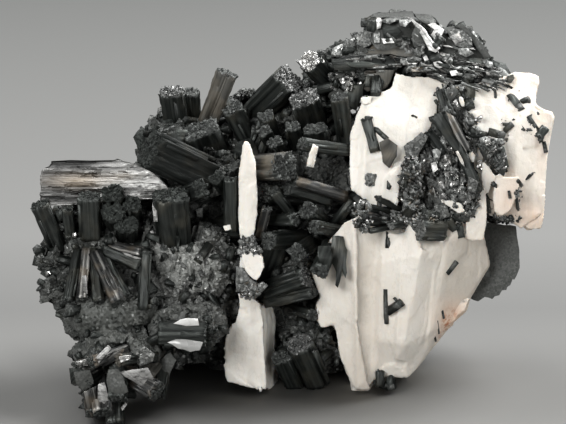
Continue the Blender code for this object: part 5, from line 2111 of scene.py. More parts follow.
        ((93.6, 73.2), (96.0, 73.2), (96.8, 72.0), (94.4, 71.6)), Finish.BLACK, -12.0, (0.00, -0.20), 0.0,
        1.4, out=4.8, tone=0.6,
    ),
    Flake(
        ((88.4, 71.2), (90.0, 71.4), (91.2, 70.8), (89.6, 70.2)), Finish.BLACK, -12.0, (0.00, -0.20), 0.0,
        1.4, out=6.4, tone=0.6,
    ),
    Flake(
        ((91.2, 69.6), (93.6, 70.0), (94.8, 69.0), (92.4, 68.6)), Finish.BLACK, -12.0, (0.00, -0.20), 0.0,
        1.4, out=5.6, tone=0.6,
    ),
    Flake(
        ((95.2, 71.6), (97.2, 70.8), (96.0, 70.0), (94.4, 70.8)), Finish.BLACK, -12.0, (0.00, -0.20), 0.0,
        1.4, out=5.2, tone=0.6,
    ),
    Flake(
        ((98.0, 73.2), (100.0, 72.0), (99.2, 71.2), (97.6, 72.0)), Finish.BLACK, -12.0, (0.00, -0.20),
        0.0, 1.4, out=3.6, tone=0.6,
    ),
    Flake(
        ((96.8, 69.2), (99.6, 69.2), (100.0, 68.0), (97.6, 68.0)), Finish.BLACK, -12.0, (0.00, -0.20),
        0.0, 1.4, out=5.0, tone=0.6,
    ),
    Flake(
        ((98.4, 68.8), (99.2, 68.8), (99.4, 67.2), (98.8, 65.0), (98.2, 65.4)), Finish.BLACK, 85.0,
        (0.00, 0.00), 0.8, 1.4,
    ),
    Flake(
        ((101.6, 69.8), (102.6, 70.0), (103.0, 69.2), (102.4, 68.4), (101.6, 68.6)), Finish.BROWN, 0.0,
        (0.00, 0.00), 0.0, 2.4, out=4.0, tone=1.0,
    ),
    Flake(
        ((67.8, 69.0), (68.8, 69.4), (69.2, 68.4), (68.2, 68.0)), Finish.BRIGHT, 0.0, (0.10, -0.30), 0.0,
        1.2, out=3.0, tone=1.0,
    ),
    Flake(
        ((69.0, 68.6), (70.0, 68.8), (70.6, 67.8), (69.4, 67.4)), Finish.BRIGHT, 0.0, (0.10, -0.30), 0.0,
        1.2, out=3.0, tone=1.0,
    ),
    Flake(
        ((68.6, 67.6), (69.4, 68.0), (69.8, 66.8), (68.8, 66.6)), Finish.BRIGHT, 0.0, (0.10, -0.30), 0.0,
        1.2, out=3.0, tone=1.0,
    ),
    Flake(
        ((71.4, 68.2), (72.2, 68.4), (72.4, 67.2), (71.6, 67.2)), Finish.BRIGHT, 0.0, (0.10, -0.30), 0.0,
        1.2, out=3.0, tone=1.0,
    ),
    Flake(
        ((69.8, 69.4), (70.4, 69.4), (70.4, 68.8), (69.8, 68.8)), Finish.BRIGHT, 0.0, (0.10, -0.30), 0.0,
        1.2, out=3.0, tone=1.0,
    ),
    # The grey piece between the blade and the foot, and the crystals that hang beside the lobe.
    Flake(
        ((47.2, 31.6), (48.6, 31.2), (50.0, 29.2), (51.6, 28.0), (52.6, 28.6), (53.6, 27.6), (52.6, 26.4),
        (51.2, 25.4), (49.4, 26.0), (47.2, 26.4)), Finish.GREY, 0.0, (0.00, 0.10), 0.0, 6.0, out=15.8,
        tone=0.3,
    ),
    Flake(
        ((66.6, 37.6), (68.6, 37.6), (69.4, 34.8), (69.2, 32.4), (69.4, 30.4), (69.0, 29.2), (68.4, 31.0),
        (68.0, 28.8), (67.6, 27.2), (67.0, 27.8), (67.2, 30.4), (66.4, 32.4), (66.0, 34.8)), Finish.BLACK,
        84.0, (0.00, 0.00), 1.4, 1.8, tone=0.2,
    ),
    Flake(
        ((63.6, 35.6), (66.0, 35.6), (66.6, 33.2), (66.0, 31.6), (65.2, 30.8), (64.4, 32.0),
        (63.6, 33.2)), Finish.BLACK, 70.0, (0.00, 0.00), 1.2, 1.8, tone=0.2,
    ),
    # The dark band: what fills its hollows, then its facets.
    Flake(
        ((84.8, 59.4), (87.0, 61.0), (89.4, 57.0), (90.0, 50.0), (88.0, 45.0), (84.2, 45.0),
        (83.4, 53.0)), Finish.END, 0.0, (0.00, 0.00), 0.0, 4.0, out=9.4, tone=1.0,
    ),
    Flake(
        ((88.0, 66.4), (92.6, 67.4), (93.6, 62.0), (91.0, 59.0), (87.4, 61.6)), Finish.END, 0.0,
        (0.00, 0.00), 0.0, 4.0, out=6.6, tone=1.0,
    ),
    Flake(
        ((86.4, 54.8), (87.4, 55.2), (88.2, 54.4), (87.8, 53.2), (86.8, 53.2)), Finish.PALE, 0.0,
        (0.00, -0.30), 0.0, 1.4, out=12.4, tone=1.0,
    ),
    Flake(
        ((86.2, 52.2), (87.2, 52.4), (87.6, 51.0), (86.6, 50.2)), Finish.FROST, 40.0, (0.00, -0.30), 0.0,
        1.4, out=12.0, tone=1.0,
    ),
    Flake(
        ((91.2, 54.4), (91.6, 54.6), (92.8, 52.4), (93.0, 51.4), (92.2, 52.2)), Finish.FROST, -60.0,
        (0.00, 0.00), 0.0, 1.4, out=13.4, tone=1.0,
    ),
    Flake(
        ((95.8, 57.2), (97.2, 57.6), (98.4, 56.8), (97.6, 55.8), (96.2, 56.0)), Finish.PALE, 0.0,
        (0.00, -0.30), 0.0, 1.4, out=10.0, tone=0.9,
    ),
    Flake(
        ((98.4, 57.2), (100.4, 57.0), (101.0, 56.2), (99.6, 55.4)), Finish.PALE, 0.0, (0.00, -0.30), 0.0,
        1.4, out=9.6, tone=0.9,
    ),
    Flake(
        ((80.8, 55.6), (82.4, 56.8), (84.2, 58.4), (85.6, 57.6), (84.2, 54.8), (83.2, 53.2),
        (81.2, 53.2)), Finish.GREY, 60.0, (0.00, 0.00), 1.0, 1.4, tone=0.4,
    ),
    Flake(
        ((87.6, 62.6), (88.2, 65.2), (89.6, 67.0), (91.2, 67.2), (92.0, 66.4), (90.4, 64.8),
        (89.2, 62.4)), Finish.SLATE, 60.0, (-0.20, 0.20), 1.0, 1.4,
    ),
    Flake(
        ((92.2, 68.0), (95.2, 68.0), (95.0, 64.8), (93.2, 64.0), (92.4, 65.2)), Finish.BLACK, 85.0,
        (0.10, 0.20), 1.0, 1.4,
    ),
    Flake(
        ((90.6, 65.4), (91.6, 65.8), (92.4, 63.4), (91.4, 63.0)), Finish.PALE, -75.0, (0.00, 0.20), 1.2,
        1.0,
    ),
    Flake(
        ((86.4, 61.2), (88.2, 62.4), (90.4, 58.8), (92.4, 55.2), (94.0, 52.0), (92.4, 52.8),
        (89.6, 56.4)), Finish.BLACK, -58.0, (0.20, 0.20), 1.2, 1.4,
    ),
    Flake(
        ((89.2, 62.4), (91.2, 61.2), (94.0, 55.2), (93.2, 54.4), (90.8, 58.0)), Finish.STREAKED, -62.0,
        (0.10, 0.10), 1.4, 1.4,
    ),
    Flake(
        ((98.0, 56.6), (100.8, 55.4), (101.6, 51.6), (100.8, 49.6), (99.4, 50.6), (98.6, 53.2)),
        Finish.BLACK, -65.0, (0.20, 0.10), 0.9, 1.4,
    ),
    Flake(
        ((80.8, 52.4), (82.4, 52.2), (83.6, 50.6), (83.0, 48.6), (81.8, 48.2), (81.0, 49.6)),
        Finish.BROWN, -70.0, (0.10, -0.10), 0.7, 1.4,
    ),
    Flake(
        ((75.8, 56.4), (77.4, 57.2), (79.4, 55.8), (79.4, 53.6), (77.8, 51.2), (76.6, 52.4),
        (76.2, 54.8)), Finish.BROWN, 60.0, (0.10, 0.10), 1.7, 1.6,
    ),
    Flake(
        ((88.0, 53.6), (89.8, 54.0), (90.4, 52.0), (88.6, 51.2)), Finish.BRIGHT, -20.0, (0.00, 0.30), 1.0,
        1.0,
    ),
    Flake(
        ((89.2, 50.8), (90.8, 50.0), (90.4, 48.4), (89.0, 49.2)), Finish.BRIGHT, -20.0, (0.00, 0.30), 1.0,
        1.0,
    ),
    Flake(
        ((95.6, 52.8), (96.8, 52.4), (96.4, 50.8), (95.2, 51.2)), Finish.BRIGHT, -20.0, (0.00, 0.30), 1.0,
        1.0,
    ),
    Flake(
        ((96.8, 56.8), (98.0, 57.2), (98.4, 56.0), (97.2, 55.6)), Finish.BRIGHT, -20.0, (0.00, 0.30), 1.0,
        1.0,
    ),
    Flake(
        ((85.2, 49.6), (87.6, 48.4), (88.0, 45.6), (86.0, 44.8)), Finish.GREY, 20.0, (0.00, 0.20), 0.9,
        1.2,
    ),
    Flake(
        ((82.0, 43.6), (84.8, 44.0), (85.6, 41.6), (82.8, 40.8)), Finish.GREY, 20.0, (0.00, 0.20), 0.9,
        1.2,
    ),
    Flake(
        ((90.4, 45.6), (93.2, 46.4), (94.0, 44.4), (91.6, 43.2)), Finish.GREY, 20.0, (0.00, 0.20), 0.9,
        1.2,
    ),
    Flake(
        ((86.8, 43.6), (89.2, 44.0), (90.0, 41.6), (87.6, 40.4)), Finish.GREY, 20.0, (0.00, 0.20), 0.9,
        1.2,
    ),
    Flake(
        ((93.6, 49.6), (95.6, 48.4), (95.2, 46.0), (93.6, 46.8)), Finish.GREY, 20.0, (0.00, 0.20), 0.9,
        1.2,
    ),
]

DRUSES = [
    # The dark band down to the stout prism.
    Druse(
        (91.0, 53.0), (3.2, 9.0), 260, (1.6, 4.2), (0.5, 1.3), (-0.45, 0.8, 0.3), 0.3, Finish.GREY, -24.0,
        0.14,
    ),
    Druse(
        (86.0, 50.0), (3.6, 7.5), 260, (1.2, 3.2), (0.5, 1.2), (-0.3, 0.8, 0.5), 0.5, Finish.GREY, -20.0,
        0.14,
    ),
    Druse(
        (92.4, 45.0), (3.4, 5.4), 190, (1.0, 3.2), (0.5, 1.4), (0.2, 0.6, 0.8), 0.5, Finish.GREY, 0.0, 0.1,
    ),
    Druse((90.6, 65.0), (3.4, 2.8), 70, (1.0, 2.4), (0.5, 1.2), (-0.4, 0.8, 0.5), 0.5),
    Druse((97.6, 56.8), (3.6, 1.4), 60, (0.8, 2.4), (0.5, 1.2), (0.6, 0.4, 0.7), 0.6),
    Druse((82.2, 47.6), (2.2, 5.6), 130, (0.8, 2.4), (0.4, 1.1), (-0.3, 0.8, 0.5), 0.6, over=True),
    Druse((82.2, 41.2), (5.6, 1.9), 120, (0.8, 2.4), (0.4, 1.0), (-0.6, 0.3, 0.7), 0.6, over=True),
    Druse(
        (72.6, 41.6), (1.9, 3.2), 80, (0.6, 1.6), (0.5, 1.1), (-0.3, 0.5, 0.8), 0.8, shine=0.15, over=True,
    ),
    # The dark seams around the front tile, and the specks on the right plate.
    Druse((97.5, 44.6), (0.6, 3.0), 40, (0.5, 1.3), (0.3, 0.8), (0.0, 0.6, 0.7), 0.6, Finish.GREY),
    Druse((103.5, 44.2), (0.6, 3.2), 44, (0.5, 1.3), (0.3, 0.8), (0.0, 0.6, 0.7), 0.6, turn=-8.0),
    Druse((100.4, 40.9), (3.4, 0.8), 60, (0.5, 1.4), (0.3, 0.9), (0.2, 0.4, 0.8), 0.6, over=True),
    Druse(
        (99.2, 53.4), (2.2, 3.2), 60, (0.5, 1.8), (0.3, 0.9), (0.4, 0.7, 0.5), 0.5, Finish.GREY, 0.0,
        0.12, True,
    ),
    Druse((102.6, 59.6), (5.0, 2.0), 34, (0.4, 1.2), (0.2, 0.5), (0.7, 0.3, 0.5), 0.7),
    Druse((103.4, 65.6), (2.4, 1.8), 12, (0.4, 1.2), (0.2, 0.5), (0.7, 0.3, 0.5), 0.7),
    Druse((106.8, 58.6), (1.6, 2.4), 20, (0.4, 1.2), (0.2, 0.6), (0.3, 0.6, 0.5), 0.7),
    # The crust along the top.
    Druse(
        (92.6, 70.2), (9.0, 2.8), 120, (1.4, 4.0), (0.3, 0.8), (1.0, -0.3, 0.1), 0.2, turn=-10.0,
        shine=0.1, over=True,
    ),
    Druse(
        (84.0, 75.0), (9.0, 4.0), 34, (0.8, 2.8), (0.4, 1.1), (0.9, -0.5, 0.3), 0.5, shine=0.08, over=True,
    ),
    Druse((76.4, 71.6), (9.0, 2.2), 34, (1.2, 4.0), (0.3, 0.8), (1.0, 0.0, 0.05), 0.15, over=True),
    Druse((68.6, 68.6), (3.0, 2.4), 60, (0.8, 2.0), (0.6, 1.3), (-0.2, 0.7, 0.7), 0.8, shine=0.3),
    # The granular ledge across the spire.
    Druse((49.8, 35.4), (2.8, 1.9), 110, (0.6, 1.4), (0.7, 1.4), (0.0, 0.6, 1.0), 0.8, Finish.PALE),
    Druse((49.8, 27.0), (2.0, 2.0), 70, (0.6, 1.4), (0.7, 1.4), (0.0, 0.4, 1.0), 0.8, Finish.GREY),
]


@dataclass(frozen=True)
class Ridge:
    """A crease on a barite face: its ends, how far it stands out, and its two sides' widths."""

    start: Pair
    end: Pair
    height: float
    left: float
    right: float


@dataclass(frozen=True)
class Patch:
    """A tinted place on the barite: its middle, its half sizes, and how strong it is."""

    middle: Pair
    half: Pair
    strength: float


LOBE_RIDGES = [
    Ridge((84.2, 38.0), (81.0, 12.0), -1.1, 6.0, 6.0),
    Ridge((76.6, 40.0), (75.2, 12.0), 0.7, 1.0, 4.5),
    Ridge((70.8, 38.0), (71.6, 8.0), 0.8, 0.9, 5.0),
    Ridge((90.0, 38.0), (86.4, 18.0), 0.5, 1.0, 4.0),
    Ridge((80.0, 30.0), (79.2, 14.0), 0.5, 0.5, 2.5),
    Ridge((87.0, 30.0), (85.6, 16.0), 0.35, 0.5, 2.5),
]

UPPER_RIDGES = [
    Ridge((77.6, 68.0), (76.4, 44.0), 0.7, 2.0, 5.0),
    Ridge((83.6, 68.0), (81.6, 50.0), 0.6, 1.0, 4.0),
    Ridge((73.6, 64.0), (72.4, 46.0), 0.5, 1.0, 3.0),
]

RIGHT_RIDGES = [
    Ridge((103.6, 70.0), (103.0, 42.0), 0.8, 2.4, 5.0),
    Ridge((98.6, 68.0), (98.2, 44.0), 0.6, 1.4, 4.0),
    Ridge((107.0, 64.0), (106.6, 42.0), 0.5, 1.0, 3.0),
]

PLATE_RIDGES = {
    "barite_upper_plate": UPPER_RIDGES,
    "barite_right_plate": RIGHT_RIDGES,
    "barite_foot": [Ridge((50.0, 24.0), (49.4, 8.0), 0.5, 3.0, 1.4)],
    "barite_spire": [Ridge((49.4, 56.0), (49.8, 30.0), 0.5, 1.6, 1.6)],
}

RUST = [
    Patch((89.4, 19.6), (0.9, 2.0), 1.4),
    Patch((90.6, 22.0), (1.2, 1.2), 0.7),
    Patch((88.2, 17.2), (0.8, 1.0), 0.7),
]
PEACH = [
    Patch((106.6, 41.4), (3.0, 3.0), 0.35),
    Patch((90.6, 21.0), (3.6, 4.0), 0.5),
    Patch((102.0, 45.0), (3.0, 5.0), 0.3),
    Patch((108.0, 58.0), (1.6, 10.0), 0.2),
    Patch((105.0, 68.4), (3.0, 2.0), 0.25),
]


class Carver:
    """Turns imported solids, and slabs of its own, into fine worn meshes."""

    def copied(self, node: str) -> bmesh.types.BMesh:
        """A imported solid's shape as one closed bmesh.

        Args:
            node: The solid's name.

        Returns:
            The shape.
        """
        bm = bmesh.new()
        bm.from_mesh(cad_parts[node].data)
        bmesh.ops.remove_doubles(bm, verts=list(bm.verts), dist=0.01 * MM)
        return bm

    def slab(self, outline: Iterable[Triple], thick: float) -> bmesh.types.BMesh:
        """A slab with an outline on the display face, thick millimetres deep.

        Args:
            outline: The corners of the slab's front.
            thick: How thick it is.

        Returns:
            The slab.
        """
        bm = bmesh.new()
        rim = [bm.verts.new(FACE.at(*corner)) for corner in outline]
        thickened(bm, bm.faces.new(rim), thick)
        return bm

    def remeshed(self, bm: bmesh.types.BMesh, voxel: float, smoothing: int) -> bpy.types.Mesh:
        """A shape built again from small even faces.

        Args:
            bm: The closed shape, which is used up.
            voxel: The size of the new faces in millimetres.
            smoothing: How many times its edges are softened.

        Returns:
            The new mesh.
        """
        rough = bpy.data.meshes.new("rough")
        bm.to_mesh(rough)
        bm.free()
        carrier = bpy.data.objects.new("carrier", rough)
        bpy.context.scene.collection.objects.link(carrier)
        remesh = carrier.modifiers.new("remesh", "REMESH")
        remesh.mode = "VOXEL"
        remesh.voxel_size = voxel * MM
        if smoothing:
            smooth = carrier.modifiers.new("smooth", "SMOOTH")
            smooth.factor = 0.5
            smooth.iterations = smoothing
        carrier.update_tag()
        seen = carrier.evaluated_get(bpy.context.evaluated_depsgraph_get())
        mesh = bpy.data.meshes.new_from_object(seen)
        bpy.data.objects.remove(carrier)
        bpy.data.meshes.remove(rough)
        return mesh


def facing_of(normals: np.ndarray) -> np.ndarray:
    """How much each normal points at the eye, from -1 to 1."""
    return normals @ np.array(FACE.sight())


def worn_size(size: float, rng: random.Random, middle: Pair, least: Pair) -> Triple:
    """The three sizes of a chip: its longest, and shares of it for the other two.

    Args:
        size: Its longest side, in millimetres.
        rng: The random order.
        middle: The least and the most share of its middle side.
        least: The least and the most share of its shortest side.

    Returns:
        The sizes in millimetres.
    """
    return size, size * rng.uniform(*middle), size * rng.uniform(*least)


def read_points(mesh: bpy.types.Mesh) -> np.ndarray:
    """The mesh's points, one row each.

    Args:
        mesh: The mesh.

    Returns:
        The points in metres.
    """
    points = np.empty(len(mesh.vertices) * 3)
    mesh.vertices.foreach_get("co", points)
    return points.reshape(-1, 3)


def read_normals(mesh: bpy.types.Mesh) -> np.ndarray:
    """The mesh's point normals, one row each.

    Args:
        mesh: The mesh.

    Returns:
        The normals.
    """
    normals = np.empty(len(mesh.vertices) * 3)
    mesh.vertex_normals.foreach_get("vector", normals)
    return normals.reshape(-1, 3)


def write_points(mesh: bpy.types.Mesh, points: np.ndarray) -> None:
    """Moves the mesh's points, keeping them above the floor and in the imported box.

    Args:
        mesh: The mesh.
        points: Where its points go, in metres, one row each.
    """
    low = np.array(CAD_BOX[0])
    high = np.array(CAD_BOX[1])
    held = np.clip(points, low, high)
    mesh.vertices.foreach_set("co", held.ravel())
    mesh.update()


def write_number(mesh: bpy.types.Mesh, name: str, values: np.ndarray) -> None:
    """Gives each point of the mesh a number that a material can read."""
    layer = mesh.attributes.new(name, "FLOAT", "POINT")
    layer.data.foreach_set("value", np.clip(values, 0.0, 1.0))


def rough_noise(points: np.ndarray, scale: float, offset: float = 0.0) -> np.ndarray:
    """Smooth noise at each point, from -1 to 1, with features of about scale millimetres."""
    spots = points / (scale * MM) + offset
    return np.array([noise.noise(Vector(spot)) for spot in spots])


def cell_noise(points: np.ndarray, scale: float) -> tuple[np.ndarray, np.ndarray]:
    """For each point, its cell's random number and how deep inside the cell it is.

    Args:
        points: The points in metres, one row each.
        scale: How far apart the cells are, in millimetres.

    Returns:
        The cells' numbers, from 0 to 1, and the depths.
    """
    heights = np.empty(len(points))
    depths = np.empty(len(points))
    for index, spot in enumerate(points / (scale * MM)):
        distances, middles = noise.voronoi(Vector(spot))
        heights[index] = noise.cell(middles[0] * 7.0)
        depths[index] = distances[1] - distances[0]
    return heights, depths


def spots_on(mesh: bpy.types.Mesh, count: int, rng: random.Random) -> list[tuple[Vector, Vector]]:
    """Random places on the mesh's surface above its base, each with its normal.

    Args:
        mesh: The mesh.
        count: How many places are tried.
        rng: The random order.

    Returns:
        The places in metres, and the normals there.
    """
    mesh.calc_loop_triangles()
    triangles = mesh.loop_triangles
    areas = [triangle.area for triangle in triangles]
    made: list[tuple[Vector, Vector]] = []
    for triangle in rng.choices(triangles, areas, k=count):
        corners = [mesh.vertices[index].co for index in triangle.vertices]
        one, two = sorted((rng.random(), rng.random()))
        point = corners[0] * one + corners[1] * (two - one) + corners[2] * (1.0 - two)
        if point.z > FOOTING[0] * MM:
            made.append((point, triangle.normal.copy()))
    return made


def in_place_order(spot: Iterable[float]) -> list[float]:
    """What places are sorted by: their parts, rounded to a micrometre."""
    return [round(part / MM, 3) for part in spot]


def spots_on_facets(
    mesh: bpy.types.Mesh, count: int, rng: random.Random
) -> list[tuple[Vector, Vector]]:
    """Random places on the flat faces of cut crystals, each with its normal.

    Cutting can leave the faces and their corners in another order each time, so both are put in
    order of place first.

    Args:
        mesh: The crystals.
        count: How many places are tried.
        rng: The random order.

    Returns:
        The places in metres, and the normals of the faces that they are on.
    """
    faces = sorted(mesh.polygons, key=lambda face: in_place_order(face.center))
    made: list[tuple[Vector, Vector]] = []
    for face in rng.choices(faces, [face.area for face in faces], k=count):
        corners = [mesh.vertices[index].co.copy() for index in face.vertices]
        corners.sort(key=in_place_order)
        aside = rng.choice(corners).lerp(rng.choice(corners), rng.random())
        point = face.center.lerp(aside, math.sqrt(rng.random()))
        made.append((point, face.normal.copy()))
    return made


def fits(point: Vector, spare: float) -> bool:
    """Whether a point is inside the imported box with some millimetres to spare.

    Args:
        point: The point in metres.
        spare: How much room it needs.

    Returns:
        Whether it is.
    """
    low, high = CAD_BOX
    inside = all(low[k] + spare * MM < point[k] < high[k] - spare * MM for k in range(2))
    return inside and (FOOTING[1] + spare) * MM < point.z < high[2] - spare * MM


def patched(places: np.ndarray, patches: Iterable[Patch]) -> np.ndarray:
    """How strong a tint is at each place on the display face.

    Args:
        places: The places, one row each.
        patches: Where the tint is.

    Returns:
        The strengths.
    """
    total = np.zeros(len(places))
    for patch in patches:
        offset = (places[:, :2] - np.array(patch.middle)) / np.array(patch.half)
        total += patch.strength * np.exp(-np.sum(offset**2, axis=1))
    return total


def past(across: np.ndarray, start: float, edge: float) -> np.ndarray:
    """How far places lie past the start of an edge, from 0 there to 1 at its end.

    Args:
        across: How far across the places are.
        start: Where the edge starts.
        edge: How wide it is.

    Returns:
        The shares.
    """
    return np.clip((across - start) / edge, 0.0, 1.0)


@dataclass(frozen=True)
class Barite:
    """The barite: plates, the lower lobe, the spire, the foot and the loose bits."""

    voxel: float = 0.36
    bit_voxel: float = 0.28
    rib: float = 6.0
    softness: tuple[int, int, int] = (2, 9, 3)
    wear: float = 0.14
    grain: float = 0.06
    step: float = 0.14
    chip: float = 3.4
    chip_levels: float = 3.0
    layer: float = 1.25
    inset: float = 0.9
    # Two large numbers that give each layer an inset which looks random.
    shuffle: Pair = (12.9898, 437.585)
    fade: float = 2.5
    # Where the lobe's beige tint begins and how wide its edge is, and how strong it is on its parts:
    # painted shade, with some of the barite's own beige.
    lobe_top: Pair = (46.0, 10.0)
    lobe_left: Pair = (58.0, 4.0)
    lobe_right: Pair = (84.0, 6.0)
    lobe_middle: Pair = (73.0, 2.8)
    lobe_beige_and_shade: Triple = (0.25, 0.45, 0.4)
    # Where the right plate's right part turns beige, and how strongly: painted shade, with some of the
    # barite's own beige.
    right_end: Pair = (96.0, 6.0)
    right_beige_and_shade: float = 0.32

    def build(self, specimen: Specimen, carver: Carver) -> None:
        """Builds every barite piece.

        Args:
            specimen: Where the pieces go.
            carver: What makes their meshes.
        """
        for node in sorted(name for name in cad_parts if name.startswith("barite")):
            if node in LOBE_NODES:
                continue
            mesh = carver.remeshed(carver.copied(node), self.voxel, self.softness[0])
            self.finish(mesh, PLATE_RIDGES.get(node, []))
            self.put(specimen, node + "_slab", mesh, (node,))
        whole = bmesh.new()
        for part in [*map(carver.copied, LOBE_NODES), carver.slab(LOBE_RIB, self.rib)]:
            piece = bpy.data.meshes.new("part")
            part.to_mesh(piece)
            part.free()
            whole.from_mesh(piece)
            bpy.data.meshes.remove(piece)
        mesh = carver.remeshed(whole, self.voxel, self.softness[1])
        self.finish(mesh, LOBE_RIDGES)
        self.put(specimen, "barite_lobe_slab", mesh, LOBE_NODES)
        for number, (outline, thick) in enumerate(BARITE_BITS):
            mesh = carver.remeshed(carver.slab(outline, thick), self.bit_voxel, self.softness[2])
            self.finish(mesh, [])
            self.put(specimen, f"barite_bit_{number}", mesh, ())

    def put(self, specimen: Specimen, name: str, mesh: bpy.types.Mesh, nodes: Iterable[str]) -> None:
        """Places a finished barite piece.

        Args:
            specimen: Where it goes.
            name: Its name.
            mesh: Its mesh.
            nodes: The solids that it replaces.
        """
        mesh.materials.append(specimen.finishes.cream)
        mesh.shade_smooth()
        specimen.place(name, mesh, "barite", nodes)

    def finish(self, mesh: bpy.types.Mesh, ridges: list[Ridge]) -> None:
        """Wears the surface, adds its creases, and tints it.

        Args:
            mesh: The piece's mesh.
            ridges: The creases on its face.
        """
        points = read_points(mesh)
        normals = read_normals(mesh)
        places = FACE.places_of(points)
        facing = np.clip(facing_of(normals) * 2.0 - 0.2, 0.0, 1.0)
        out = np.zeros(len(points))
        for ridge in ridges:
            out += self.raised(places, ridge)
        chips, _ = cell_noise(points * np.array((1.0, 1.0, 0.55)), self.chip)
        worn = self.wear * rough_noise(points, 5.0) + self.grain * rough_noise(points, 1.3, 9.0)
        worn += self.step * (np.floor(chips * self.chip_levels) / self.chip_levels - 0.4)
        side = np.clip(1.5 - 2.2 * np.abs(facing_of(normals)), 0.0, 1.0)
        level = np.floor(places[:, 2] / self.layer + 0.8 * rough_noise(points, 8.0, 5.0))
        inset = np.modf(np.abs(np.sin(level * self.shuffle[0]) * self.shuffle[1]))[0]
        worn -= side * self.inset * inset * (0.7 + 0.5 * rough_noise(points, 4.0, 2.0))
        moved = points + normals * (worn * MM)[:, None]
        moved += np.array(FACE.sight()) * (out * facing * MM)[:, None]
        base = points[:, 2] < BASE * MM
        moved[base] = points[base]
        write_points(mesh, moved)
        self.tint(mesh, places, np.clip(facing_of(normals) * 1.6 + 0.3, 0.0, 1.0))

    def raised(self, places: np.ndarray, ridge: Ridge) -> np.ndarray:
        """How far out a crease lifts each place, in millimetres.

        Args:
            places: The places, one row each.
            ridge: The crease.

        Returns:
            The heights.
        """
        start = np.array(ridge.start)
        along = np.array(ridge.end) - start
        length = np.linalg.norm(along)
        along /= length
        offset = places[:, :2] - start
        run = offset @ along
        # Positive to the right of a crease that runs down the face.
        aside = offset[:, 0] * -along[1] + offset[:, 1] * along[0]
        width = np.where(aside < 0.0, ridge.left, ridge.right)
        rise = np.clip(1.0 - np.abs(aside) / width, 0.0, 1.0)
        ends = np.clip(np.minimum(run, length - run) / self.fade + 1.0, 0.0, 1.0)
        return ridge.height * rise * ends

    def tint(self, mesh: bpy.types.Mesh, places: np.ndarray, seen: np.ndarray) -> None:
        """Gives the points their beige tint, which is painted shade with some of the barite's own beige,
        and their peach and rust.

        Args:
            mesh: The piece.
            places: Where its points are on the display face.
            seen: How much each point faces the front.
        """
        across, up = places[:, 0], places[:, 1]
        # The beige tint is painted shade, with some of the barite's own beige: low on the lobe, stronger
        # on its right side and its recessed middle stripe, and on the right plate's right part.
        top, top_edge = self.lobe_top
        low = np.clip((top - up) / top_edge, 0.0, 1.0) * past(across, *self.lobe_left)
        centre, spread = self.lobe_middle
        middle = np.exp(-(((across - centre - 0.05 * (up - 20.0)) / spread) ** 2))
        everywhere, far, near = self.lobe_beige_and_shade
        beige_and_shade = low * (everywhere + far * past(across, *self.lobe_right) + near * middle)
        beige_and_shade += self.right_beige_and_shade * past(across, *self.right_end)
        write_number(mesh, "beige_and_shade", beige_and_shade)
        write_number(mesh, "peach", patched(places, PEACH))
        write_number(mesh, "rust", patched(places, RUST) * seen)


LOBE_NODES = ("barite_lobe", "barite_lobe_blade")

# The rib that joins the lobe to its left blade.
LOBE_RIB = [
    (68.8, 40.4, 13.5), (71.6, 41.6, 13.6), (71.8, 30.0, 12.4), (71.6, 20.0, 9.8), (73.6, 8.6, 5.8),
    (74.4, 6.8, 5.2), (72.6, 6.5, 4.9), (70.6, 6.8, 4.9), (68.0, 13.0, 7.2), (66.8, 18.8, 9.0),
    (66.2, 24.0, 10.8), (66.8, 32.0, 12.6),
]

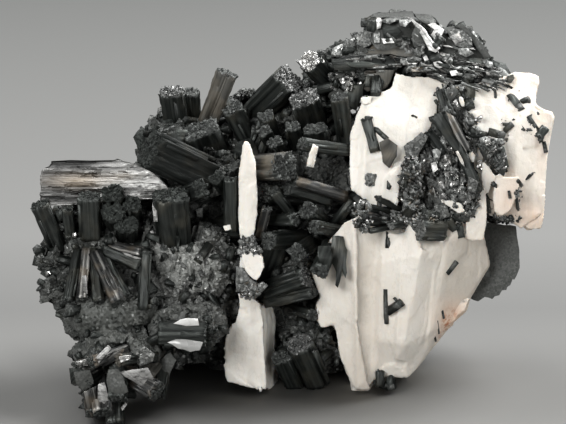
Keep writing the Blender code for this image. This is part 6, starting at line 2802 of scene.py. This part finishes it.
BARITE_BITS = [
    # The slab under the lobe's right edge.
    (
        [(88.6, 18.6, 4.6), (91.0, 20.6, 4.6), (93.2, 22.8, 4.4), (94.4, 25.4, 4.2), (92.4, 25.2, 4.6),
        (90.8, 22.8, 4.8)], 4.0,
    ),
    # The lower right corner of the right plate.
    (
        [(103.8, 46.0, 4.8), (109.2, 46.0, 4.2), (108.8, 41.0, 4.2), (108.4, 38.9, 4.2),
        (105.6, 38.7, 4.4), (104.2, 40.2, 4.8)], 6.0,
    ),
    ([(72.0, 65.4, 8.6), (74.6, 65.6, 8.4), (74.2, 64.0, 8.8), (72.4, 63.8, 8.9)], 1.6),
    ([(44.4, 39.8, 15.6), (46.2, 40.0, 15.6), (46.4, 38.8, 15.8), (44.8, 38.4, 15.8)], 1.2),
    ([(61.0, 51.4, 14.6), (62.9, 51.0, 14.6), (64.0, 55.6, 14.0), (62.4, 56.4, 14.0)], 1.4),
    # White that shows through the dark band, and the blade's tip under its granular ledge.
    (
        [(94.0, 45.6, 9.4), (94.8, 46.4, 9.4), (96.2, 47.6, 9.4), (97.2, 47.2, 9.4), (97.4, 44.8, 9.4),
        (97.4, 41.8, 9.4), (97.2, 39.2, 9.4), (96.8, 36.6, 9.4), (94.4, 36.6, 9.4), (92.8, 37.2, 9.4),
        (93.2, 39.6, 9.4), (92.4, 42.0, 9.4), (93.2, 43.6, 9.4)], 4.0,
    ),
    (
        [(88.0, 44.8, 13.6), (90.0, 45.0, 13.6), (92.4, 44.2, 13.6), (93.2, 42.4, 13.6),
        (91.6, 41.8, 13.6), (90.0, 43.0, 13.6), (88.8, 43.8, 13.6)], 2.5,
    ),
    (
        [(96.2, 52.4, 8.8), (97.4, 52.6, 8.8), (98.2, 51.2, 8.8), (99.2, 49.6, 8.8), (99.8, 48.8, 8.8),
        (98.4, 47.6, 8.8), (97.8, 46.2, 8.8), (96.4, 45.6, 8.8), (96.2, 48.8, 8.8)], 3.0,
    ),
    (
        [(93.2, 53.8, 10.4), (94.4, 54.6, 10.4), (95.4, 53.8, 10.4), (94.8, 52.2, 10.4),
        (93.6, 52.8, 10.4)], 3.0,
    ),
    (
        [(91.8, 65.8, 8.4), (92.8, 65.4, 8.4), (93.2, 63.4, 8.4), (92.2, 63.2, 8.4), (91.6, 64.8, 8.4)],
        3.0,
    ),
    (
        [(75.6, 45.6, 12.6), (77.6, 46.8, 12.6), (79.8, 46.4, 12.6), (80.0, 44.4, 12.6),
        (78.4, 43.2, 12.6), (76.4, 43.6, 12.6)], 2.5,
    ),
    (
        [(48.0, 35.0, 16.2), (50.2, 34.8, 16.2), (52.8, 33.6, 16.2), (53.0, 31.2, 16.2),
        (52.2, 29.4, 16.2), (51.4, 28.4, 16.2), (50.4, 28.8, 16.2), (49.0, 30.2, 16.2),
        (48.2, 32.4, 16.2)], 2.6,
    ),
]


# The outline of the silver prism, and the darker places and the warm place on its face.
SILVER_OUTLINE = [
    (8.2, 44.0), (8.0, 45.6), (8.2, 47.2), (8.0, 49.2), (8.4, 50.6), (8.8, 51.2), (10.0, 51.6),
    (10.4, 52.6), (14.0, 52.8), (18.0, 52.7), (22.8, 52.8), (23.4, 53.1), (24.4, 52.7), (26.2, 52.2),
    (28.2, 51.4), (30.0, 50.6), (31.6, 49.4), (32.8, 48.2), (33.6, 47.2), (33.8, 46.4), (32.8, 45.6),
    (31.2, 45.1), (28.0, 44.9), (24.0, 44.9), (20.0, 44.9), (15.8, 44.8), (15.6, 43.9), (12.0, 43.7),
    (9.2, 43.7),
]
SILVER_DARK = [
    Patch((14.0, 52.3), (12.0, 0.7), 0.75),
    Patch((12.4, 50.3), (4.2, 0.3), 0.8),
    Patch((22.0, 51.0), (5.0, 0.35), 0.5),
    Patch((12.0, 45.4), (5.0, 0.9), 0.35),
    Patch((10.0, 48.4), (3.4, 2.0), 0.25),
    Patch((27.6, 48.9), (4.0, 0.22), 0.6),
    Patch((24.0, 46.9), (3.4, 0.2), 0.5),
]
SILVER_WARM = [
    Patch((16.0, 48.6), (5.6, 1.3), 1.0),
    Patch((24.6, 49.6), (3.0, 0.8), 0.4),
]


@dataclass(frozen=True)
class SilverPrism:
    """The large silver prism: a broad face broken into long thin layers."""

    voxel: float = 0.2
    front: float = 11.4
    thick: float = 4.8
    layers: int = 110
    seed: int = 77
    bow: float = -0.05
    bow_up: float = 48.4
    # What the layers are drawn from: where, how wide, how long, how steep and how high they are.
    layer_up: Pair = (43.0, 53.0)
    layer_half: tuple[float, ...] = (0.1, 0.15, 0.25, 0.45)
    layer_start: Pair = (6.0, 32.0)
    layer_length: Pair = (2.0, 18.0)
    layer_slope: Pair = (-0.03, 0.03)
    layer_height: Pair = (-0.3, 0.22)
    ragged: float = 0.6
    raggedness: Pair = (6.0, 16.0)
    lighter: float = 0.9
    # Where its face is painted brighter, from near its left end rightwards, as a painted highlight; the
    # tones there; and the tone of its sides.
    painted_highlight_from: Pair = (15.0, 8.0)
    tones: Pair = (0.42, 0.5)
    side_tone: float = 0.25

    def build(self, specimen: Specimen, carver: Carver) -> None:
        """Builds the prism.

        Args:
            specimen: Where it goes.
            carver: What makes its mesh.
        """
        outline = [(across, up, self.front) for across, up in SILVER_OUTLINE]
        mesh = carver.remeshed(carver.slab(outline, self.thick), self.voxel, 1)
        points = read_points(mesh)
        normals = read_normals(mesh)
        places = FACE.places_of(points)
        facing = np.clip(facing_of(normals) * 2.0 - 0.4, 0.0, 1.0)
        out, shade = self.layered(places)
        rough = 0.08 * rough_noise(points * np.array((0.3, 1.0, 1.0)), 0.5)
        bow = self.bow * (places[:, 1] - self.bow_up) ** 2
        moved = points + np.array(FACE.sight()) * ((out + rough + bow) * facing * MM)[:, None]
        ends = 0.25 * rough_noise(points * np.array((0.0, 1.0, 1.0)), 0.45, 3.0)
        moved[:, 0] += ends * (1.0 - facing) * MM
        write_points(mesh, moved)
        # From across 15 mm on the tone rises, a painted highlight of the light that glints off the prism's
        # right part.
        bright = past(places[:, 0], *self.painted_highlight_from)
        tone = self.tones[0] + self.tones[1] * bright * bright * (3.0 - 2.0 * bright) + shade
        tone -= patched(places, SILVER_DARK)
        write_number(mesh, "tone", np.where(facing > 0.3, tone, self.side_tone))
        write_number(mesh, "warm", patched(places, SILVER_WARM))
        self.map_lines(mesh, places)
        mesh.materials.append(specimen.finishes.manganite[Finish.SILVER.value])
        specimen.place("silver_prism_crystal", mesh, "silver_manganite", ("silver_prism",))

    def layered(self, places: np.ndarray) -> tuple[np.ndarray, np.ndarray]:
        """How far out the broken layers lift each place, and how much they lighten it.

        Args:
            places: The places, one row each.

        Returns:
            The heights in millimetres, and the tones added.
        """
        rng = random.Random(self.seed)
        out = np.zeros(len(places))
        shade = np.zeros(len(places))
        across, up = places[:, 0], places[:, 1]
        for _ in range(self.layers):
            middle = rng.uniform(*self.layer_up)
            half = rng.choice(self.layer_half)
            start = rng.uniform(*self.layer_start)
            length = rng.uniform(*self.layer_length)
            slope = rng.uniform(*self.layer_slope)
            height = rng.uniform(*self.layer_height)
            waves = up * rng.uniform(*self.raggedness) + rng.uniform(0.0, 6.0)
            ragged = self.ragged * np.sin(waves)
            line = middle + slope * (across - start)
            inside = np.abs(up - line) < half
            inside &= (across > start + ragged) & (across < start + length + ragged)
            out += np.where(inside, height, 0.0)
            shade += np.where(inside, self.lighter * height, 0.0)
        return out, shade

    def map_lines(self, mesh: bpy.types.Mesh, places: np.ndarray) -> None:
        """Gives the mesh pattern coordinates whose lines run along the prism.

        Args:
            mesh: The mesh.
            places: Where its points are on the display face.
        """
        corners = np.empty(len(mesh.loops), np.int64)
        mesh.loops.foreach_get("vertex_index", corners)
        around = places[corners, 1] + 0.7 * places[corners, 2]
        layer = mesh.uv_layers.new(name="pattern")
        layer.data.foreach_set("uv", np.stack((around, places[corners, 0]), axis=1).ravel())


@dataclass(frozen=True)
class Zone:
    """How grains lie over a part of the mass: their share, their size and their finishes."""

    middle: Pair
    half: Pair
    keep: float
    size: float
    finishes: tuple[Finish, ...]


MIXED = (Finish.GREY, Finish.END, Finish.END, Finish.BLACK, Finish.BLACK)
BROKEN = (Finish.BLACK, Finish.BLACK, Finish.COAL, Finish.SLATE, Finish.END)
COLUMNS = (Finish.BLACK, Finish.BLACK, Finish.BLACK, Finish.STREAKED, Finish.BROWN)
ANYWHERE = Zone((0.0, 0.0), (0.0, 0.0), 0.55, 1.15, MIXED)
BEHIND = Zone((0.0, 0.0), (0.0, 0.0), 0.10, 1.1, MIXED)
ZONES = (
    # Darker finishes and fewer grains in the recess between the foot and the lobe paint shade there.
    Zone((61.6, 22.0), (5.6, 7.6), 0.3, 0.9, (Finish.BLACK, Finish.BLACK, Finish.COAL)),
    Zone((41.0, 52.6), (7.0, 8.0), 0.25, 1.0, (Finish.BLACK, Finish.BLACK, Finish.COAL)),
    Zone((21.0, 20.4), (9.6, 4.6), 0.06, 0.7, (Finish.GREY, Finish.SLATE)),
    Zone((39.0, 31.0), (9.0, 8.0), 1.0, 0.95, (Finish.PALE, Finish.GREY, Finish.GREY, Finish.GLITTER)),
    Zone((84.0, 76.0), (20.0, 9.0), 0.2, 1.6, (Finish.GREY, Finish.PALE, Finish.STREAKED, Finish.END)),
)


# Where the mass is dull and smooth, and where it is paler.
DULL = [
    Patch((20.0, 20.6), (8.6, 4.6), 1.3),
    Patch((30.0, 22.6), (5.0, 2.4), 1.0),
    Patch((29.0, 14.6), (3.4, 2.4), 0.8),
]
PALE_ROCK = [
    Patch((39.0, 30.0), (8.6, 7.0), 1.2),
    Patch((34.0, 35.0), (5.0, 2.4), 0.8),
    Patch((45.0, 24.0), (3.0, 4.0), 0.7),
]


@dataclass(frozen=True)
class Mass:
    """The massive manganite under and behind the crystals, with its crust of grains."""

    voxel: float = 0.56
    swell: float = 0.25
    lump: float = 0.9
    grains: int = 8000
    prisms: int = 1300
    blocks: int = 1700
    columns: int = 230
    faces: int = 330
    most: float = 1.7
    broad_cell: float = 3.2
    small_cell: float = 1.5
    gap: float = 0.35
    gap_width: float = 0.25
    lean: float = 0.22
    breaks: Pair = (-0.9, 1.1)
    pull: Pair = (2.0, 2.2)
    alike: float = 11.0
    seed: int = 5
    # What the small and large crystals' sizes are drawn from, in millimetres or widths.
    grain_sizes: tuple[float, ...] = (0.5, 0.7, 0.9, 1.4)
    prism_width: Pair = (0.7, 2.4)
    prism_length: Pair = (1.2, 2.6)
    back_length: Pair = (1.8, 4.2)
    fewer_behind: float = 0.4
    block_size: Pair = (2.0, 6.0)
    column_width: Pair = (2.2, 5.6)
    column_length: Pair = (1.8, 3.2)
    column_flat: Pair = (0.5, 0.95)

    def build(self, specimen: Specimen, carver: Carver, shapes: ShapeMaker, outline: Ground) -> None:
        """Builds the mass, then scatters grains and crystals over it.

        Args:
            specimen: Where the pieces go.
            carver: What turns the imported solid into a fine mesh.
            shapes: The shapes of the small crystals.
            outline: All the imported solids, which the crystals behind mustn't show beside.
        """
        mesh = carver.remeshed(carver.copied("manganite_mass"), self.voxel, 2)
        points = read_points(mesh)
        normals = read_normals(mesh)
        broad, _ = cell_noise(points, self.broad_cell)
        blocks, depth = cell_noise(points, self.small_cell)
        out = self.swell + self.lump * (broad - 0.4) * 0.9 + 0.5 * (blocks - 0.4)
        out -= self.gap * np.clip(self.gap_width - depth, 0.0, self.gap_width) / self.gap_width
        out += 0.12 * rough_noise(points, 0.9)
        places = FACE.places_of(points)
        seen = np.clip(facing_of(normals) * 2.0, 0.0, 1.0)
        dull = np.clip(patched(places, DULL) * seen, 0.0, 1.0)
        broken = self.broken(mesh, points)
        soft = 1.1 + 0.5 * rough_noise(points, 5.0, 2.0) + 0.12 * rough_noise(points, 1.6)
        out = out * (1.0 - dull) + soft * dull
        base = points[:, 2] < BASE * MM
        out[base] = 0.0
        broken *= np.where(base, 0.0, 1.0 - dull)[:, None]
        write_points(mesh, points + broken + normals * (out * MM)[:, None])
        write_number(mesh, "dull", dull)
        write_number(mesh, "pale", patched(places, PALE_ROCK) * seen)
        mesh.materials.append(specimen.finishes.rock)
        specimen.place("manganite_mass_body", mesh, "granular_manganite", ("manganite_mass",))
        self.scatter(specimen, mesh, shapes, outline)

    def broken(self, mesh: bpy.types.Mesh, points: np.ndarray) -> np.ndarray:
        """How each point moves when the surface breaks into flat faces.

        Args:
            mesh: The mass.
            points: Its points in metres, one row each.

        Returns:
            The moves in metres.
        """
        rng = random.Random(self.seed + 30)
        seeds = spots_on(mesh, self.faces, rng)
        tree = KDTree(len(seeds))
        planes = []
        for index, (point, normal) in enumerate(seeds):
            tree.insert(point, index)
            tilted = (normal + Vector([rng.gauss(0.0, self.lean) for _ in range(3)])).normalized()
            planes.append((point + normal * rng.uniform(*self.breaks) * MM, tilted))
        tree.balance()
        moves = np.zeros_like(points)
        for index, spot in enumerate(points):
            place = Vector(spot)
            point, normal = planes[tree.find(place)[1]]
            height = (point - place).dot(normal) / MM
            moves[index] = normal * max(-self.most, min(self.most, height)) * 0.9 * MM
        return moves

    def zone_at(self, point: Vector, normal: Vector) -> Zone:
        """How grains lie at a place on the mass.

        Args:
            point: The place in metres.
            normal: The way out of the mass there.

        Returns:
            The zone.
        """
        if normal.dot(FACE.sight()) < 0.0:
            return BEHIND
        across, up, _ = FACE.place_of(point)
        for zone in ZONES:
            if abs(across - zone.middle[0]) < zone.half[0] and abs(up - zone.middle[1]) < zone.half[1]:
                return zone
        return ANYWHERE

    def scatter(
        self, specimen: Specimen, mesh: bpy.types.Mesh, shapes: ShapeMaker, outline: Ground
    ) -> None:
        """Covers the mass with small grains and with crystals, large ones only behind.

        Args:
            specimen: Where the pieces go.
            mesh: The mass.
            shapes: The shapes of the small crystals.
            outline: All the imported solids, which the crystals behind mustn't show beside.
        """
        rng = random.Random(self.seed)
        grower = CrystalGrower(shapes, self.seed)
        for point, normal in spots_on(mesh, self.grains, rng):
            zone = self.zone_at(point, normal)
            if rng.random() > zone.keep:
                continue
            size = zone.size * rng.choice(self.grain_sizes)
            sizes = worn_size(size, rng, (0.5, 1.0), (0.3, 0.7))
            grower.shard(point, normal, sizes, rng.choice(zone.finishes))
        specimen.place_manganite("mass_grains", grower, "granular_manganite")
        grower = CrystalGrower(shapes, self.seed + 1)
        for point, normal in spots_on(mesh, self.prisms, rng):
            away = normal.dot(FACE.sight()) < 0.2
            if away and rng.random() < self.fewer_behind:
                continue
            share = 0.7 if away else 1.0
            axis = self.heading(point, normal * share, self.pull[0], rng)
            width = rng.uniform(*self.prism_width)
            length = width * rng.uniform(*(self.back_length if away else self.prism_length))
            tip = point + axis * 0.6 * length * MM
            if fits(tip, 0.3) and (not away or outline.hides(tip, 0.5)):
                flat = rng.uniform(0.5, 1.0)
                grower.scattered(point, axis, width, length, Finish.BLACK, Finish.END, flat)
        specimen.place_manganite("mass_crystals", grower, "manganite")
        grower = CrystalGrower(shapes, self.seed + 2)
        for point, normal in spots_on(mesh, self.blocks, rng):
            size = rng.uniform(*self.block_size)
            if normal.dot(FACE.sight()) < 0.1 and fits(point, 0.5) and outline.hides(point, 0.6 * size):
                sizes = worn_size(size, rng, (0.4, 0.9), (0.3, 0.6))
                grower.shard(point - normal * 0.2 * size * MM, normal, sizes, rng.choice(BROKEN))
        specimen.place_manganite("mass_blocks", grower, "granular_manganite")
        for part in range(2):
            grower = CrystalGrower(shapes, self.seed + 3 + part)
            for point, normal in spots_on(mesh, self.columns, rng):
                if normal.dot(FACE.sight()) < 0.1:
                    axis = self.heading(point, normal * 0.8, self.pull[1], rng)
                    self.raise_column(grower, point, axis, outline)
            specimen.place_manganite(f"back_crystals_{part}", grower, "manganite")

    def raise_column(self, grower: CrystalGrower, point: Vector, axis: Vector, outline: Ground) -> None:
        """Grows a large crystal behind, if it stays in the box and out of the eye's sight.

        Args:
            grower: What it is added to.
            point: Its middle, in metres.
            axis: The way that it points.
            outline: What hides it from the eye.
        """
        rng = grower.rng
        width = rng.uniform(*self.column_width)
        length = width * rng.uniform(*self.column_length)
        tip = point + axis * 0.5 * length * MM
        root = point - axis * 0.5 * length * MM
        aside = FACE.turned(0.0, 0.6, 0.0) * width * MM
        spots = (tip + aside, tip - aside, root)
        if fits(tip, 0.6 * width) and all(outline.hides(spot, 0.7 * width) for spot in spots):
            ends = (FACE.place_of(tip), FACE.place_of(root))
            thick = width * rng.uniform(*self.column_flat)
            grower.grow(Crystal(*ends, width, thick, rng.choice(COLUMNS)))

    def heading(self, point: Vector, normal: Vector, pull: float, rng: random.Random) -> Vector:
        """The way a small crystal points, which is alike for crystals near each other.

        Args:
            point: Where the crystal is, in metres.
            normal: The way out of the mass there.
            pull: How strongly neighbours lean alike.
            rng: The random order.

        Returns:
            The direction.
        """
        around = [0.5 * noise.noise(point / (self.alike * MM) + Vector((7.0 * k, 0, 0))) for k in range(3)]
        scatter = Vector([rng.gauss(0.0, 0.2) for _ in range(3)])
        return (normal + Vector(around) * pull + scatter).normalized()


@dataclass(frozen=True)
class LargeCrystals:
    """The large crystals, one piece for each packed crystal."""

    seed: int = 40

    def build(self, specimen: Specimen, shapes: ShapeMaker) -> None:
        """Builds every large crystal.

        Args:
            specimen: Where the pieces go.
            shapes: The forms that they are made from.
        """
        for number, (node, crystals) in enumerate(PRISMS.items()):
            grower = CrystalGrower(shapes, self.seed + number)
            for crystal in crystals:
                grower.grow(crystal)
            specimen.place_manganite(node + "_crystal", grower, "manganite", (node,))
        grower = CrystalGrower(shapes, self.seed - 1)
        grower.flake(BACK_BLOCK, -1.2)
        grower.flake(BACK_CREASE, -0.9)
        specimen.place_manganite("right_back_block_crystal", grower, "manganite", ("right_back_block",))


@dataclass(frozen=True)
class SmallCrystals:
    """The small crystals on the barite, the crust's blocks and the druses."""

    seed: int = 300
    sunk: float = 0.35
    slender: float = 1.7
    block: float = 2.8
    backs: int = 3600
    crust_up: float = 70.0
    # How much thinner than wide a stick is, how deep its grains are, and how its chip sits on it.
    flat: float = 0.85
    splinter: float = 0.7
    chip: Pair = (0.8, 0.9)
    chip_start: Pair = (0.3, 0.7)
    least_grain: float = 0.42
    grain_share: float = 0.4
    back_size: Pair = (0.9, 2.6)
    room: float = 0.8

    def build(self, specimen: Specimen, shapes: ShapeMaker, rock: list[Any], solids: list[Any]) -> None:
        """Builds the sticks, the blocks, the flakes and the druses.

        Args:
            specimen: Where the pieces go.
            shapes: The shapes of the small crystals.
            rock: The meshes of the barite and the mass, which most of them sit on.
            solids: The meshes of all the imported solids, which the flakes lie against.
        """
        ground = Ground(rock)
        against = Ground(solids)
        grower = CrystalGrower(shapes, self.seed)
        for stick in STICKS:
            self.lay(grower, ground, stick)
        specimen.place_manganite("small_crystals", grower, "manganite")
        blocks = CrystalGrower(shapes, self.seed + 19)
        facets = CrystalGrower(shapes, self.seed + 20)
        for flake in FLAKES:
            across, up = np.mean(np.array(flake.outline), axis=0)
            out = against.out_at(across, up) if flake.out is None else flake.out
            if out is not None:
                grower = blocks if flake.thick > self.block else facets
                grower.flake(flake, out + flake.lift)
        broad = specimen.place_manganite("broken_blocks", blocks, "manganite").data
        fine = specimen.place_manganite("broken_facets", facets, "manganite").data
        self.cover(specimen, shapes, broad)
        ground = Ground([*rock, broad])
        everything = Ground([*solids, broad, fine])
        for number, druse in enumerate(DRUSES):
            grower = CrystalGrower(shapes, self.seed + 2 + number)
            self.sow(grower, everything if druse.over else ground, druse)
            specimen.place_manganite(f"druse_{number}", grower, "manganite")

    def cover(self, specimen: Specimen, shapes: ShapeMaker, facets: bpy.types.Mesh) -> None:
        """Covers the backs of the crust's blocks with grains.

        Args:
            specimen: Where the grains go.
            shapes: The shapes of the small crystals.
            facets: The blocks' mesh.
        """
        grower = CrystalGrower(shapes, self.seed + 60)
        rng = grower.rng
        for point, normal in spots_on_facets(facets, self.backs, rng):
            behind = normal.dot(FACE.sight()) < -0.2 and FACE.place_of(point)[1] > self.crust_up
            if behind and fits(point, self.room):
                size = rng.uniform(*self.back_size)
                sizes = worn_size(size, rng, (0.5, 1.0), (0.4, 0.8))
                grower.shard(point, normal, sizes, rng.choice(MIXED))
        specimen.place_manganite("crust_grains", grower, "granular_manganite")

    def lay(self, grower: CrystalGrower, ground: Ground, stick: Stick) -> None:
        """Lays one small crystal on the surface under it.

        Args:
            grower: What it is added to.
            ground: The surface.
            stick: The crystal.
        """
        outs = [ground.out_at(*stick.start), ground.out_at(*stick.end)]
        found = [out for out in outs if out is not None]
        if not found:
            return
        first = outs[0] if outs[0] is not None else found[0]
        last = outs[1] if outs[1] is not None else found[0]
        level = stick.width * (0.5 - self.sunk) + stick.lift
        if stick.width < self.slender:
            start = FACE.at(*stick.start, first + level)
            end = FACE.at(*stick.end, last + level)
            grower.sliver(start, end, stick.width, self.splinter * stick.width, stick.finish)
            middle = start.lerp(end, grower.rng.uniform(*self.chip_start))
            wide, thick = (share * stick.width for share in self.chip)
            grower.sliver(middle, end, wide, thick, Finish.SLATE)
            return
        grower.grow(
            Crystal(
                (*stick.start, first + level),
                (*stick.end, last + level),
                stick.width,
                self.flat * stick.width,
                stick.finish,
                grain=max(self.least_grain, self.grain_share * stick.width),
            )
        )

    def sow(self, grower: CrystalGrower, ground: Ground, druse: Druse) -> None:
        """Sows a druse over the surface under it.

        Args:
            grower: What its crystals are added to.
            ground: The surface.
            druse: The druse.
        """
        rng = grower.rng
        turn = math.radians(druse.turn)
        heading = FACE.turned(*druse.heading)
        for _ in range(druse.count):
            angle = rng.uniform(0.0, math.tau)
            reach = math.sqrt(rng.random())
            x = druse.half[0] * reach * math.cos(angle)
            y = druse.half[1] * reach * math.sin(angle)
            across = druse.middle[0] + x * math.cos(turn) - y * math.sin(turn)
            up = druse.middle[1] + x * math.sin(turn) + y * math.cos(turn)
            out = ground.out_at(across, up)
            if out is None or not fits(FACE.at(across, up, out), self.room):
                continue
            lean = Vector([rng.gauss(0.0, druse.spread) for _ in range(3)])
            axis = (heading + lean).normalized()
            finish = rng.choice((druse.finish, Finish.STREAKED, Finish.PALE, Finish.GREY))
            end = rng.choice((Finish.END, Finish.GREY, druse.finish, Finish.GLITTER))
            if rng.random() < druse.shine:
                finish = end = Finish.BRIGHT
            length = rng.uniform(*druse.length)
            width = rng.uniform(*druse.width)
            flat = rng.uniform(0.3, 0.9)
            grower.scattered(FACE.at(across, up, out), axis, width, length, finish, end, flat)


@dataclass(frozen=True)
class Lamp:
    """A soft square lamp that points at the specimen."""

    place: Triple
    size: float
    power: float
    tint: Triple = (1.0, 1.0, 1.0)
    spares_floor: bool = False


@dataclass(frozen=True)
class Studio:
    """The floor, the lamps, the air around them, and the camera."""

    lamps: tuple[Lamp, ...] = (
        Lamp((0.46, 0.30, 0.66), 0.50, 9.6),
        Lamp((-0.36, 0.44, 0.66), 0.50, 4.7),
        Lamp((-0.42, -0.62, 0.52), 0.45, 8.4, spares_floor=True),
        Lamp((0.42, -0.56, 0.14), 0.50, 2.2, spares_floor=True),
    )
    ambient: float = 0.07
    floor_half: float = 1.5
    sensor: float = 36.0

    def build(self, finishes: Finishes) -> None:
        """Builds the floor, the lamps, the world and the camera.

        Args:
            finishes: What has the floor's material.
        """
        bm = bmesh.new()
        bmesh.ops.create_grid(bm, x_segments=8, y_segments=8, size=self.floor_half)
        mesh = bpy.data.meshes.new("studio_floor")
        bm.to_mesh(mesh)
        bm.free()
        mesh.materials.append(finishes.floor())
        floor = bpy.data.objects.new("studio_floor", mesh)
        bpy.context.scene.collection.objects.link(floor)
        for number, lamp in enumerate(self.lamps):
            self.light(number, lamp)
        world = bpy.data.worlds.new("studio_air")
        world.use_nodes = True
        air = world.node_tree.nodes["Background"]
        air.inputs["Color"].default_value = colour(1.0, 1.0, 1.0)
        air.inputs["Strength"].default_value = self.ambient
        bpy.context.scene.world = world
        bpy.context.scene.view_settings.view_transform = "Standard"
        self.camera()

    def light(self, number: int, lamp: Lamp) -> None:
        """Hangs one lamp.

        Args:
            number: The lamp's number, for its name.
            lamp: The lamp.
        """
        data = bpy.data.lights.new(f"lamp_{number}", "AREA")
        data.size = lamp.size
        data.energy = lamp.power
        data.color = lamp.tint
        hung = bpy.data.objects.new(f"lamp_{number}", data)
        hung.location = lamp.place
        aim = FACE.centre() - Vector(lamp.place)
        hung.rotation_euler = aim.to_track_quat("-Z", "Y").to_euler()
        bpy.context.scene.collection.objects.link(hung)
        if lamp.spares_floor:
            hung.light_linking.receiver_collection = self.lit_pieces()

    def lit_pieces(self) -> bpy.types.Collection:
        """The collection that a lamp which spares the floor lights."""
        found = bpy.data.collections.get(LIT)
        return found or bpy.data.collections.new(LIT)

    def camera(self) -> None:
        """Points a long lens at the display face."""
        data = bpy.data.cameras.new("eye")
        data.sensor_fit = "HORIZONTAL"
        data.sensor_width = self.sensor
        data.lens = self.sensor * FACE.sight_distance / FACE.view_width
        data.clip_start = 0.05
        data.clip_end = 10.0
        eye = bpy.data.objects.new("eye", data)
        eye.location = FACE.eye()
        eye.rotation_euler = (math.radians(90.0 - FACE.lean_deg), 0.0, 0.0)
        bpy.context.scene.collection.objects.link(eye)
        bpy.context.scene.camera = eye


def main() -> None:
    """Builds the studio and the specimen."""
    logging.basicConfig(level=logging.INFO, format="%(message)s")
    finishes = Finishes()
    Studio().build(finishes)
    specimen = Specimen(finishes)
    carver = Carver()
    shapes = ShapeMaker(random.Random(7))
    solids = {name: piece.data for name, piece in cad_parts.items()}
    rock = [solids[name] for name in solids if name.startswith("barite") or name == "manganite_mass"]
    Barite().build(specimen, carver)
    SilverPrism().build(specimen, carver)
    Mass().build(specimen, carver, shapes, Ground(solids.values()))
    LargeCrystals().build(specimen, shapes)
    SmallCrystals().build(specimen, shapes, rock, list(solids.values()))


if __name__ == "__main__":
    main()
